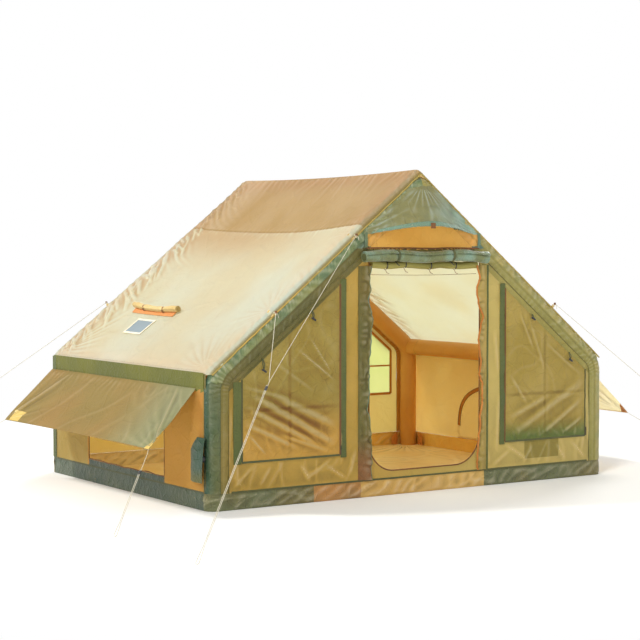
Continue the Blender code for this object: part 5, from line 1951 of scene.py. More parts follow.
            # Painted shade below the seam and painted light above it, both growing toward the rear, through the
            # relief's valley and crest colours
            seam_shade_and_light = limit((v + 0.9) / 1.2) * bell(u, self.seam_up, 0.28) * (u < self.seam_up)
            seam_shade_and_light = seam_shade_and_light - 0.9 * limit((v - 0.55) / 0.3) * (u > self.seam_up)
            patch.relief = np.clip(patch.relief - 1.1 * seam_shade_and_light, -1, 1)
            made = patch.sheet(f"roof_{word}_cloth", [ROOF_OUT, ROOF_IN, ROOF_TOP])
            # The ridge panel above the seam takes the tan painted-shade finish
            recolour(made, 2, lambda cut, at: cut[1] > self.seam_up)
            settle(made, "roof_cloth", [f"roof_{word}"])
            declare(made, patch, "stretched", ["ridge_beam_sleeve", "front_rafter_left_sleeve"])
            self.build_piping(side, word)
            self.build_seams(side, word)
        self.build_jack()

    def build_piping(self, side: int, word: str) -> None:
        """The golden piping along the roof's front and rear edges."""
        edge = self.edge + 0.001
        s = np.linspace(0.0, PLAN.slope_length - 0.004, 150)
        parts = []
        for end, name in ENDS:
            y = np.full_like(s, end * edge) + 0.0012 * noise(s / 0.05, s * 0, 7)
            line = self.point(side, s, y, -0.0015 + 0.001 * noise(s / 0.04, s * 0 + 3, 9))
            parts.append(tube(f"{name}", line, 0.0042, PIPING, 8))
        settle(joined(f"roof_piping_{word}", parts), "roof_cloth")

    def build_seams(self, side: int, word: str) -> None:
        """The stitched seam across the sheet and the hems along its edges."""
        y = np.linspace(-PLAN.arch_y - 0.07, PLAN.arch_y + 0.07, 170)
        rows = []
        for s in (self.seam_up - 0.006, self.seam_up + 0.006, 0.014):
            run = np.full_like(y, s)
            rows.append(self.point(side, run, y, self.folds(side, run, y) - 0.0004))
        s = np.linspace(0.02, PLAN.slope_length - 0.02, 150)
        for end in (-1, 1):
            run = np.full_like(s, end * (self.edge - 0.014))
            rows.append(self.point(side, s, run, self.folds(side, s, run) - 0.0004))
        stitches(f"roof_stitches_{word}", rows, "roof_cloth")

    def build_jack(self) -> None:
        """The stove panel with its bound edge, and the cover rolled up above it."""
        low, high, fore, aft = self.jack
        inset = 0.012

        def place(u: Array, v: Array) -> Array:
            """A place on the panel, just above the roof."""
            return self.point(LEFT, v, u, 0.0022 + 0.0006 * noise(u / 0.05, v / 0.05, 3))

        patch = Patch.over(
            np.linspace(aft - inset, fore + inset, 30),
            np.linspace(low + inset, high - inset, 20), place
        ).facing_out()
        panel = patch.sheet("stove_panel", [JACK])
        settle(panel, "stove_jack_cloth", ["stove_jack"])
        declare(panel, patch, "stretched", ["roof_left_cloth"])
        border = []
        corners = [(fore, low), (aft, low), (aft, high), (fore, high), (fore, low)]
        for (ya, sa), (yb, sb) in zip(corners, corners[1:]):
            t = np.linspace(0, 1, 14)
            inward = 0.008
            middle = ((fore + aft) / 2, (low + high) / 2)
            shift_y = inward * np.sign(middle[0] - ya) if ya == yb else 0.0
            shift_s = inward * np.sign(middle[1] - sa) if sa == sb else 0.0
            y, s = ya + (yb - ya) * t + shift_y, sa + (sb - sa) * t + shift_s
            line = self.point(LEFT, s, y, 0.0036)
            across = np.array([cos(PLAN.slope), 0, sin(PLAN.slope)]) if sa == sb else Y
            border.append(band("edge", line, across * 0.0075, CREAM, 0.0012))
        settle(joined("stove_panel_binding", border), "roof_cloth")
        self.build_jack_roll()

    def build_jack_roll(self) -> None:
        """The panel's cover, rolled and tied, with its coated side showing under the roll."""
        fore, aft = self.roll
        y = np.linspace(aft, fore, 60)
        t = np.linspace(0, 1, 60)
        squeeze = 1 - 0.16 * bell(t, 0.28, 0.025) - 0.16 * bell(t, 0.72, 0.025)
        radius = 0.0235 * squeeze * (0.96 + 0.08 * noise(t * 9, t * 0, 3))
        line = self.point(
            LEFT, self.roll_up + 0.004 - 0.016 * np.sin(pi * t), y, radius + self.roll_seat
        )
        parts = [spiral_roll("roll", line, radius, GOLD, 3.0, 0.0, 0.0016)]
        for share in (0.28, 0.72):
            parts.append(tie(line, radius, share, Y * 0.007, BROWN, 0.001, 20))
        made = joined("stove_cover_roll", parts)
        settle(made, "roof_cloth", ["stove_jack_cover"])
        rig.padded(made, fill=0.7)

        def place(u: Array, v: Array) -> Array:
            """A place on the apron, which rises to meet the roll."""
            lift = 0.0016 + 0.010 * limit((v - self.jack[1]) / (self.roll_up - self.jack[1])) ** 2
            return self.point(LEFT, v, u, lift + 0.001 * noise(u / 0.06, v / 0.04, 12))

        rows = np.linspace(0.492, self.roll_up - 0.006, 16)
        patch = Patch.over(np.linspace(aft - 0.02, fore + 0.02, 60), rows, place).facing_out()
        apron = patch.sheet("stove_cover_apron", [RUST], 0.001)
        settle(apron, "roof_cloth")
        declare(apron, patch, "hung", ["stove_cover_roll"])


def capped(name: str, points: Array, cut: Array, finish: Finish, flip: bool = False) -> Object:
    """A tube from rows of rings, closed by a face at each end.

    Args:
        name: The piece's name.
        points: Its rings, one row each.
        cut: The same points on the flat cut.
        finish: Its finish.
        flip: Whether the rings turn the other way.

    Returns:
        The new object.
    """
    rows, count = points.shape[:2]
    ids = np.arange(rows * count).reshape(rows, count)
    ids = np.concatenate([ids, ids[:, :1]], axis=1)
    flat = np.concatenate([cut, cut[:, -1:] * 2 - cut[:, -2:-1]], axis=1)
    faces, places = [], []
    for i in range(rows - 1):
        for j in range(count):
            spots = [(i, j), (i, j + 1), (i + 1, j + 1), (i + 1, j)]
            spots = spots[::-1] if flip else spots
            faces.append([int(ids[k]) for k in spots])
            places += [flat[k] for k in spots]
    ends = [
        list(range(count))[:: 1 if flip else -1],
        list(range((rows - 1) * count, rows * count))[:: -1 if flip else 1]
    ]
    places += [np.zeros(2)] * (2 * count)
    return make_object(name, points.reshape(-1, 3), faces + ends, [finish], None, np.array(places))


def circle_about(centre: Array, axis: Array, radius: float, count: int) -> Array:
    """Points round an axis through a centre."""
    side = unit(np.cross(axis, Z if abs(axis[2]) < 0.9 else X))
    up = np.cross(axis, side)
    a = 2 * pi * np.arange(count) / count
    return centre + radius * (side * np.cos(a)[:, None] + up * np.sin(a)[:, None])


def band_ring(name: str, ring: Array, across: Array, finish: Finish) -> Object:
    """A tape that goes right round a roll."""
    shares = np.linspace(-1, 1, 3)
    points = ring[None] + np.asarray(across)[None, None] * shares[:, None, None]
    step = np.linalg.norm(ring[1] - ring[0])
    u, v = np.meshgrid(np.arange(len(ring)) * step, shares * np.linalg.norm(across))
    return Patch(points, vectors(u, v), ring=True).sheet(name, [finish], 0.0014)


def tie(
    path: Array, radius: Array, share: float, axis: Array, finish: Finish, loose: float, count: int
) -> Object:
    """A tape tied round a roll.

    Args:
        path: The points of the roll's middle.
        radius: The roll's radius at each point.
        share: How far along the roll it lies, from 0 to 1.
        axis: Half the tape's width, along the roll.
        finish: Its finish.
        loose: How far it stands off the roll.
        count: Points round it.

    Returns:
        The new object.
    """
    i = int(share * (len(path) - 1))
    return band_ring(
        "tie", circle_about(path[i], unit(axis), float(radius[i]) + loose, count), axis, finish
    )


def spiral_roll(
    name: str,
    path: Array,
    radius: Array,
    finish: Finish,
    turns: float,
    start: float = 0.0,
    slack: float = 0.0,
) -> Object:
    """A sheet rolled on itself along a path, its spiral showing at both ends.

    Args:
        name: The piece's name.
        path: The points of the roll's middle.
        radius: The roll's radius at each point.
        finish: Its finish.
        turns: How often the sheet goes round.
        start: Where the outer edge lies, in radians.
        slack: How far its outer turn leaves the round, in folds along it.

    Returns:
        The new object.
    """
    tangent = unit(np.gradient(path, axis=0))
    side = unit(np.cross(tangent, np.broadcast_to(Z, tangent.shape)))
    up = np.cross(side, tangent)
    steps = int(turns * 18)
    angle = start + 2 * pi * turns * np.linspace(0, 1, steps + 1)
    share = 1 - 0.78 * np.linspace(0, 1, steps + 1)
    sheet = 0.075
    outer = [(share + sheet) * np.cos(angle), (share + sheet) * np.sin(angle)]
    inner = [(share - sheet) * np.cos(angle), (share - sheet) * np.sin(angle)]
    ring_a = np.concatenate([outer[0], inner[0][::-1]]) / (1 + sheet)
    ring_b = np.concatenate([outer[1], inner[1][::-1]]) / (1 + sheet)
    count = len(ring_a)
    run = distances(path)
    around = np.concatenate([angle, angle[::-1]])[None] * 0.03
    loose = (
        slack
        * (
            noise(run[:, None] / 0.07 + around * 9, around / 0.02, 77)
            + noise(run[:, None] / 0.025, around / 0.03, 78)
        )
    )
    loose = loose * np.concatenate([np.exp(-angle + start), np.exp(-angle[::-1] + start)])[None]
    reach = radius[:, None] + loose
    points = path[:, None] + reach[..., None] * (
        side[:, None] * ring_a[None, :, None] + up[:, None] * ring_b[None, :, None]
    )
    faces, flat = [], []
    for k in range(len(path) - 1):
        for i in range(count):
            j = (i + 1) % count
            faces.append([k * count + i, (k + 1) * count + i, (k + 1) * count + j, k * count + j])
            flat += [
                (run[k], i * 0.004), (run[k + 1], i * 0.004), (run[k + 1], i * 0.004 + 0.004),
                (run[k], i * 0.004 + 0.004)
            ]
    for base, flip in ((0, False), ((len(path) - 1) * count, True)):
        for i in range(steps):
            quad = [base + i, base + i + 1, base + count - 2 - i, base + count - 1 - i]
            faces.append(quad[::-1] if flip else quad)
            flat += [(0.0, 0.0)] * 4
    return make_object(name, points.reshape(-1, 3), faces, [finish], None, np.array(flat), 40.0)


# Gables


@dataclass
class Window:
    """A net window and its bars, let into a gable wall."""

    hand: int
    side: int
    sill: float
    bar: float
    shift: float = 0.0

    @property
    def edges(self) -> tuple[float, float]:
        """Its inner and outer edge across."""
        return (
            self.hand * PLAN.window_inner + self.shift, self.hand * PLAN.window_outer + self.shift
        )

    def build(self, name: str, y: float) -> None:
        """The net with its two crossed bars."""
        inner, outer = self.edges
        low, high = sorted((inner, outer))
        columns, shares = np.linspace(low - 0.004, high + 0.004, 40), np.linspace(0, 1, 40)
        x, t = np.meshgrid(columns, shares)
        z = self.sill - 0.004 + (PLAN.head(x) + 0.008 - self.sill) * t
        bow = 0.004 * noise(x / 0.3, z / 0.3, 4) * np.sin(pi * t)
        points = vectors(x, y + bow, z)
        patch = Patch(points, vectors(x, z)).facing_out()
        made = patch.sheet(name, [NET], 0.0006)
        settle(made, "net_cloth")
        declare(made, patch, "stretched", [name.replace("net", "wall")])
        middle = (low + high) / 2
        inside = -self.side * 0.0022
        upright = vectors(middle, y + inside, np.linspace(self.sill, float(PLAN.head(middle)), 20))
        level = vectors(np.linspace(low, high, 20), y + inside, self.bar)
        bars = [
            band("bar", upright, X * 0.006, TAPE, 0.001), band("bar", level, Z * 0.006, TAPE, 0.001)
        ]
        settle(joined(name + "_bars", bars), "khaki_cloth")


def wall_columns(marks: Sequence[float], step: float) -> Array:
    """Places along a wall, one of them at each mark."""
    spans = [np.linspace(a, b, max(3, ceil((b - a) / step)))[:-1] for a, b in zip(marks, marks[1:])]
    return np.concatenate([*spans, [marks[-1]]])


def wall_rows(
    x: Array, stops: Sequence[float | Callable[[Array], Array]], counts: Sequence[int]
) -> Array:
    """Heights of a wall's grid rows between lines that change along it.

    Args:
        x: Places along the wall.
        stops: Each line's height, or a rule for it, foot to head.
        counts: Rows between one line and the next.

    Returns:
        Heights, a row for each grid row.
    """
    lines = [np.broadcast_to(stop(x) if callable(stop) else stop, x.shape) for stop in stops]
    rows = [lines[0]]
    for low, high, count in zip(lines, lines[1:], counts):
        rows += [low + (high - low) * k / count for k in range(1, count + 1)]
    return np.array(rows)


# Folds that the photograph shows: u0, v0, u1, v1, and half width and height where they differ
COVER_FOLDS = {
    LEFT: (
        (-1.254, 0.674, -0.638, 0.330, 0.020, 0.015), (-1.296, 0.604, -0.737, 0.321, 0.016, 0.011),
        (-1.304, 0.507, -0.901, 0.323, 0.014, 0.009), (-1.098, 0.654, -0.630, 0.446, 0.024, 0.012),
        (-0.934, 0.928, -0.638, 0.709, 0.007, 0.006), (-0.844, 0.998, -0.671, 0.754, 0.006, 0.005),
        (-1.263, 0.434, -1.131, 0.299, 0.007, 0.007), (-1.290, 0.710, -0.960, 0.620, 0.012, 0.006),
        (-1.10, 0.86, -0.80, 0.66, 0.009, 0.004), (-1.05, 0.42, -0.66, 0.285, 0.010, 0.008),
    ),
    RIGHT: (
        (0.700, 0.300, 1.330, 0.640, 0.024, 0.011), (0.690, 0.420, 1.050, 0.560, 0.018, 0.008),
        (0.930, 0.280, 1.320, 0.520, 0.016, 0.010), (0.780, 1.100, 0.900, 0.850, 0.008, 0.006),
        (0.860, 1.060, 1.000, 0.700, 0.010, 0.005), (1.140, 0.300, 1.320, 0.400, 0.012, 0.010),
        (0.700, 0.700, 0.850, 0.500, 0.010, 0.006), (1.000, 0.900, 1.300, 0.680, 0.010, 0.005),
    ),
}
PANEL_FOLDS = (
    (1.22, 0.25, 1.36, 0.12), (1.10, 0.24, 1.18, 0.12), (0.90, 0.24, 0.82, 0.12),
    (0.66, 0.26, 0.86, 0.14),
    (0.60, 0.20, 0.62, 0.60), (0.58, 1.00, 0.61, 0.70), (1.37, 0.60, 1.39, 0.20),
    (1.36, 0.40, 1.32, 0.15),
    (0.56, 0.12, 0.72, 0.22), (0.50, 0.30, 0.54, 0.14),
)


@dataclass
class Gable:
    """The front gable: walls, windows, door opening, vent, visor and rolls."""

    door_left: float = PLAN.shift - PLAN.door_half
    door_right: float = PLAN.shift + PLAN.door_half
    face: float = -PLAN.depth / 2
    sill: float = 0.15
    corner: float = 0.19
    tape: float = 0.012
    visor_top: float = 1.895
    visor_drop: float = 0.297
    visor_cut: float = 0.305
    visor_pulls: tuple[tuple[float, ...], ...] = (
        (-0.5, -0.30, 35, 60, 6, 0.009, 0.6, 171),
        (0.5, -0.30, 145, 60, 6, 0.009, 0.6, 172),
        (0.0, 0.02, -90, 120, 9, 0.010, 0.34, 175),
    )
    visor_out: float = 0.105
    visor_up: float = 0.048
    wall_edge: float = PLAN.post_x - PLAN.band_edge - PLAN.gap
    foot: float = PLAN.mud_wall + PLAN.gap
    cloth_y: float = -PLAN.depth / 2 + PLAN.cloth / 2

    def build(self) -> None:
        """Make the whole gable."""
        for hand, word in HANDS:
            window = Window(hand, FRONT, 0.272, 0.57, PLAN.shift)
            self.build_wall(hand, word, window)
            window.build(f"front_net_{word}", self.face + 0.0019)
            self.build_cover(hand, word, window)
        self.build_surround()
        self.build_vent()
        self.build_strips()
        self.build_visor()
        self.build_rolls()

    def build_wall(self, hand: int, word: str, window: Window) -> None:
        """A wall panel beside the door."""
        near = self.door_left if hand == LEFT else self.door_right
        inner, outer = window.edges
        marks = sorted((hand * self.wall_edge, outer, inner, near))
        x = wall_columns(marks, 0.012)
        z = wall_rows(x, (self.foot, window.sill, PLAN.head, PLAN.seam), (14, 60, 5))
        u = np.broadcast_to(x, z.shape)
        calm = between(z, self.foot, PLAN.seam(u), 0.03)
        push = (0.5 * rumple(u, z, 0.22, 0.004, 121 + hand) - 0.002) * calm
        push += calm * limit((window.sill - z) / 0.03) * (crisp(u, z * 0.5, 0.2, 0.004, 123 + hand))
        low_lines = [(hand * a, b, hand * c, d, 0.010, 0.006) for a, b, c, d in PANEL_FOLDS]
        push += calm * creases(u, z, low_lines)
        push = push * ((u < marks[1]) | (u > marks[2]) | (z < window.sill))
        points = vectors(u, self.cloth_y - push, z)
        patch = Patch(points, vectors(u, z), relief=standing(push, 12, 0.004))
        cx = (x[:-1] + x[1:]) / 2
        hole_x = (cx > marks[1]) & (cx < marks[2])
        rows = np.zeros(len(z) - 1, bool)
        rows[14:74] = True
        keep = ~(rows[:, None] & hole_x[None])
        # The right wall's head band is the lighter copy, as painted sunlight
        head = BAND if hand == LEFT else BAND_SUN
        made = patch.sheet(f"front_wall_{word}_cloth", [KHAKI, KHAKI_IN, head, KHAKI_DARKER], keep=keep)
        recolour(made, 2, lambda cut, at: at[2] > PLAN.head(at[0]) + 0.002)
        # A darker rectangle on the wall under the right window
        darker_box = np.array([[0.977], [0.210]]), np.array([[0.142], [0.061]])
        recolour(made, 3, lambda cut, at: (np.abs(at[[0, 2]] - darker_box[0]) < darker_box[1]).all(axis=0))
        settle(made, "khaki_cloth", [f"front_wall_{word}"])
        hole = float(np.mean(PLAN.head(np.array([inner, outer]))) - window.sill)
        area = patch.cut()[2] - abs(outer - inner) * hole
        declare(made, patch, "stretched", ["front_arch_cover_cloth", "mud_wall_front_cloth"], area)

    def build_cover(self, hand: int, word: str, window: Window) -> None:
        """A zipped window cover, hanging in its folds, with its zip bands and toggles."""
        inner, outer = window.edges
        low, high = sorted((inner, outer))
        x = np.linspace(low + 0.001, high - 0.001, 96)
        z = wall_rows(x, (window.sill + 0.001, lambda x: PLAN.head(x) - 0.001), (100,))
        u = np.broadcast_to(x, z.shape)
        a = (u - low) / (high - low)
        b = (z - window.sill) / (PLAN.head(u) - window.sill)
        free = limit(np.minimum(a, 1 - a) / 0.12) * limit(np.minimum(b, 1 - b) / 0.12)
        free = free * (2 - free)
        seed = 131 + hand
        fold = 0.003 + rumple(u, z, 0.26, 0.0032, seed) + 0.5 * crisp(u, z, 0.22, 0.0035, seed + 1)
        if hand == RIGHT:
            fold += puckers(u, z - 0.26, 0.045, 0.008, 0.10, seed + 6, lean=0.4)
        fold += creases(u, z, COVER_FOLDS[hand])
        # The cover dips along the bars behind it, so the relief's valley colour paints the bars' shadow on it
        bars = (
            np.exp(-(((u - hand * 0.985 - 0.012) / 0.011) ** 4))
            + np.exp(-(((z - 0.570) / 0.011) ** 4))
        )
        fold -= 0.003 * bars
        edge = puckers(z, np.minimum(u - low, high - u), 0.05, 0.0025, 0.05, seed + 5)
        height = np.clip(fold + edge, 0.0, 0.024) * free
        points = vectors(u, self.face - 0.0018 - height, z)
        patch = Patch(points, vectors(u, z), relief=standing(height, 20, 0.005))
        made = patch.sheet(
            f"window_cover_{word}_cloth", [FLAP if hand == LEFT else FLAP_SUN, KHAKI_IN], 0.0014
        )
        settle(made, "khaki_cloth", [f"window_cover_{word}"])
        declare(made, patch, "hung", [f"front_wall_{word}_cloth"])
        self.build_cover_trim(word, window, hand)

    def build_cover_trim(self, word: str, window: Window, hand: int) -> None:
        """Green bands beside the cover, its zip, its bindings and its two toggles."""
        inner, outer = window.edges
        y = self.face - 0.0022
        parts, zips = [], []
        spans = ((outer + hand * 0.030, 0.026, 0.262), (inner - hand * 0.024, 0.021, 0.255))
        for x, half, foot in spans[hand == RIGHT :]:
            z = np.linspace(foot, float(PLAN.head(x)) + 0.012, 70)
            line = vectors(x, y, z)
            parts.append(band("band", line, X * half, GREEN, 0.0016, 0.0016, int(x * 100) + 300))
        x = np.linspace(inner, outer, 50)
        hem = vectors(x, y - 0.001, window.sill - 0.001)
        parts.append(band("hem", hem, Z * 0.006, BINDING, 0.0014))
        head = vectors(x, y - 0.001, PLAN.head(x) + 0.002)
        # The right cover's head band is the lighter copy, as painted sunlight
        parts.append(band("head", head, Z * 0.005, BAND if hand == LEFT else BAND_SUN, 0.0014))
        for edge, finish in ((inner, BROWN), (outer, BINDING)):
            z = np.linspace(window.sill, float(PLAN.head(edge)), 50)
            sway = -0.003 * np.abs(noise(z / 0.07, z * 0, 33)) * (edge == outer and hand == RIGHT)
            line = vectors(edge - np.sign(edge) * 0.001 + sway, y - 0.0012, z)
            parts.append(
                band("edge", line, X * (0.0065 if hand == LEFT else 0.0045), finish, 0.0012)
            )
            zips.append(line - Y * 0.0016)
        settle(joined(f"window_bands_{word}", parts), "green_cloth")
        stitches(f"window_zip_{word}", zips, "zip_metal", 0.0045, 0.0025, 0.003, ZIP)
        spots = (
            ((-1.16, 0.80), (-0.815, 1.093)) if hand == LEFT else ((0.886, 1.058), (1.208, 0.778))
        )
        self.build_toggles(word, spots)

    def build_toggles(self, word: str, spots: Sequence[tuple[float, float]]) -> None:
        """Black toggles on their elastic loops, for the rolled-up cover."""
        parts = []
        for x, z in spots:
            top = float(PLAN.head(x)) + 0.004
            for shift in (-0.006, 0.006):
                outs = self.face - 0.004, self.face - 0.016, self.face - 0.019
                run = vectors((x + shift * 0.4, x + shift, x), outs, (top, (top + z) / 2, z))
                parts.append(tube("loop", rounded(run, 0.008, 0.004), 0.0026, BINDING, 6))
            t = np.linspace(-1, 1, 13)
            line = vectors(x + 0.017 * t, self.face - 0.021, z - 0.010 * t)
            parts.append(
                tube("toggle", line, 0.0064 * np.sqrt(np.clip(1.05 - t**4, 0.05, 1)), BLACK, 10)
            )
        settle(joined(f"window_toggles_{word}", parts), "black_plastic")

    def build_surround(self) -> None:
        """The tapes beside the door opening and the foot panel with its round corners."""
        left, right = self.door_left + PLAN.gap, self.door_right - PLAN.gap
        low, high = left + self.tape, right - self.tape
        top, bend, r = PLAN.door_top - PLAN.gap, self.sill + self.corner, self.corner
        shares = np.linspace(0, 1, 14)
        turn = np.linspace(pi, 1.5 * pi, 24)
        arc = vectors(low + r + r * np.cos(turn), bend + r * np.sin(turn))
        tape = np.concatenate([[(low, z) for z in np.linspace(top, bend, 90)], arc[1:6]])
        arc = arc[5:]
        middle = vectors(np.linspace(low + r, high - r, 42)[1:-1], self.sill)
        flip = np.array([-1, 1])
        edge = np.concatenate([arc, middle, (arc * flip + [low + high, 0])[::-1]])
        level = arc[0, 1]
        down = limit((level - arc[:, 1]) / (level - self.sill) * 1.6)
        share = limit(np.arange(len(arc)) / (len(arc) - 1) * 1.6 - 0.6)
        corner = vectors(left + (low + r - left) * share, level + (self.foot - level) * down)
        foot = np.concatenate(
            [corner, middle * [1, 0] + [0, self.foot], (corner * flip + [left + right, 0])[::-1]]
        )
        side = tape * [0, 1] + [left, 0]
        far_tape, far_side = (
            (run * flip + [both, 0])[::-1] for run, both in (
                (tape, low + high), (side, left + right)
            )
        )
        pieces = (("foot", edge, foot), ("left", tape, side), ("right", far_tape, far_side))
        for word, inner, outer in pieces:
            grid = ruled(inner, outer, shares)
            push = (
                rumple(grid[..., 0], grid[..., 1], 0.2, 0.002, 141) * np.sin(pi * shares)[:, None]
            )
            points = vectors(grid[..., 0], self.cloth_y - push, grid[..., 1])
            patch = Patch(points[:, ::-1], grid[:, ::-1])
            made = patch.sheet(f"door_surround_{word}", [KHAKI, KHAKI_IN])
            settle(made, "khaki_cloth", ["door_surround"] if word == "foot" else [])
            declare(made, patch, "stretched", ["front_wall_left_cloth", "mud_wall_front_cloth"])
        edge = resample(np.concatenate([tape, edge, far_tape]), 0.012)
        x, z = edge[:, 0], edge[:, 1]
        line = vectors(x, self.face - 0.0006, z)
        binding = tube("door_binding", line, 0.0042, BROWN, 8)
        settle(binding, "green_cloth")
        teeth = vectors(x, self.face - 0.0052, z)
        stitches("door_zip", [teeth], "zip_metal", 0.0055, 0.003, 0.003, ZIP)
        seam = vectors(np.linspace(-1.37, 1.37, 160), self.face - 0.0016, PLAN.mud_wall + 0.003)
        settle(band("front_base_binding", seam, Z * 0.005, BINDING, 0.0022), "green_cloth")

    def build_vent(self) -> None:
        """The orange panel over the door, with its seam."""
        left, right = self.door_left, self.door_right
        x = np.concatenate([np.linspace(left, 0, 40)[:-1], np.linspace(0, right, 44)])
        z = wall_rows(x, (PLAN.door_top + 0.001, PLAN.seam), (26,))
        u = np.broadcast_to(x, z.shape)
        push = (
            rumple(u, z, 0.15, 0.002, 151) + puckers(u, z - PLAN.door_top, 0.04, 0.003, 0.05, 152)
        )
        calm = between(z, PLAN.door_top, PLAN.seam(u), 0.02)
        points = vectors(u, self.cloth_y - push * calm, z)
        patch = Patch(points, vectors(u, z))
        made = patch.sheet("gable_vent_cloth", [ORANGE, KHAKI_IN, BAND])
        recolour(made, 2, lambda cut, at: at[2] < PLAN.vent_seam - 0.005)
        settle(made, "orange_cloth", ["gable_vent_panel"])
        declare(made, patch, "stretched", ["front_arch_cover_cloth"])
        x = np.linspace(-0.425, 0.45, 80)
        line = vectors(x, self.face - 0.0016, PLAN.vent_seam + 0.002 * noise(x / 0.1, x * 0, 2))
        parts = [band("seam", line, Z * 0.0045, BROWN, 0.0016, 0.001)]
        for x, top in ((-0.43, 1.608), (0.44, 1.606)):
            z = np.linspace(PLAN.vent_seam + 0.001, top, 20)
            edge = vectors(
                x + 0.003 * noise(z / 0.03, z * 0, 4), -PLAN.arch_y - PLAN.inset - 0.0085, z
            )
            parts.append(band("side", edge, X * 0.011, TEAL, 0.0016, 0.001))
        settle(joined("vent_seam", parts), "green_cloth")

    def build_strips(self) -> None:
        """The storm strips that hang beside the opening: wavy and gathered on their free edge."""
        z = np.linspace(PLAN.mud_wall + 0.006, PLAN.door_top - 0.025, 150)
        high = PLAN.door_top - 0.02
        spans = (
            ("left", self.door_left - 0.068, self.door_left + 0.012, STORM, 0.024),
            ("right", self.door_right - 0.012, self.door_right + 0.045, STRIP, 0.022),
        )
        for word, near, far, finish, wave in spans:
            shares = np.linspace(0, 1, 16)
            u, v = np.meshgrid(z, shares)
            free = v if word == "left" else 1 - v
            ripple = noise(u / 0.15, v * 0.6, 161 + len(word)) + 0.5 * noise(u / 0.06, v, 162)
            x = near + (far - near) * v + wave * free * ripple
            if word == "right":
                x = x - 0.030 * free * limit((u - high + 0.22) / 0.2)
            curl = (
                np.abs(noise(u / 0.10, v * 1.5, 163)) + 0.6 * np.abs(noise(u / 0.035, v * 2, 164))
            )
            height = wave * 0.9 * free * curl
            points = vectors(x, self.face - PLAN.gap - PLAN.cloth / 2 - height, u)
            patch = Patch(points, vectors(u, v * (far - near)), relief=standing(height, 6, 0.003))
            patch = patch.facing_out()
            made = patch.sheet(f"storm_strip_{word}_cloth", [finish, KHAKI_IN])
            settle(made, "green_cloth", [f"storm_strip_{word}"])
            declare(made, patch, "hung", [f"front_wall_{word}_cloth"])
            edge = points[-1] if word == "left" else points[0]
            size, finish = (0.0028, TEAL) if word == "left" else (0.0060, TAPE)
            settle(tube(f"storm_binding_{word}", edge, size, finish, 8), "green_cloth")
        x = self.door_right + 0.054
        line = vectors(x, self.face - 0.0022, z)
        settle(band("door_zip_cover", line, X * 0.007, GREEN, 0.0016, 0.001, 9), "green_cloth")

    def visor_row(self, z: float, share: float) -> Array:
        """One level of the visor: on the rounds of both rafters, bellied out between."""
        seat = PLAN.inset + PLAN.gap
        side = []
        for angle in np.linspace(3, 0, 7) * 2 * pi / 20:
            line = float(PLAN.roof(0.0, PLAN.rafter_inset - seat * sin(angle)))
            side.append((-(line - z) / tan(PLAN.slope), -PLAN.arch_y - seat * cos(angle), z))
        inner = side[-1][0]
        middle = []
        for t in np.linspace(-1, 1, 75)[1:-1]:
            bow = cos(pi / 2 * t) * share
            middle.append(
                (-inner * t, -PLAN.arch_y - seat - self.visor_out * bow, z + self.visor_up * bow)
            )
        return np.array(side + middle + [(-x, y, z) for x, y, z in reversed(side)])

    def build_visor(self) -> None:
        """The hood over the vent, with its hem band and plain tab."""
        shares = np.linspace(0, 1, 46)
        rows = np.array([self.visor_row(self.visor_top - self.visor_drop * s, s) for s in shares])
        rows[..., 1] -= PLAN.cloth / 2
        run = np.cumsum(
            np.concatenate(
                [np.zeros((len(shares), 1)), np.linalg.norm(np.diff(rows, axis=1), axis=2)], axis=1
            ),
            axis=1
        )
        run -= run[:, -1:] / 2
        down = np.broadcast_to((shares * self.visor_cut)[:, None], run.shape)
        patch = Patch(rows[::-1], vectors(run, -down)[::-1]).facing_out()
        side = np.abs(patch.flat[..., 0]) / np.maximum(run[::-1].max(axis=1, keepdims=True), 0.05)
        free = limit((1 - side) / 0.2) * limit((shares[::-1][:, None]) / 0.15)
        u, v = patch.uv
        fold = fans(u, v, self.visor_pulls)
        fold += (
            np.abs(rumple(u, v, 0.18, 0.005, 173))
            + puckers(u, v + self.visor_cut, 0.05, 0.005, 0.08, 174)
        )
        patch = patch.pushed(np.abs(fold) * free)
        made = patch.sheet("visor_cloth", [VISOR], 0.0014)
        settle(made, "visor_cloth", ["visor"])
        declare(made, patch, "hung", ["front_arch_cover_cloth"])
        hem = patch.points[0, 6:-6]
        up = unit(patch.points[6, 6:-6] - hem)
        out = -Y * 0.0016
        settle(band("visor_hem", hem + up * 0.017 + out, up * 0.017, HEM, 0.0014), "visor_cloth")
        stitches(
            "visor_stitches", [hem + up * 0.033 + out * 1.6, hem + up * 0.006 + out * 1.6],
            "visor_cloth"
        )
        middle = len(hem) // 2
        spot = hem[middle] + out * 2
        tab = np.array([spot + Z * 0.020, spot + Z * 0.004, spot - Z * 0.014])
        settle(band("visor_tab", resample(tab, 0.003), X * 0.017, BROWN, 0.0022), "visor_cloth")

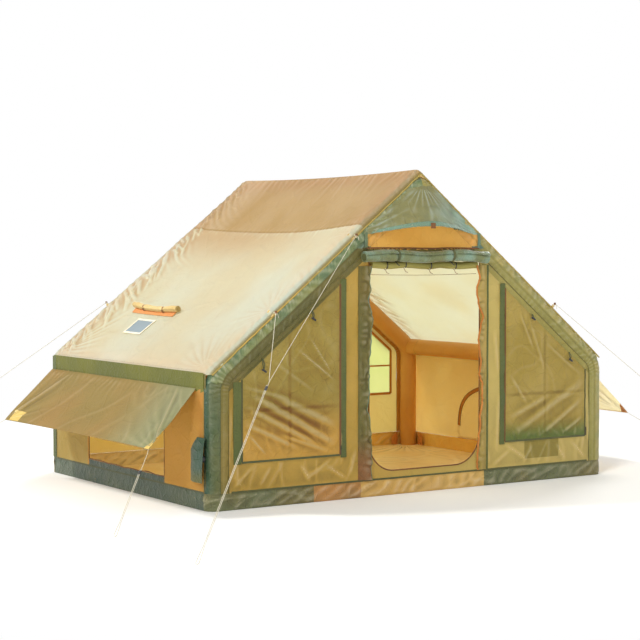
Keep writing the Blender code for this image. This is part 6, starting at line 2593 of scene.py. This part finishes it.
    def build_rolls(self) -> None:
        """The door rolled outside the gable and its net rolled inside the opening."""
        t = np.linspace(-1, 1, 150)
        ties = (-0.48, 0.42)
        pinch = sum(bell(t, k, 0.03) for k in ties)
        droop = 0.012 * bell(t, -0.05, 0.3) + 0.016 * limit((t - 0.55) / 0.45) ** 1.5
        radius = (
            0.0400 * (1 - 0.24 * pinch + 0.06 * noise(t * 5, t * 0, 2))
            * (1 - 0.08 * limit((-t - 0.5) / 0.5))
        )
        x = PLAN.shift - 0.020 + 0.472 * t
        y = self.face - 0.004 - 0.0385 + 0.002 * noise(t * 4, t * 0, 5)
        droop = droop + 0.008 * limit((-t - 0.7) / 0.3)
        path = vectors(x, y, 1.466 - droop + 0.004 * pinch)
        parts = [spiral_roll("roll", path, radius, ROLL, 3.2, 0.4, 0.0030)]
        core = np.array([path[0] - X * 0.0012, path[0] + X * 0.010])
        parts.append(tube("core", core, 0.022, BINDING, 16))
        for k in ties:
            parts.append(tie(path, radius, (k + 1) / 2, X * 0.009, BINDING, 0.001, 22))
            spot = path[int((k + 1) / 2 * (len(path) - 1))]
            hook = [
                spot - Z * 0.03 + Y * 0.02, spot - Z * 0.052 - Y * 0.004,
                spot - Z * 0.062 + X * 0.02
            ]
            parts.append(tube("toggle", rounded(hook, 0.01, 0.004), 0.0028, BLACK, 6))
        made = joined("door_roll_cloth", parts)
        settle(made, "green_cloth", ["door_roll"])
        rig.padded(made, fill=0.6)
        ties = (-0.72, -0.38, 0.10, 0.58)
        pinch = sum(bell(t, k, 0.02) for k in ties)
        radius = 0.0275 * (1 + 0.08 * noise(t * 7, t * 0, 3) - 0.16 * pinch)
        x = PLAN.shift + 0.408 * t
        sag = 0.008 * np.sin(pi * (t + 1) * 1.5) ** 2 + 0.004 * t
        path = vectors(x, self.face + 0.010, 1.413 - sag)
        parts = [spiral_roll("roll", path, radius, OLIVE, 3.0, 1.2, 0.0022)]
        for k in ties:
            parts.append(tie(path, radius, (k + 1) / 2, X * 0.003, BLACK, 0.002, 18))
            spot = path[int((k + 1) / 2 * (len(path) - 1))]
            loop = [spot - Z * 0.026, spot - Z * 0.046 + X * 0.010, spot - Z * 0.052 + X * 0.028]
            parts.append(tube("loop", rounded(loop, 0.006, 0.004), 0.0016, BROWN, 6))
        made = joined("door_net_roll_cloth", parts)
        settle(made, "net_cloth", ["door_net_roll"])
        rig.padded(made, fill=0.5)
        line = vectors(np.linspace(-0.40, 0.44, 60), self.face + 0.020, 1.352)
        line[:, 2] -= 0.006 * np.sin(np.linspace(0, pi, 60))
        settle(tube("header_line", line, 0.0016, BROWN, 6), "green_cloth")


@dataclass
class RearGable:
    """The closed rear gable with its net windows and rolled covers."""

    sill: float = 0.40
    bar: float = 0.615

    def build(self) -> None:
        """Make the wall, the windows and the rolls."""
        edge = PLAN.post_x - PLAN.band_edge - PLAN.gap
        inner, outer = PLAN.window_inner, PLAN.window_outer
        marks = [-edge, -outer, -inner, 0.0, inner, outer, edge]
        x = wall_columns(marks, 0.014)
        foot = PLAN.mud_wall + PLAN.gap
        z = wall_rows(x, (foot, self.sill, PLAN.head, PLAN.seam), (22, 56, 5))
        u = np.broadcast_to(x, z.shape)
        calm = between(z, foot, PLAN.seam(u), 0.04)
        window = (np.abs(u) > inner - 0.03) & (np.abs(u) < outer + 0.03) & (z > self.sill - 0.03)
        push = crumpled(u, z, 0.4, 0.005, 0.004, 181) * calm * np.where(window, 0.15, 1.0)
        points = vectors(u, PLAN.depth / 2 - PLAN.cloth / 2 + push, z)
        cx = np.abs((x[:-1] + x[1:]) / 2)
        rows = np.zeros(len(z) - 1, bool)
        rows[22:78] = True
        keep = ~(rows[:, None] & ((cx > inner) & (cx < outer))[None])
        patch = Patch(points[:, ::-1], vectors(u, z)[:, ::-1])
        made = patch.sheet("rear_wall_cloth", [KHAKI, KHAKI_IN], keep=keep[:, ::-1])
        settle(made, "khaki_cloth", ["rear_wall"])
        area = (
            patch.cut()[2]
            - 2 * (outer - inner) * (
                float(np.mean(PLAN.head(np.array([inner, outer])))) - self.sill
            )
        )
        declare(made, patch, "stretched", ["rear_arch_cover_cloth", "mud_wall_rear_cloth"], area)
        for hand, word in HANDS:
            Window(hand, REAR, self.sill, self.bar).build(
                f"rear_net_{word}", PLAN.depth / 2 - 0.0019
            )
            self.build_roll(hand, word)
            self.build_binding(hand, word)

    def build_binding(self, hand: int, word: str) -> None:
        """The brown tape round a window, inside and out."""
        inner, outer = hand * PLAN.window_inner, hand * PLAN.window_outer
        corners = [
            (inner, self.sill), (outer, self.sill), (outer, float(PLAN.head(outer))),
            (inner, float(PLAN.head(inner)))
        ]
        parts = []
        for (xa, za), (xb, zb) in zip(corners, corners[1:] + corners[:1]):
            t = np.linspace(0, 1, 30)[:, None]
            for y in (PLAN.depth / 2 - 0.0042, PLAN.depth / 2 + 0.0008):
                line = np.array([[xa, y, za]]) + np.array([[xb - xa, 0, zb - za]]) * t
                across = unit(np.array([-(zb - za), 0, xb - xa])) * 0.009
                parts.append(
                    band("edge", line, across, TAPE if y < PLAN.depth / 2 else BROWN, 0.0012)
                )
        settle(joined(f"rear_window_binding_{word}", parts), "khaki_cloth")

    def build_roll(self, hand: int, word: str) -> None:
        """A window cover rolled up under the rafter and tied."""
        t = np.linspace(0, 1, 60)
        x = hand * (PLAN.window_inner + (PLAN.window_outer - PLAN.window_inner) * t)
        up = np.array([hand * sin(PLAN.slope), 0, cos(PLAN.slope)])
        pinch = bell(t, 0.3, 0.03) + bell(t, 0.7, 0.03)
        radius = 0.0175 * (1 - 0.15 * pinch + 0.04 * noise(t * 8, t * 0, 6))
        line = vectors(x, PLAN.depth / 2 + 0.019, PLAN.head(x)) + up * 0.009
        parts = [spiral_roll("roll", line, radius, FLAP, 2.6)]
        axis = unit(line[-1] - line[0])
        for share in (0.3, 0.7):
            parts.append(tie(line, radius, share, axis * 0.006, BINDING, 0.001, 18))
        made = joined(f"rear_window_roll_{word}_cloth", parts)
        settle(made, "khaki_cloth", [f"rear_window_roll_{word}"])
        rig.padded(made, fill=0.6)


# Sides


@dataclass
class Sides:
    """The low side walls: the left one open, the right one closed by its arched door."""

    front: float = -0.54
    rear: float = 0.49
    sill: float = 0.147
    top: float = 0.62
    corner: float = 0.10
    low: float = PLAN.mud_wall + PLAN.gap
    high: float = PLAN.eave - PLAN.cloth / cos(PLAN.slope) - 0.0016
    reach: float = PLAN.arch_y - PLAN.gap - 0.001
    band_z: float = 0.752
    calm_z: float = 0.69
    door_top: float = 0.52
    door_half: float = 0.47

    def build(self) -> None:
        """Make both walls and the arched door."""
        self.build_open_wall()
        self.build_closed_wall()

    def outline(self) -> Array:
        """The opening's edge as y and z, from its front foot round to the start."""
        r = self.corner
        points = [(self.front, self.sill), (self.rear, self.sill)]
        points += [
            (self.rear - r + r * cos(a), self.top - r + r * sin(a))
            for a in np.linspace(0, pi / 2, 9)
        ]
        points += [
            (self.front + r + r * cos(a), self.top - r + r * sin(a))
            for a in np.linspace(pi / 2, pi, 9)
        ]
        return resample(np.array(points + points[:1]), 0.012)[:-1]

    def build_open_wall(self) -> None:
        """The left wall round its opening, with a bound and slightly slack edge."""
        low, high, reach = self.low, self.high, self.reach
        edge = self.outline()
        centre = np.array([(self.front + self.rear) / 2, (self.sill + self.top) / 2])
        ray = edge - centre
        never = 99.0  # The scale of an upright ray, which meets neither side edge
        scale_y = np.where(
            np.abs(ray[:, 0]) > 1e-9,
            (np.sign(ray[:, 0]) * reach - centre[0]) / np.where(ray[:, 0] == 0, 1, ray[:, 0]),
            never
        )
        scale_z = np.where(
            ray[:, 1] > 0, (high - centre[1]) / np.maximum(ray[:, 1], 1e-9),
            (low - centre[1]) / np.minimum(ray[:, 1], -1e-9)
        )
        outer = centre + ray * np.minimum(scale_y, scale_z)[:, None]
        corners = np.array([(-reach, low), (reach, low), (reach, high), (-reach, high)])
        for corner in corners:
            outer[np.argmin(np.linalg.norm(outer - corner, axis=1))] = corner
        shares = np.linspace(0, 1, 26)
        grid = ruled(edge, outer, shares)
        y, z = grid[..., 0], grid[..., 1]
        calm = np.sin(pi * shares)[:, None]
        push = crumpled(y, z, 0.25, 0.004, 0.003, 191) * calm
        slack = (
            0.006 * (1 - shares[:, None]) * noise(np.arange(len(edge)) / 9.0, shares[:, None], 193)
        )
        push = push * limit((self.calm_z - z) / 0.03)
        points = vectors(-(PLAN.width / 2 - PLAN.cloth / 2) - push * 0.8, y, z + slack)
        patch = Patch(points, grid, ring=True).facing_out()
        made = patch.sheet("side_wall_left_cloth", [SIDE, KHAKI_IN, WALL_REAR, EAVE, MUD_SIDE])
        recolour(
            made, 4,
            lambda cut, at: (at[2] < self.sill - 0.002) & (at[1] > self.front) & (at[1] < self.rear)
        )
        recolour(made, 3, lambda cut, at: at[2] > self.calm_z)
        recolour(made, 2, lambda cut, at: at[1] > self.rear + 0.02)
        settle(made, "side_cloth", ["side_wall_left"])
        area = 2 * reach * (high - low) - (self.rear - self.front) * (self.top - self.sill)
        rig.sheet(
            made, flat=(2 * reach, high - low), held="stretched", rests_on=["mud_wall_left_cloth"],
            area=area
        )
        rim = patch.points[0]
        settle(tube("side_opening_binding", rim, 0.0035, BROWN, 8, closed=True), "side_cloth")
        y = np.linspace(-reach, reach, 120)
        parts = []
        for end in (FRONT, REAR):
            z = np.linspace(PLAN.mud_wall + 0.01, 0.79, 40)
            half, finish = (0.014, BAND) if end == FRONT else (0.026, GREEN)
            y_line = np.full_like(z, end * (PLAN.arch_y + 0.016 - half))
            line = vectors(-(PLAN.width / 2 - (0.004 if end == FRONT else -0.0022)), y_line, z)
            parts.append(band("edge", line, Y * half, finish, 0.0014))
        for z, half in ((self.band_z, 0.044), (PLAN.mud_wall + 0.004, 0.005)):
            line = vectors(-(PLAN.width / 2 + 0.0012), y, z)
            parts.append(
                band("band", line, Z * half, EAVE if z > 0.5 else BINDING, 0.0014, 0.0008, 5)
            )
        settle(joined("side_bands_left", parts), "green_cloth")

    def build_closed_wall(self) -> None:
        """The right wall, with its arched door inside."""
        low, high, reach = self.low, self.high, self.reach

        def place(u: Array, v: Array) -> Array:
            """A place on the wall, pushed out by its creases."""
            calm = between(v, low, high, 0.04) * limit((reach - np.abs(u)) / 0.05)
            push = np.clip(crumpled(u, v, 0.3, 0.005, 0.003, 201), -0.0005, None) * calm
            push = push * limit((self.calm_z - v) / 0.03)
            return vectors(PLAN.width / 2 - PLAN.cloth / 2 + push, u, v)

        patch = Patch.over(
            np.linspace(-reach, reach, 150), np.linspace(low, high, 50), place
        ).facing_out()
        rise, half = self.door_top - low, self.door_half
        middle = (patch.points[:-1, :-1] + patch.points[1:, 1:]) / 2
        share = limit((middle[..., 2] - low) / (rise - 0.012))
        inside = np.abs(middle[..., 1]) < (half - 0.012) * np.sqrt(limit(1 - share**4))
        # Its lining is the near-white copy, as painted light
        made = patch.sheet(
            "side_wall_right_cloth", [SIDE, LINING_LIT],
            keep=~(inside & (middle[..., 2] > low + 0.02))
        )
        settle(made, "side_cloth", ["side_wall_right"])
        declare(
            made, patch, "stretched", ["mud_wall_right_cloth"],
            patch.cut()[2] - 0.85 * 2 * half * rise
        )
        x = PLAN.width / 2 - PLAN.cloth - PLAN.gap - PLAN.cloth / 2
        a = np.linspace(0, pi, 60)
        arch = vectors(half * np.cos(a), low + rise * np.sqrt(np.sin(a)))
        shares = np.linspace(0, 1, 24)
        y = arch[:, 0][None] * np.ones((24, 1))
        z = low + (arch[:, 1] - low)[None] * shares[:, None]
        keep = np.ones((23, 59), bool)
        keep[:, 0] = keep[:, -1] = False
        push = 0.0006 * noise(y / 0.1, z / 0.1, 4)
        patch = Patch(vectors(x + push, y, z), vectors(y, z)).facing_out()
        # The door's lining is the near-white copy, as painted light
        made = patch.sheet("side_door_cloth", [SIDE, LINING_LIT], 0.0014, keep)
        settle(made, "side_cloth", ["side_door"])
        declare(made, patch, "hung", ["side_wall_right_cloth"])
        line = vectors(x - 0.0022, arch[:, 0], arch[:, 1])[1:-1]
        inner = line * [1, 0.945, 1] - X * 0.001 - Z * 0.024 * np.sqrt(np.sin(a[1:-1]))[:, None]
        grid = ruled(line, inner, np.linspace(0, 1, 5))
        tape = Patch(grid, grid[..., 1:]).sheet("tape", [TAPE], 0.0012)
        rim = [tube("edge", edge - X * 0.001, 0.0022, BROWN, 6) for edge in (line, inner)]
        settle(joined("side_door_binding", [tape, *rim]), "side_cloth")
        y = np.linspace(-reach, reach, 120)
        line = vectors(PLAN.width / 2 + 0.0012, y, self.band_z)
        settle(band("side_band_right", line, Z * 0.037, GREEN, 0.0014, 0.0008, 5), "green_cloth")


@dataclass
class Awning:
    """A side awning on its seam under the eave, pulled out by its two tips."""

    side: int
    word: str
    pivot_height: float = 0.70
    length: float = 0.485
    slope: float = radians(41)
    hem_curve: float = 0.008
    sag: float = 0.022
    fold: float = 0.007
    folds: int = 7
    root: tuple[float, float] = (-0.93, 1.04)

    @property
    def tips(self) -> tuple[float, float]:
        """Where the front and rear tips lie along the eave."""
        return (-1.04 if self.side == LEFT else -0.936), 0.985

    def point(self, a: Array, b: Array, lift: Array | float = 0.0) -> Array:
        """Places on the awning: a from -1 to 1 along the eave, b from the seam to the hem."""
        along = b * (self.length - self.hem_curve * (1 - a * a))
        share = (1 + a) / 2
        root_y = self.root[0] + (self.root[1] - self.root[0]) * share
        y = root_y + (self.tips[0] + (self.tips[1] - self.tips[0]) * share - root_y) * b
        drop = self.sag * np.sin(pi * b) * (1 - a * a)
        for tip in self.tips:
            off_y, off_s = tip - y, self.length - along
            fade = np.maximum(0.0, 1 - np.hypot(off_y, off_s) / self.tips[1]) * b * (1 - b) * 4
            drop = (
                drop
                + self.fold * fade * np.cos(
                    2 * self.folds * np.arctan2(off_s, np.abs(off_y) + PLAN.gap)
                )
            )
        drop = drop - lift
        x = (
            PLAN.width / 2 + PLAN.gap + PLAN.cloth / 2 + along * cos(self.slope)
            - drop * sin(self.slope)
        )
        z = self.pivot_height - along * sin(self.slope) - drop * cos(self.slope)
        return vectors(self.side * x, y, z)

    def build(self) -> None:
        """Make the awning, its hem and its tip patches."""
        a, b = np.meshgrid(np.linspace(-1, 1, 190), np.linspace(0, 1, 56))
        u, v = a * 0.99, b * self.length
        pulls = [
            (self.tips[0], self.length, -45, 88, 7, 0.008, 0.75, 211),
            (self.tips[1], self.length, -135, 88, 7, 0.007, 0.75, 213),
        ]
        lift = fans(u, v, pulls, self.side)
        lift += (
            rumple(u, v, 0.4, 0.003, 215) + puckers(u, v, 0.06, 0.005, 0.12, 217)
            + crisp(u, v, 0.4, 0.003, 218)
        )
        lift += creases(
            u, v,
            [
                (-0.78, 0.0, self.tips[0], self.length, 0.012, 0.008),
                (0.66, 0.0, self.tips[1], self.length, 0.012, 0.008)
            ]
        )
        calm = limit(b / 0.08) * limit((1 - b) / 0.03 + 0.25)
        points = self.point(a, b, lift * calm)
        patch = Patch(points, vectors(u, v), relief=standing(lift * calm, 16, 0.004)).facing_out()
        body = f"awning_{self.word}"
        left = self.side == LEFT
        # The right awning takes the paler copy, as painted light
        finish = AWNING if left else AWNING_SUN
        made = patch.sheet(body + "_cloth", [finish, finish, PATCH], 0.0015)
        recolour(
            made, 2, lambda cut, at: left & (cut[0] > 0.80) & (cut[1] > 0.40) & (cut[0] < 0.94)
        )
        settle(made, "awning_cloth", [body], body)
        declare(made, patch, "stretched", [f"side_wall_{self.word}_cloth"])
        hem = patch.points[-1]
        settle(
            tube(body + "_hem", hem, 0.0026, AWNING if left else PATCH, 8), "awning_cloth", (), body
        )
        self.build_tips(body)

    def build_tips(self, body: str) -> None:
        """Reinforced corners, a patch on each face of each tip."""
        parts = []
        for end in (-1, 1):
            shares = np.linspace(0, 1, 9)
            p, q = np.meshgrid(shares, shares)
            a, b = end * (1 - 0.055 * p), 1 - 0.20 * q * (1 - p * 0.98)
            for lift in (0.0019, -0.0019):
                grid = self.point(a, b, lift)
                cell = Patch(grid, vectors(p * 0.05, q * 0.1))
                normal = cell.normals()[4, 4][2]
                if normal * lift < 0:
                    cell = Patch(grid[:, ::-1], cell.flat[:, ::-1])
                parts.append(cell.sheet("tip", [PATCH if self.side == LEFT else TAPE], 0.001))
        settle(joined(body + "_tips", parts), "awning_cloth", (), body)


# Fittings


@dataclass
class Fittings:
    """The valve, its flap, the zip pulls and the runners."""

    stand: float = 0.034
    ramp: float = 0.55
    flap_rear: float = -0.870
    flap_wide: float = 0.190
    flap_foot: float = 0.165
    flap_head: float = 0.425
    flap_slant: float = 0.080

    def build(self) -> None:
        """Dress the small parts that keep their solids, and make the flap."""
        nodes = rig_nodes()
        black = ("inflation_valve", "valve_cap", "guy_runner_front", "awning_runner")
        for names, finish in ((black, BLACK), (("zip_slider_left", "zip_slider_right"), ZIP)):
            for name in names:
                materials = nodes[name].data.materials
                materials.clear()
                materials.append(finish.material())
        self.build_flap()

    def build_flap(self) -> None:
        """The flap that stands out over the valve."""
        shares = np.linspace(0, 1, 40)
        a, b = np.meshgrid(shares, shares)
        y = self.flap_rear - self.flap_wide * a
        stand = self.stand * np.sin(pi / 2 * np.minimum(1.0, a / self.ramp))
        head = self.flap_head - self.flap_slant * np.maximum(0.0, 1 - a / self.ramp)
        z = self.flap_foot + (head - self.flap_foot) * b
        stand = stand * (1 - 0.55 * b**3) + 0.001 * noise(a * 4, b * 5, 4)
        x = -(PLAN.width / 2 + PLAN.gap + PLAN.cloth / 2 + stand)
        patch = Patch(vectors(x, y, z), vectors(a * 0.2, b * 0.26)).facing_out()
        made = patch.sheet("valve_flap_cloth", [POST, GREEN], 0.0018)
        settle(made, "green_cloth", ["valve_cover"], "valve_cover")
        declare(made, patch, "hung", ["side_wall_left_cloth"])


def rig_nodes() -> dict[str, Object]:
    """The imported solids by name."""
    return {o["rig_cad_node"]: o for o in bpy.data.objects if "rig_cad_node" in o}


# Guy lines


def fixed(x: float, y: float, z: float) -> Array:
    """A place as a dataclass takes it for a default."""
    return field(default_factory=lambda: np.array([x, y, z]))


@dataclass
class GuyLines:
    """The cords that hold the arches and the awnings out."""

    radius: float = 0.0017
    spread: float = 0.0035
    loop_radius: float = 0.0085
    loop_spread: float = 0.12
    corner: float = 0.012
    slider: float = 0.030
    knot: Array = fixed(-1.477, -1.670, 0.790)
    foot: Array = fixed(-2.368, -2.455, 0.004)
    awning_foot: Array = fixed(-2.339, -1.530, 0.004)
    right_end: Array = fixed(1.469, -1.542, 0.651)
    rear_end: Array = fixed(-1.758, 1.542, 0.568)

    def edge(self, x: float, side: int) -> Array:
        """Where a line leaves the piping at the roof's edge."""
        y = side * (PLAN.depth / 2 + PLAN.overhang + PLAN.gap + self.radius)
        return np.array([x, y, float(PLAN.roof(x, PLAN.cloth / 2))])

    def straight(self, start: Array, end: Array, steps: int = 12) -> Array:
        """Points along a taut run."""
        return start + (end - start) * np.linspace(0, 1, steps + 1)[:, None]

    def doubled(self, start: Array, knot: Array, foot: Array, runner: float) -> Array:
        """From the anchor to the knot, down round the stake and back up to the runner."""
        down = unit(foot - knot)
        across = unit(np.cross(down, Z))
        near, wide = across * self.spread, across * self.loop_radius
        corner = knot - near
        before = corner + unit(start - corner) * self.corner
        after = corner + down * self.corner
        t = np.linspace(0, 1, 5)[:, None]
        turn = before * (1 - t) ** 2 + corner * 2 * t * (1 - t) + after * t * t
        flare, bend = foot - down * self.loop_spread, foot - down * self.loop_radius
        tail = knot + down * (runner - self.slider) + near
        stops = [flare - near, bend - wide]
        for angle in (-pi / 4, 0.0, pi / 4):
            stops.append(bend + wide * sin(angle) + down * self.loop_radius * cos(angle))
        stops += [bend + wide, flare + near]
        loop = self.smooth(np.array(stops))
        runs = [
            self.straight(start, before), turn[1:], self.straight(after, flare - near, 20)[1:-1],
            loop
        ]
        return np.concatenate(runs + [self.straight(flare + near, tail, 20)[1:]])

    def smooth(self, stops: Array, steps: int = 5) -> Array:
        """A smooth curve through chosen points."""
        tangents = [
            unit(stops[min(k + 1, len(stops) - 1)] - stops[max(k - 1, 0)])
            for k in range(len(stops))
        ]
        route = []
        for k in range(len(stops) - 1):
            span = float(np.linalg.norm(stops[k + 1] - stops[k]))
            for t in np.arange(steps) / steps:
                lead = (
                    tangents[k] * span * t * (1 - t) ** 2 + tangents[k + 1] * span * t * t * (t - 1)
                )
                route.append(
                    stops[k] * (1 + 2 * t) * (1 - t) ** 2 + stops[k + 1] * t * t * (3 - 2 * t)
                    + lead
                )
        return np.array(route + [stops[-1]])

    def line(
        self,
        name: str,
        route: Array,
        far_end: str,
        with_pieces: Sequence[str] = (),
        body: str = "tent",
        pull: tuple[Array, Array] | None = None,
    ) -> None:
        """One cord, declared with its own length, that a moving awning may pull along.

        Args:
            name: The cord's solid.
            route: The points of its middle.
            far_end: What it ends in.
            with_pieces: What it runs through.
            body: The body that pulls it.
            pull: Where it leaves the tent's motion, and where it has the body's.
        """
        made = tube(name + "_cord", route, self.radius * 0.97, CORD, 8)
        settle(made, "guy_cord", [name], body, pull)
        length = float(np.linalg.norm(np.diff(route, axis=0), axis=1).sum())
        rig.cord(
            made,
            exit=tuple(route[0]),
            length=round(length, 3),
            diameter=2 * self.radius,
            far_end=far_end,
            stiffness="limp",
            lay="taut",
            path=route,
            with_pieces=list(with_pieces),
        )
        log.info("%s: %.3f m", name, length)

    def anchor(self, name: str, x: float, side: int) -> None:
        """The webbing tab, ring and knot that hold a line at the roof's edge."""
        roof = Roof()
        s = (PLAN.width / 2 - abs(x)) / cos(PLAN.slope)
        hand = 1 if x > 0 else -1
        seat = roof.point(hand, np.array(s), np.array(side * (roof.edge + 0.002)), 0.003)
        back = roof.point(hand, np.array(s), np.array(side * (roof.edge - 0.05)), 0.004)
        end = self.edge(x, side)
        along = np.array([hand * -cos(PLAN.slope), 0.0, sin(PLAN.slope)])
        tab = rounded([back, seat, seat + (end - seat) * 0.6], 0.008, 0.004)
        parts = [band("tab", tab, along * 0.010, GOLD, 0.0022)]
        ring = circle_about(seat + (end - seat) * 0.66, along, 0.0095, 18)
        parts.append(tube("ring", ring, 0.0020, CREAM, 8, closed=True))
        turn = np.linspace(0, 4 * pi, 40)
        knot = end[None] + vectors(np.cos(turn), np.sin(turn) * 0.8, np.sin(turn * 1.5)) * 0.0055
        parts.append(tube("knot", knot, 0.0024, BROWN, 6))
        tail = rounded(
            [end, end + X * 0.012 - Z * 0.012, end + X * 0.018 - Z * 0.034], 0.006, 0.003
        )
        parts.append(tube("tail", tail, 0.0016, CORD, 6))
        settle(joined(name + "_anchor", parts), "guy_cord")

    def build(self) -> None:
        """Make every line."""
        for name, x, side in (
            ("front_high", -0.51, FRONT),
            ("front_low", -1.08, FRONT),
            ("right", 1.065, FRONT),
            ("rear", -1.08, REAR),
        ):
            self.anchor(name, x, side)
        high = self.edge(-0.51, FRONT)
        self.line(
            "guy_line_front", self.doubled(high, self.knot, self.foot, 0.065), "fitting",
            ["guy_runner_front"]
        )
        start = self.edge(-1.08, FRONT)
        end = self.knot - unit(self.knot - start) * (self.spread + 2 * self.radius + 2 * PLAN.gap)
        self.line("guy_line_branch", self.straight(start, end), "knot")
        awning = Awning(LEFT, "left")
        tip = awning.point(np.array(-1.0), np.array(1.0))
        reach = self.awning_foot - tip
        down = unit(reach)
        start = tip + down * 0.0008
        knot = start + down * 0.035
        route = self.doubled(start, knot, self.awning_foot, 0.180)
        route = np.concatenate([self.straight(route[0], route[1], 6), route[2:]])
        pull = (tip + down * 0.036, tip + down * 0.004)
        self.line(
            "awning_line_front_left", route, "fitting", ["awning_runner"], "awning_left", pull
        )
        self.line("guy_line_right", self.straight(self.edge(1.065, FRONT), self.right_end), "knot")
        self.line("guy_line_rear", self.straight(self.edge(-1.08, REAR), self.rear_end), "knot")
        for name, side, end, reach, body in (
            ("awning_line_right", RIGHT, -1.0, np.array([0.110, -0.121, -0.094]), "awning_right"),
            ("awning_line_rear", LEFT, 1.0, np.array([-0.068, 0.073, -0.058]), "awning_left"),
        ):
            tip = Awning(side, "x").point(np.array(end), np.array(1.0))
            route = self.straight(tip + unit(reach) * 0.0008, tip + reach)
            self.line(name, route, "knot", body=body, pull=(tip + reach, tip))


# The studio


@dataclass
class Studio:
    """A plain pale floor, soft light, and the camera at the photograph's angle."""

    eye: tuple[float, float, float] = (-6.290, -9.4482, 1.4978)
    heading: float = 0.5844
    pitch: float = -0.0411
    lens: float = 94.99
    sky: float = 0.56
    floor_reach: float = 60.0
    floor_z: float = -0.0008
    fade: tuple[float, float] = (2.6, 5.0)
    lamps: tuple[tuple[str, float, float, tuple[float, float, float]], ...] = (
        ("key", 1.75, 8.0, (-0.55, 0.50, 0.67)),
        ("back", 1.3, 20.0, (0.62, 0.52, 0.58)),
        ("fill", 1.5, 14.0, (-0.70, -0.42, 0.58)),
    )

    def build(self) -> None:
        """Set the camera, the lamps, the world and the floor."""
        scene = bpy.context.scene
        scene.view_settings.view_transform = "Standard"
        lens = bpy.data.cameras.new("camera")
        lens.lens, lens.sensor_width, lens.clip_end = self.lens, 36.0, 200.0
        camera = bpy.data.objects.new("camera", lens)
        camera.location = self.eye
        camera.rotation_euler = (pi / 2 + self.pitch, 0.0, -self.heading)
        scene.collection.objects.link(camera)
        scene.camera = camera
        self.build_world(scene)
        self.build_lamps(scene)
        self.build_floor()

    def build_world(self, scene: bpy.types.Scene) -> None:
        """White behind the object, and an even sky on it."""
        world = bpy.data.worlds.new("studio")
        scene.world = world
        world.use_nodes = True
        wires = Wires(world.node_tree)
        path = wires.add("ShaderNodeLightPath")
        seen = wires.plus(path.outputs["Is Camera Ray"], path.outputs["Is Transmission Ray"], True)
        seen = wires.plus(seen, path.outputs["Is Glossy Ray"], True)
        sky = wires.add(
            "ShaderNodeBackground", {"Color": (1.0, 1.0, 0.99, 1.0), "Strength": self.sky}
        )
        white = wires.add("ShaderNodeBackground", {"Color": (1.0, 1.0, 1.0, 1.0), "Strength": 1.0})
        wires.add("ShaderNodeOutputWorld", {0: wires.layer(seen, sky.outputs[0], white.outputs[0])})

    def build_lamps(self, scene: bpy.types.Scene) -> None:
        """A key behind on the left, one behind on the right, and a fill from the front left."""
        for name, power, angle, source in self.lamps:
            lamp = bpy.data.lights.new(name, "SUN")
            lamp.energy, lamp.angle, lamp.color = power, radians(angle), (1.0, 0.985, 0.95)
            made = bpy.data.objects.new(name, lamp)
            x, y, z = source
            made.rotation_euler = (0.0, atan2(hypot(x, y), z), atan2(y, x))
            scene.collection.objects.link(made)

    def build_floor(self) -> None:
        """A white floor that keeps the shadow and fades into the background."""
        mesh = bpy.data.meshes.new("floor")
        corners = ((-1, -1), (1, -1), (1, 1), (-1, 1))
        points = [(x * self.floor_reach, y * self.floor_reach, self.floor_z) for x, y in corners]
        mesh.from_pydata(points, [], [(0, 1, 2, 3)])
        floor = bpy.data.objects.new("floor", mesh)
        bpy.context.scene.collection.objects.link(floor)
        material = bpy.data.materials.new("studio_floor")
        material.use_nodes = True
        wires = Wires(material.node_tree)
        coords = wires.add("ShaderNodeTexCoord")
        away = (
            wires.add(
                "ShaderNodeVectorMath", {0: coords.outputs["Object"]}, operation="LENGTH"
            ).outputs["Value"]
        )
        far = wires.ramp(away, *self.fade)
        path = wires.add("ShaderNodeLightPath")
        share = wires.times(far, path.outputs["Is Camera Ray"])
        matt = wires.add("ShaderNodeBsdfDiffuse", {"Color": (0.96, 0.96, 0.95, 1.0)})
        glow = wires.add("ShaderNodeEmission", {"Color": (1.0, 1.0, 1.0, 1.0), "Strength": 1.0})
        wires.add(
            "ShaderNodeOutputMaterial", {0: wires.layer(share, matt.outputs[0], glow.outputs[0])}
        )
        mesh.materials.append(material)
        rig.stage(floor)


def main() -> None:
    """Dress the tent, part by part."""
    logging.basicConfig(level=logging.INFO, format="%(message)s")
    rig.load()
    solid_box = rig.bounds()
    Studio().build()
    GuyLines().build()
    for side, word in ENDS:
        arch = Arch(side, word)
        arch.build_sleeves()
        arch.build_bladder()
        arch.build_cover()
    LongBeams().build()
    Floor().build()
    Roof().build()
    Gable().build()
    RearGable().build()
    Sides().build()
    for side, word in HANDS:
        Awning(side, word).build()
    Fittings().build()
    sizes = {"cad": [list(p) for p in solid_box], "visual": [list(p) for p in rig.bounds()]}
    with open(SIZE_FILE, "w", encoding="utf-8") as out:
        json.dump(sizes, out)


if __name__ == "__main__":
    main()
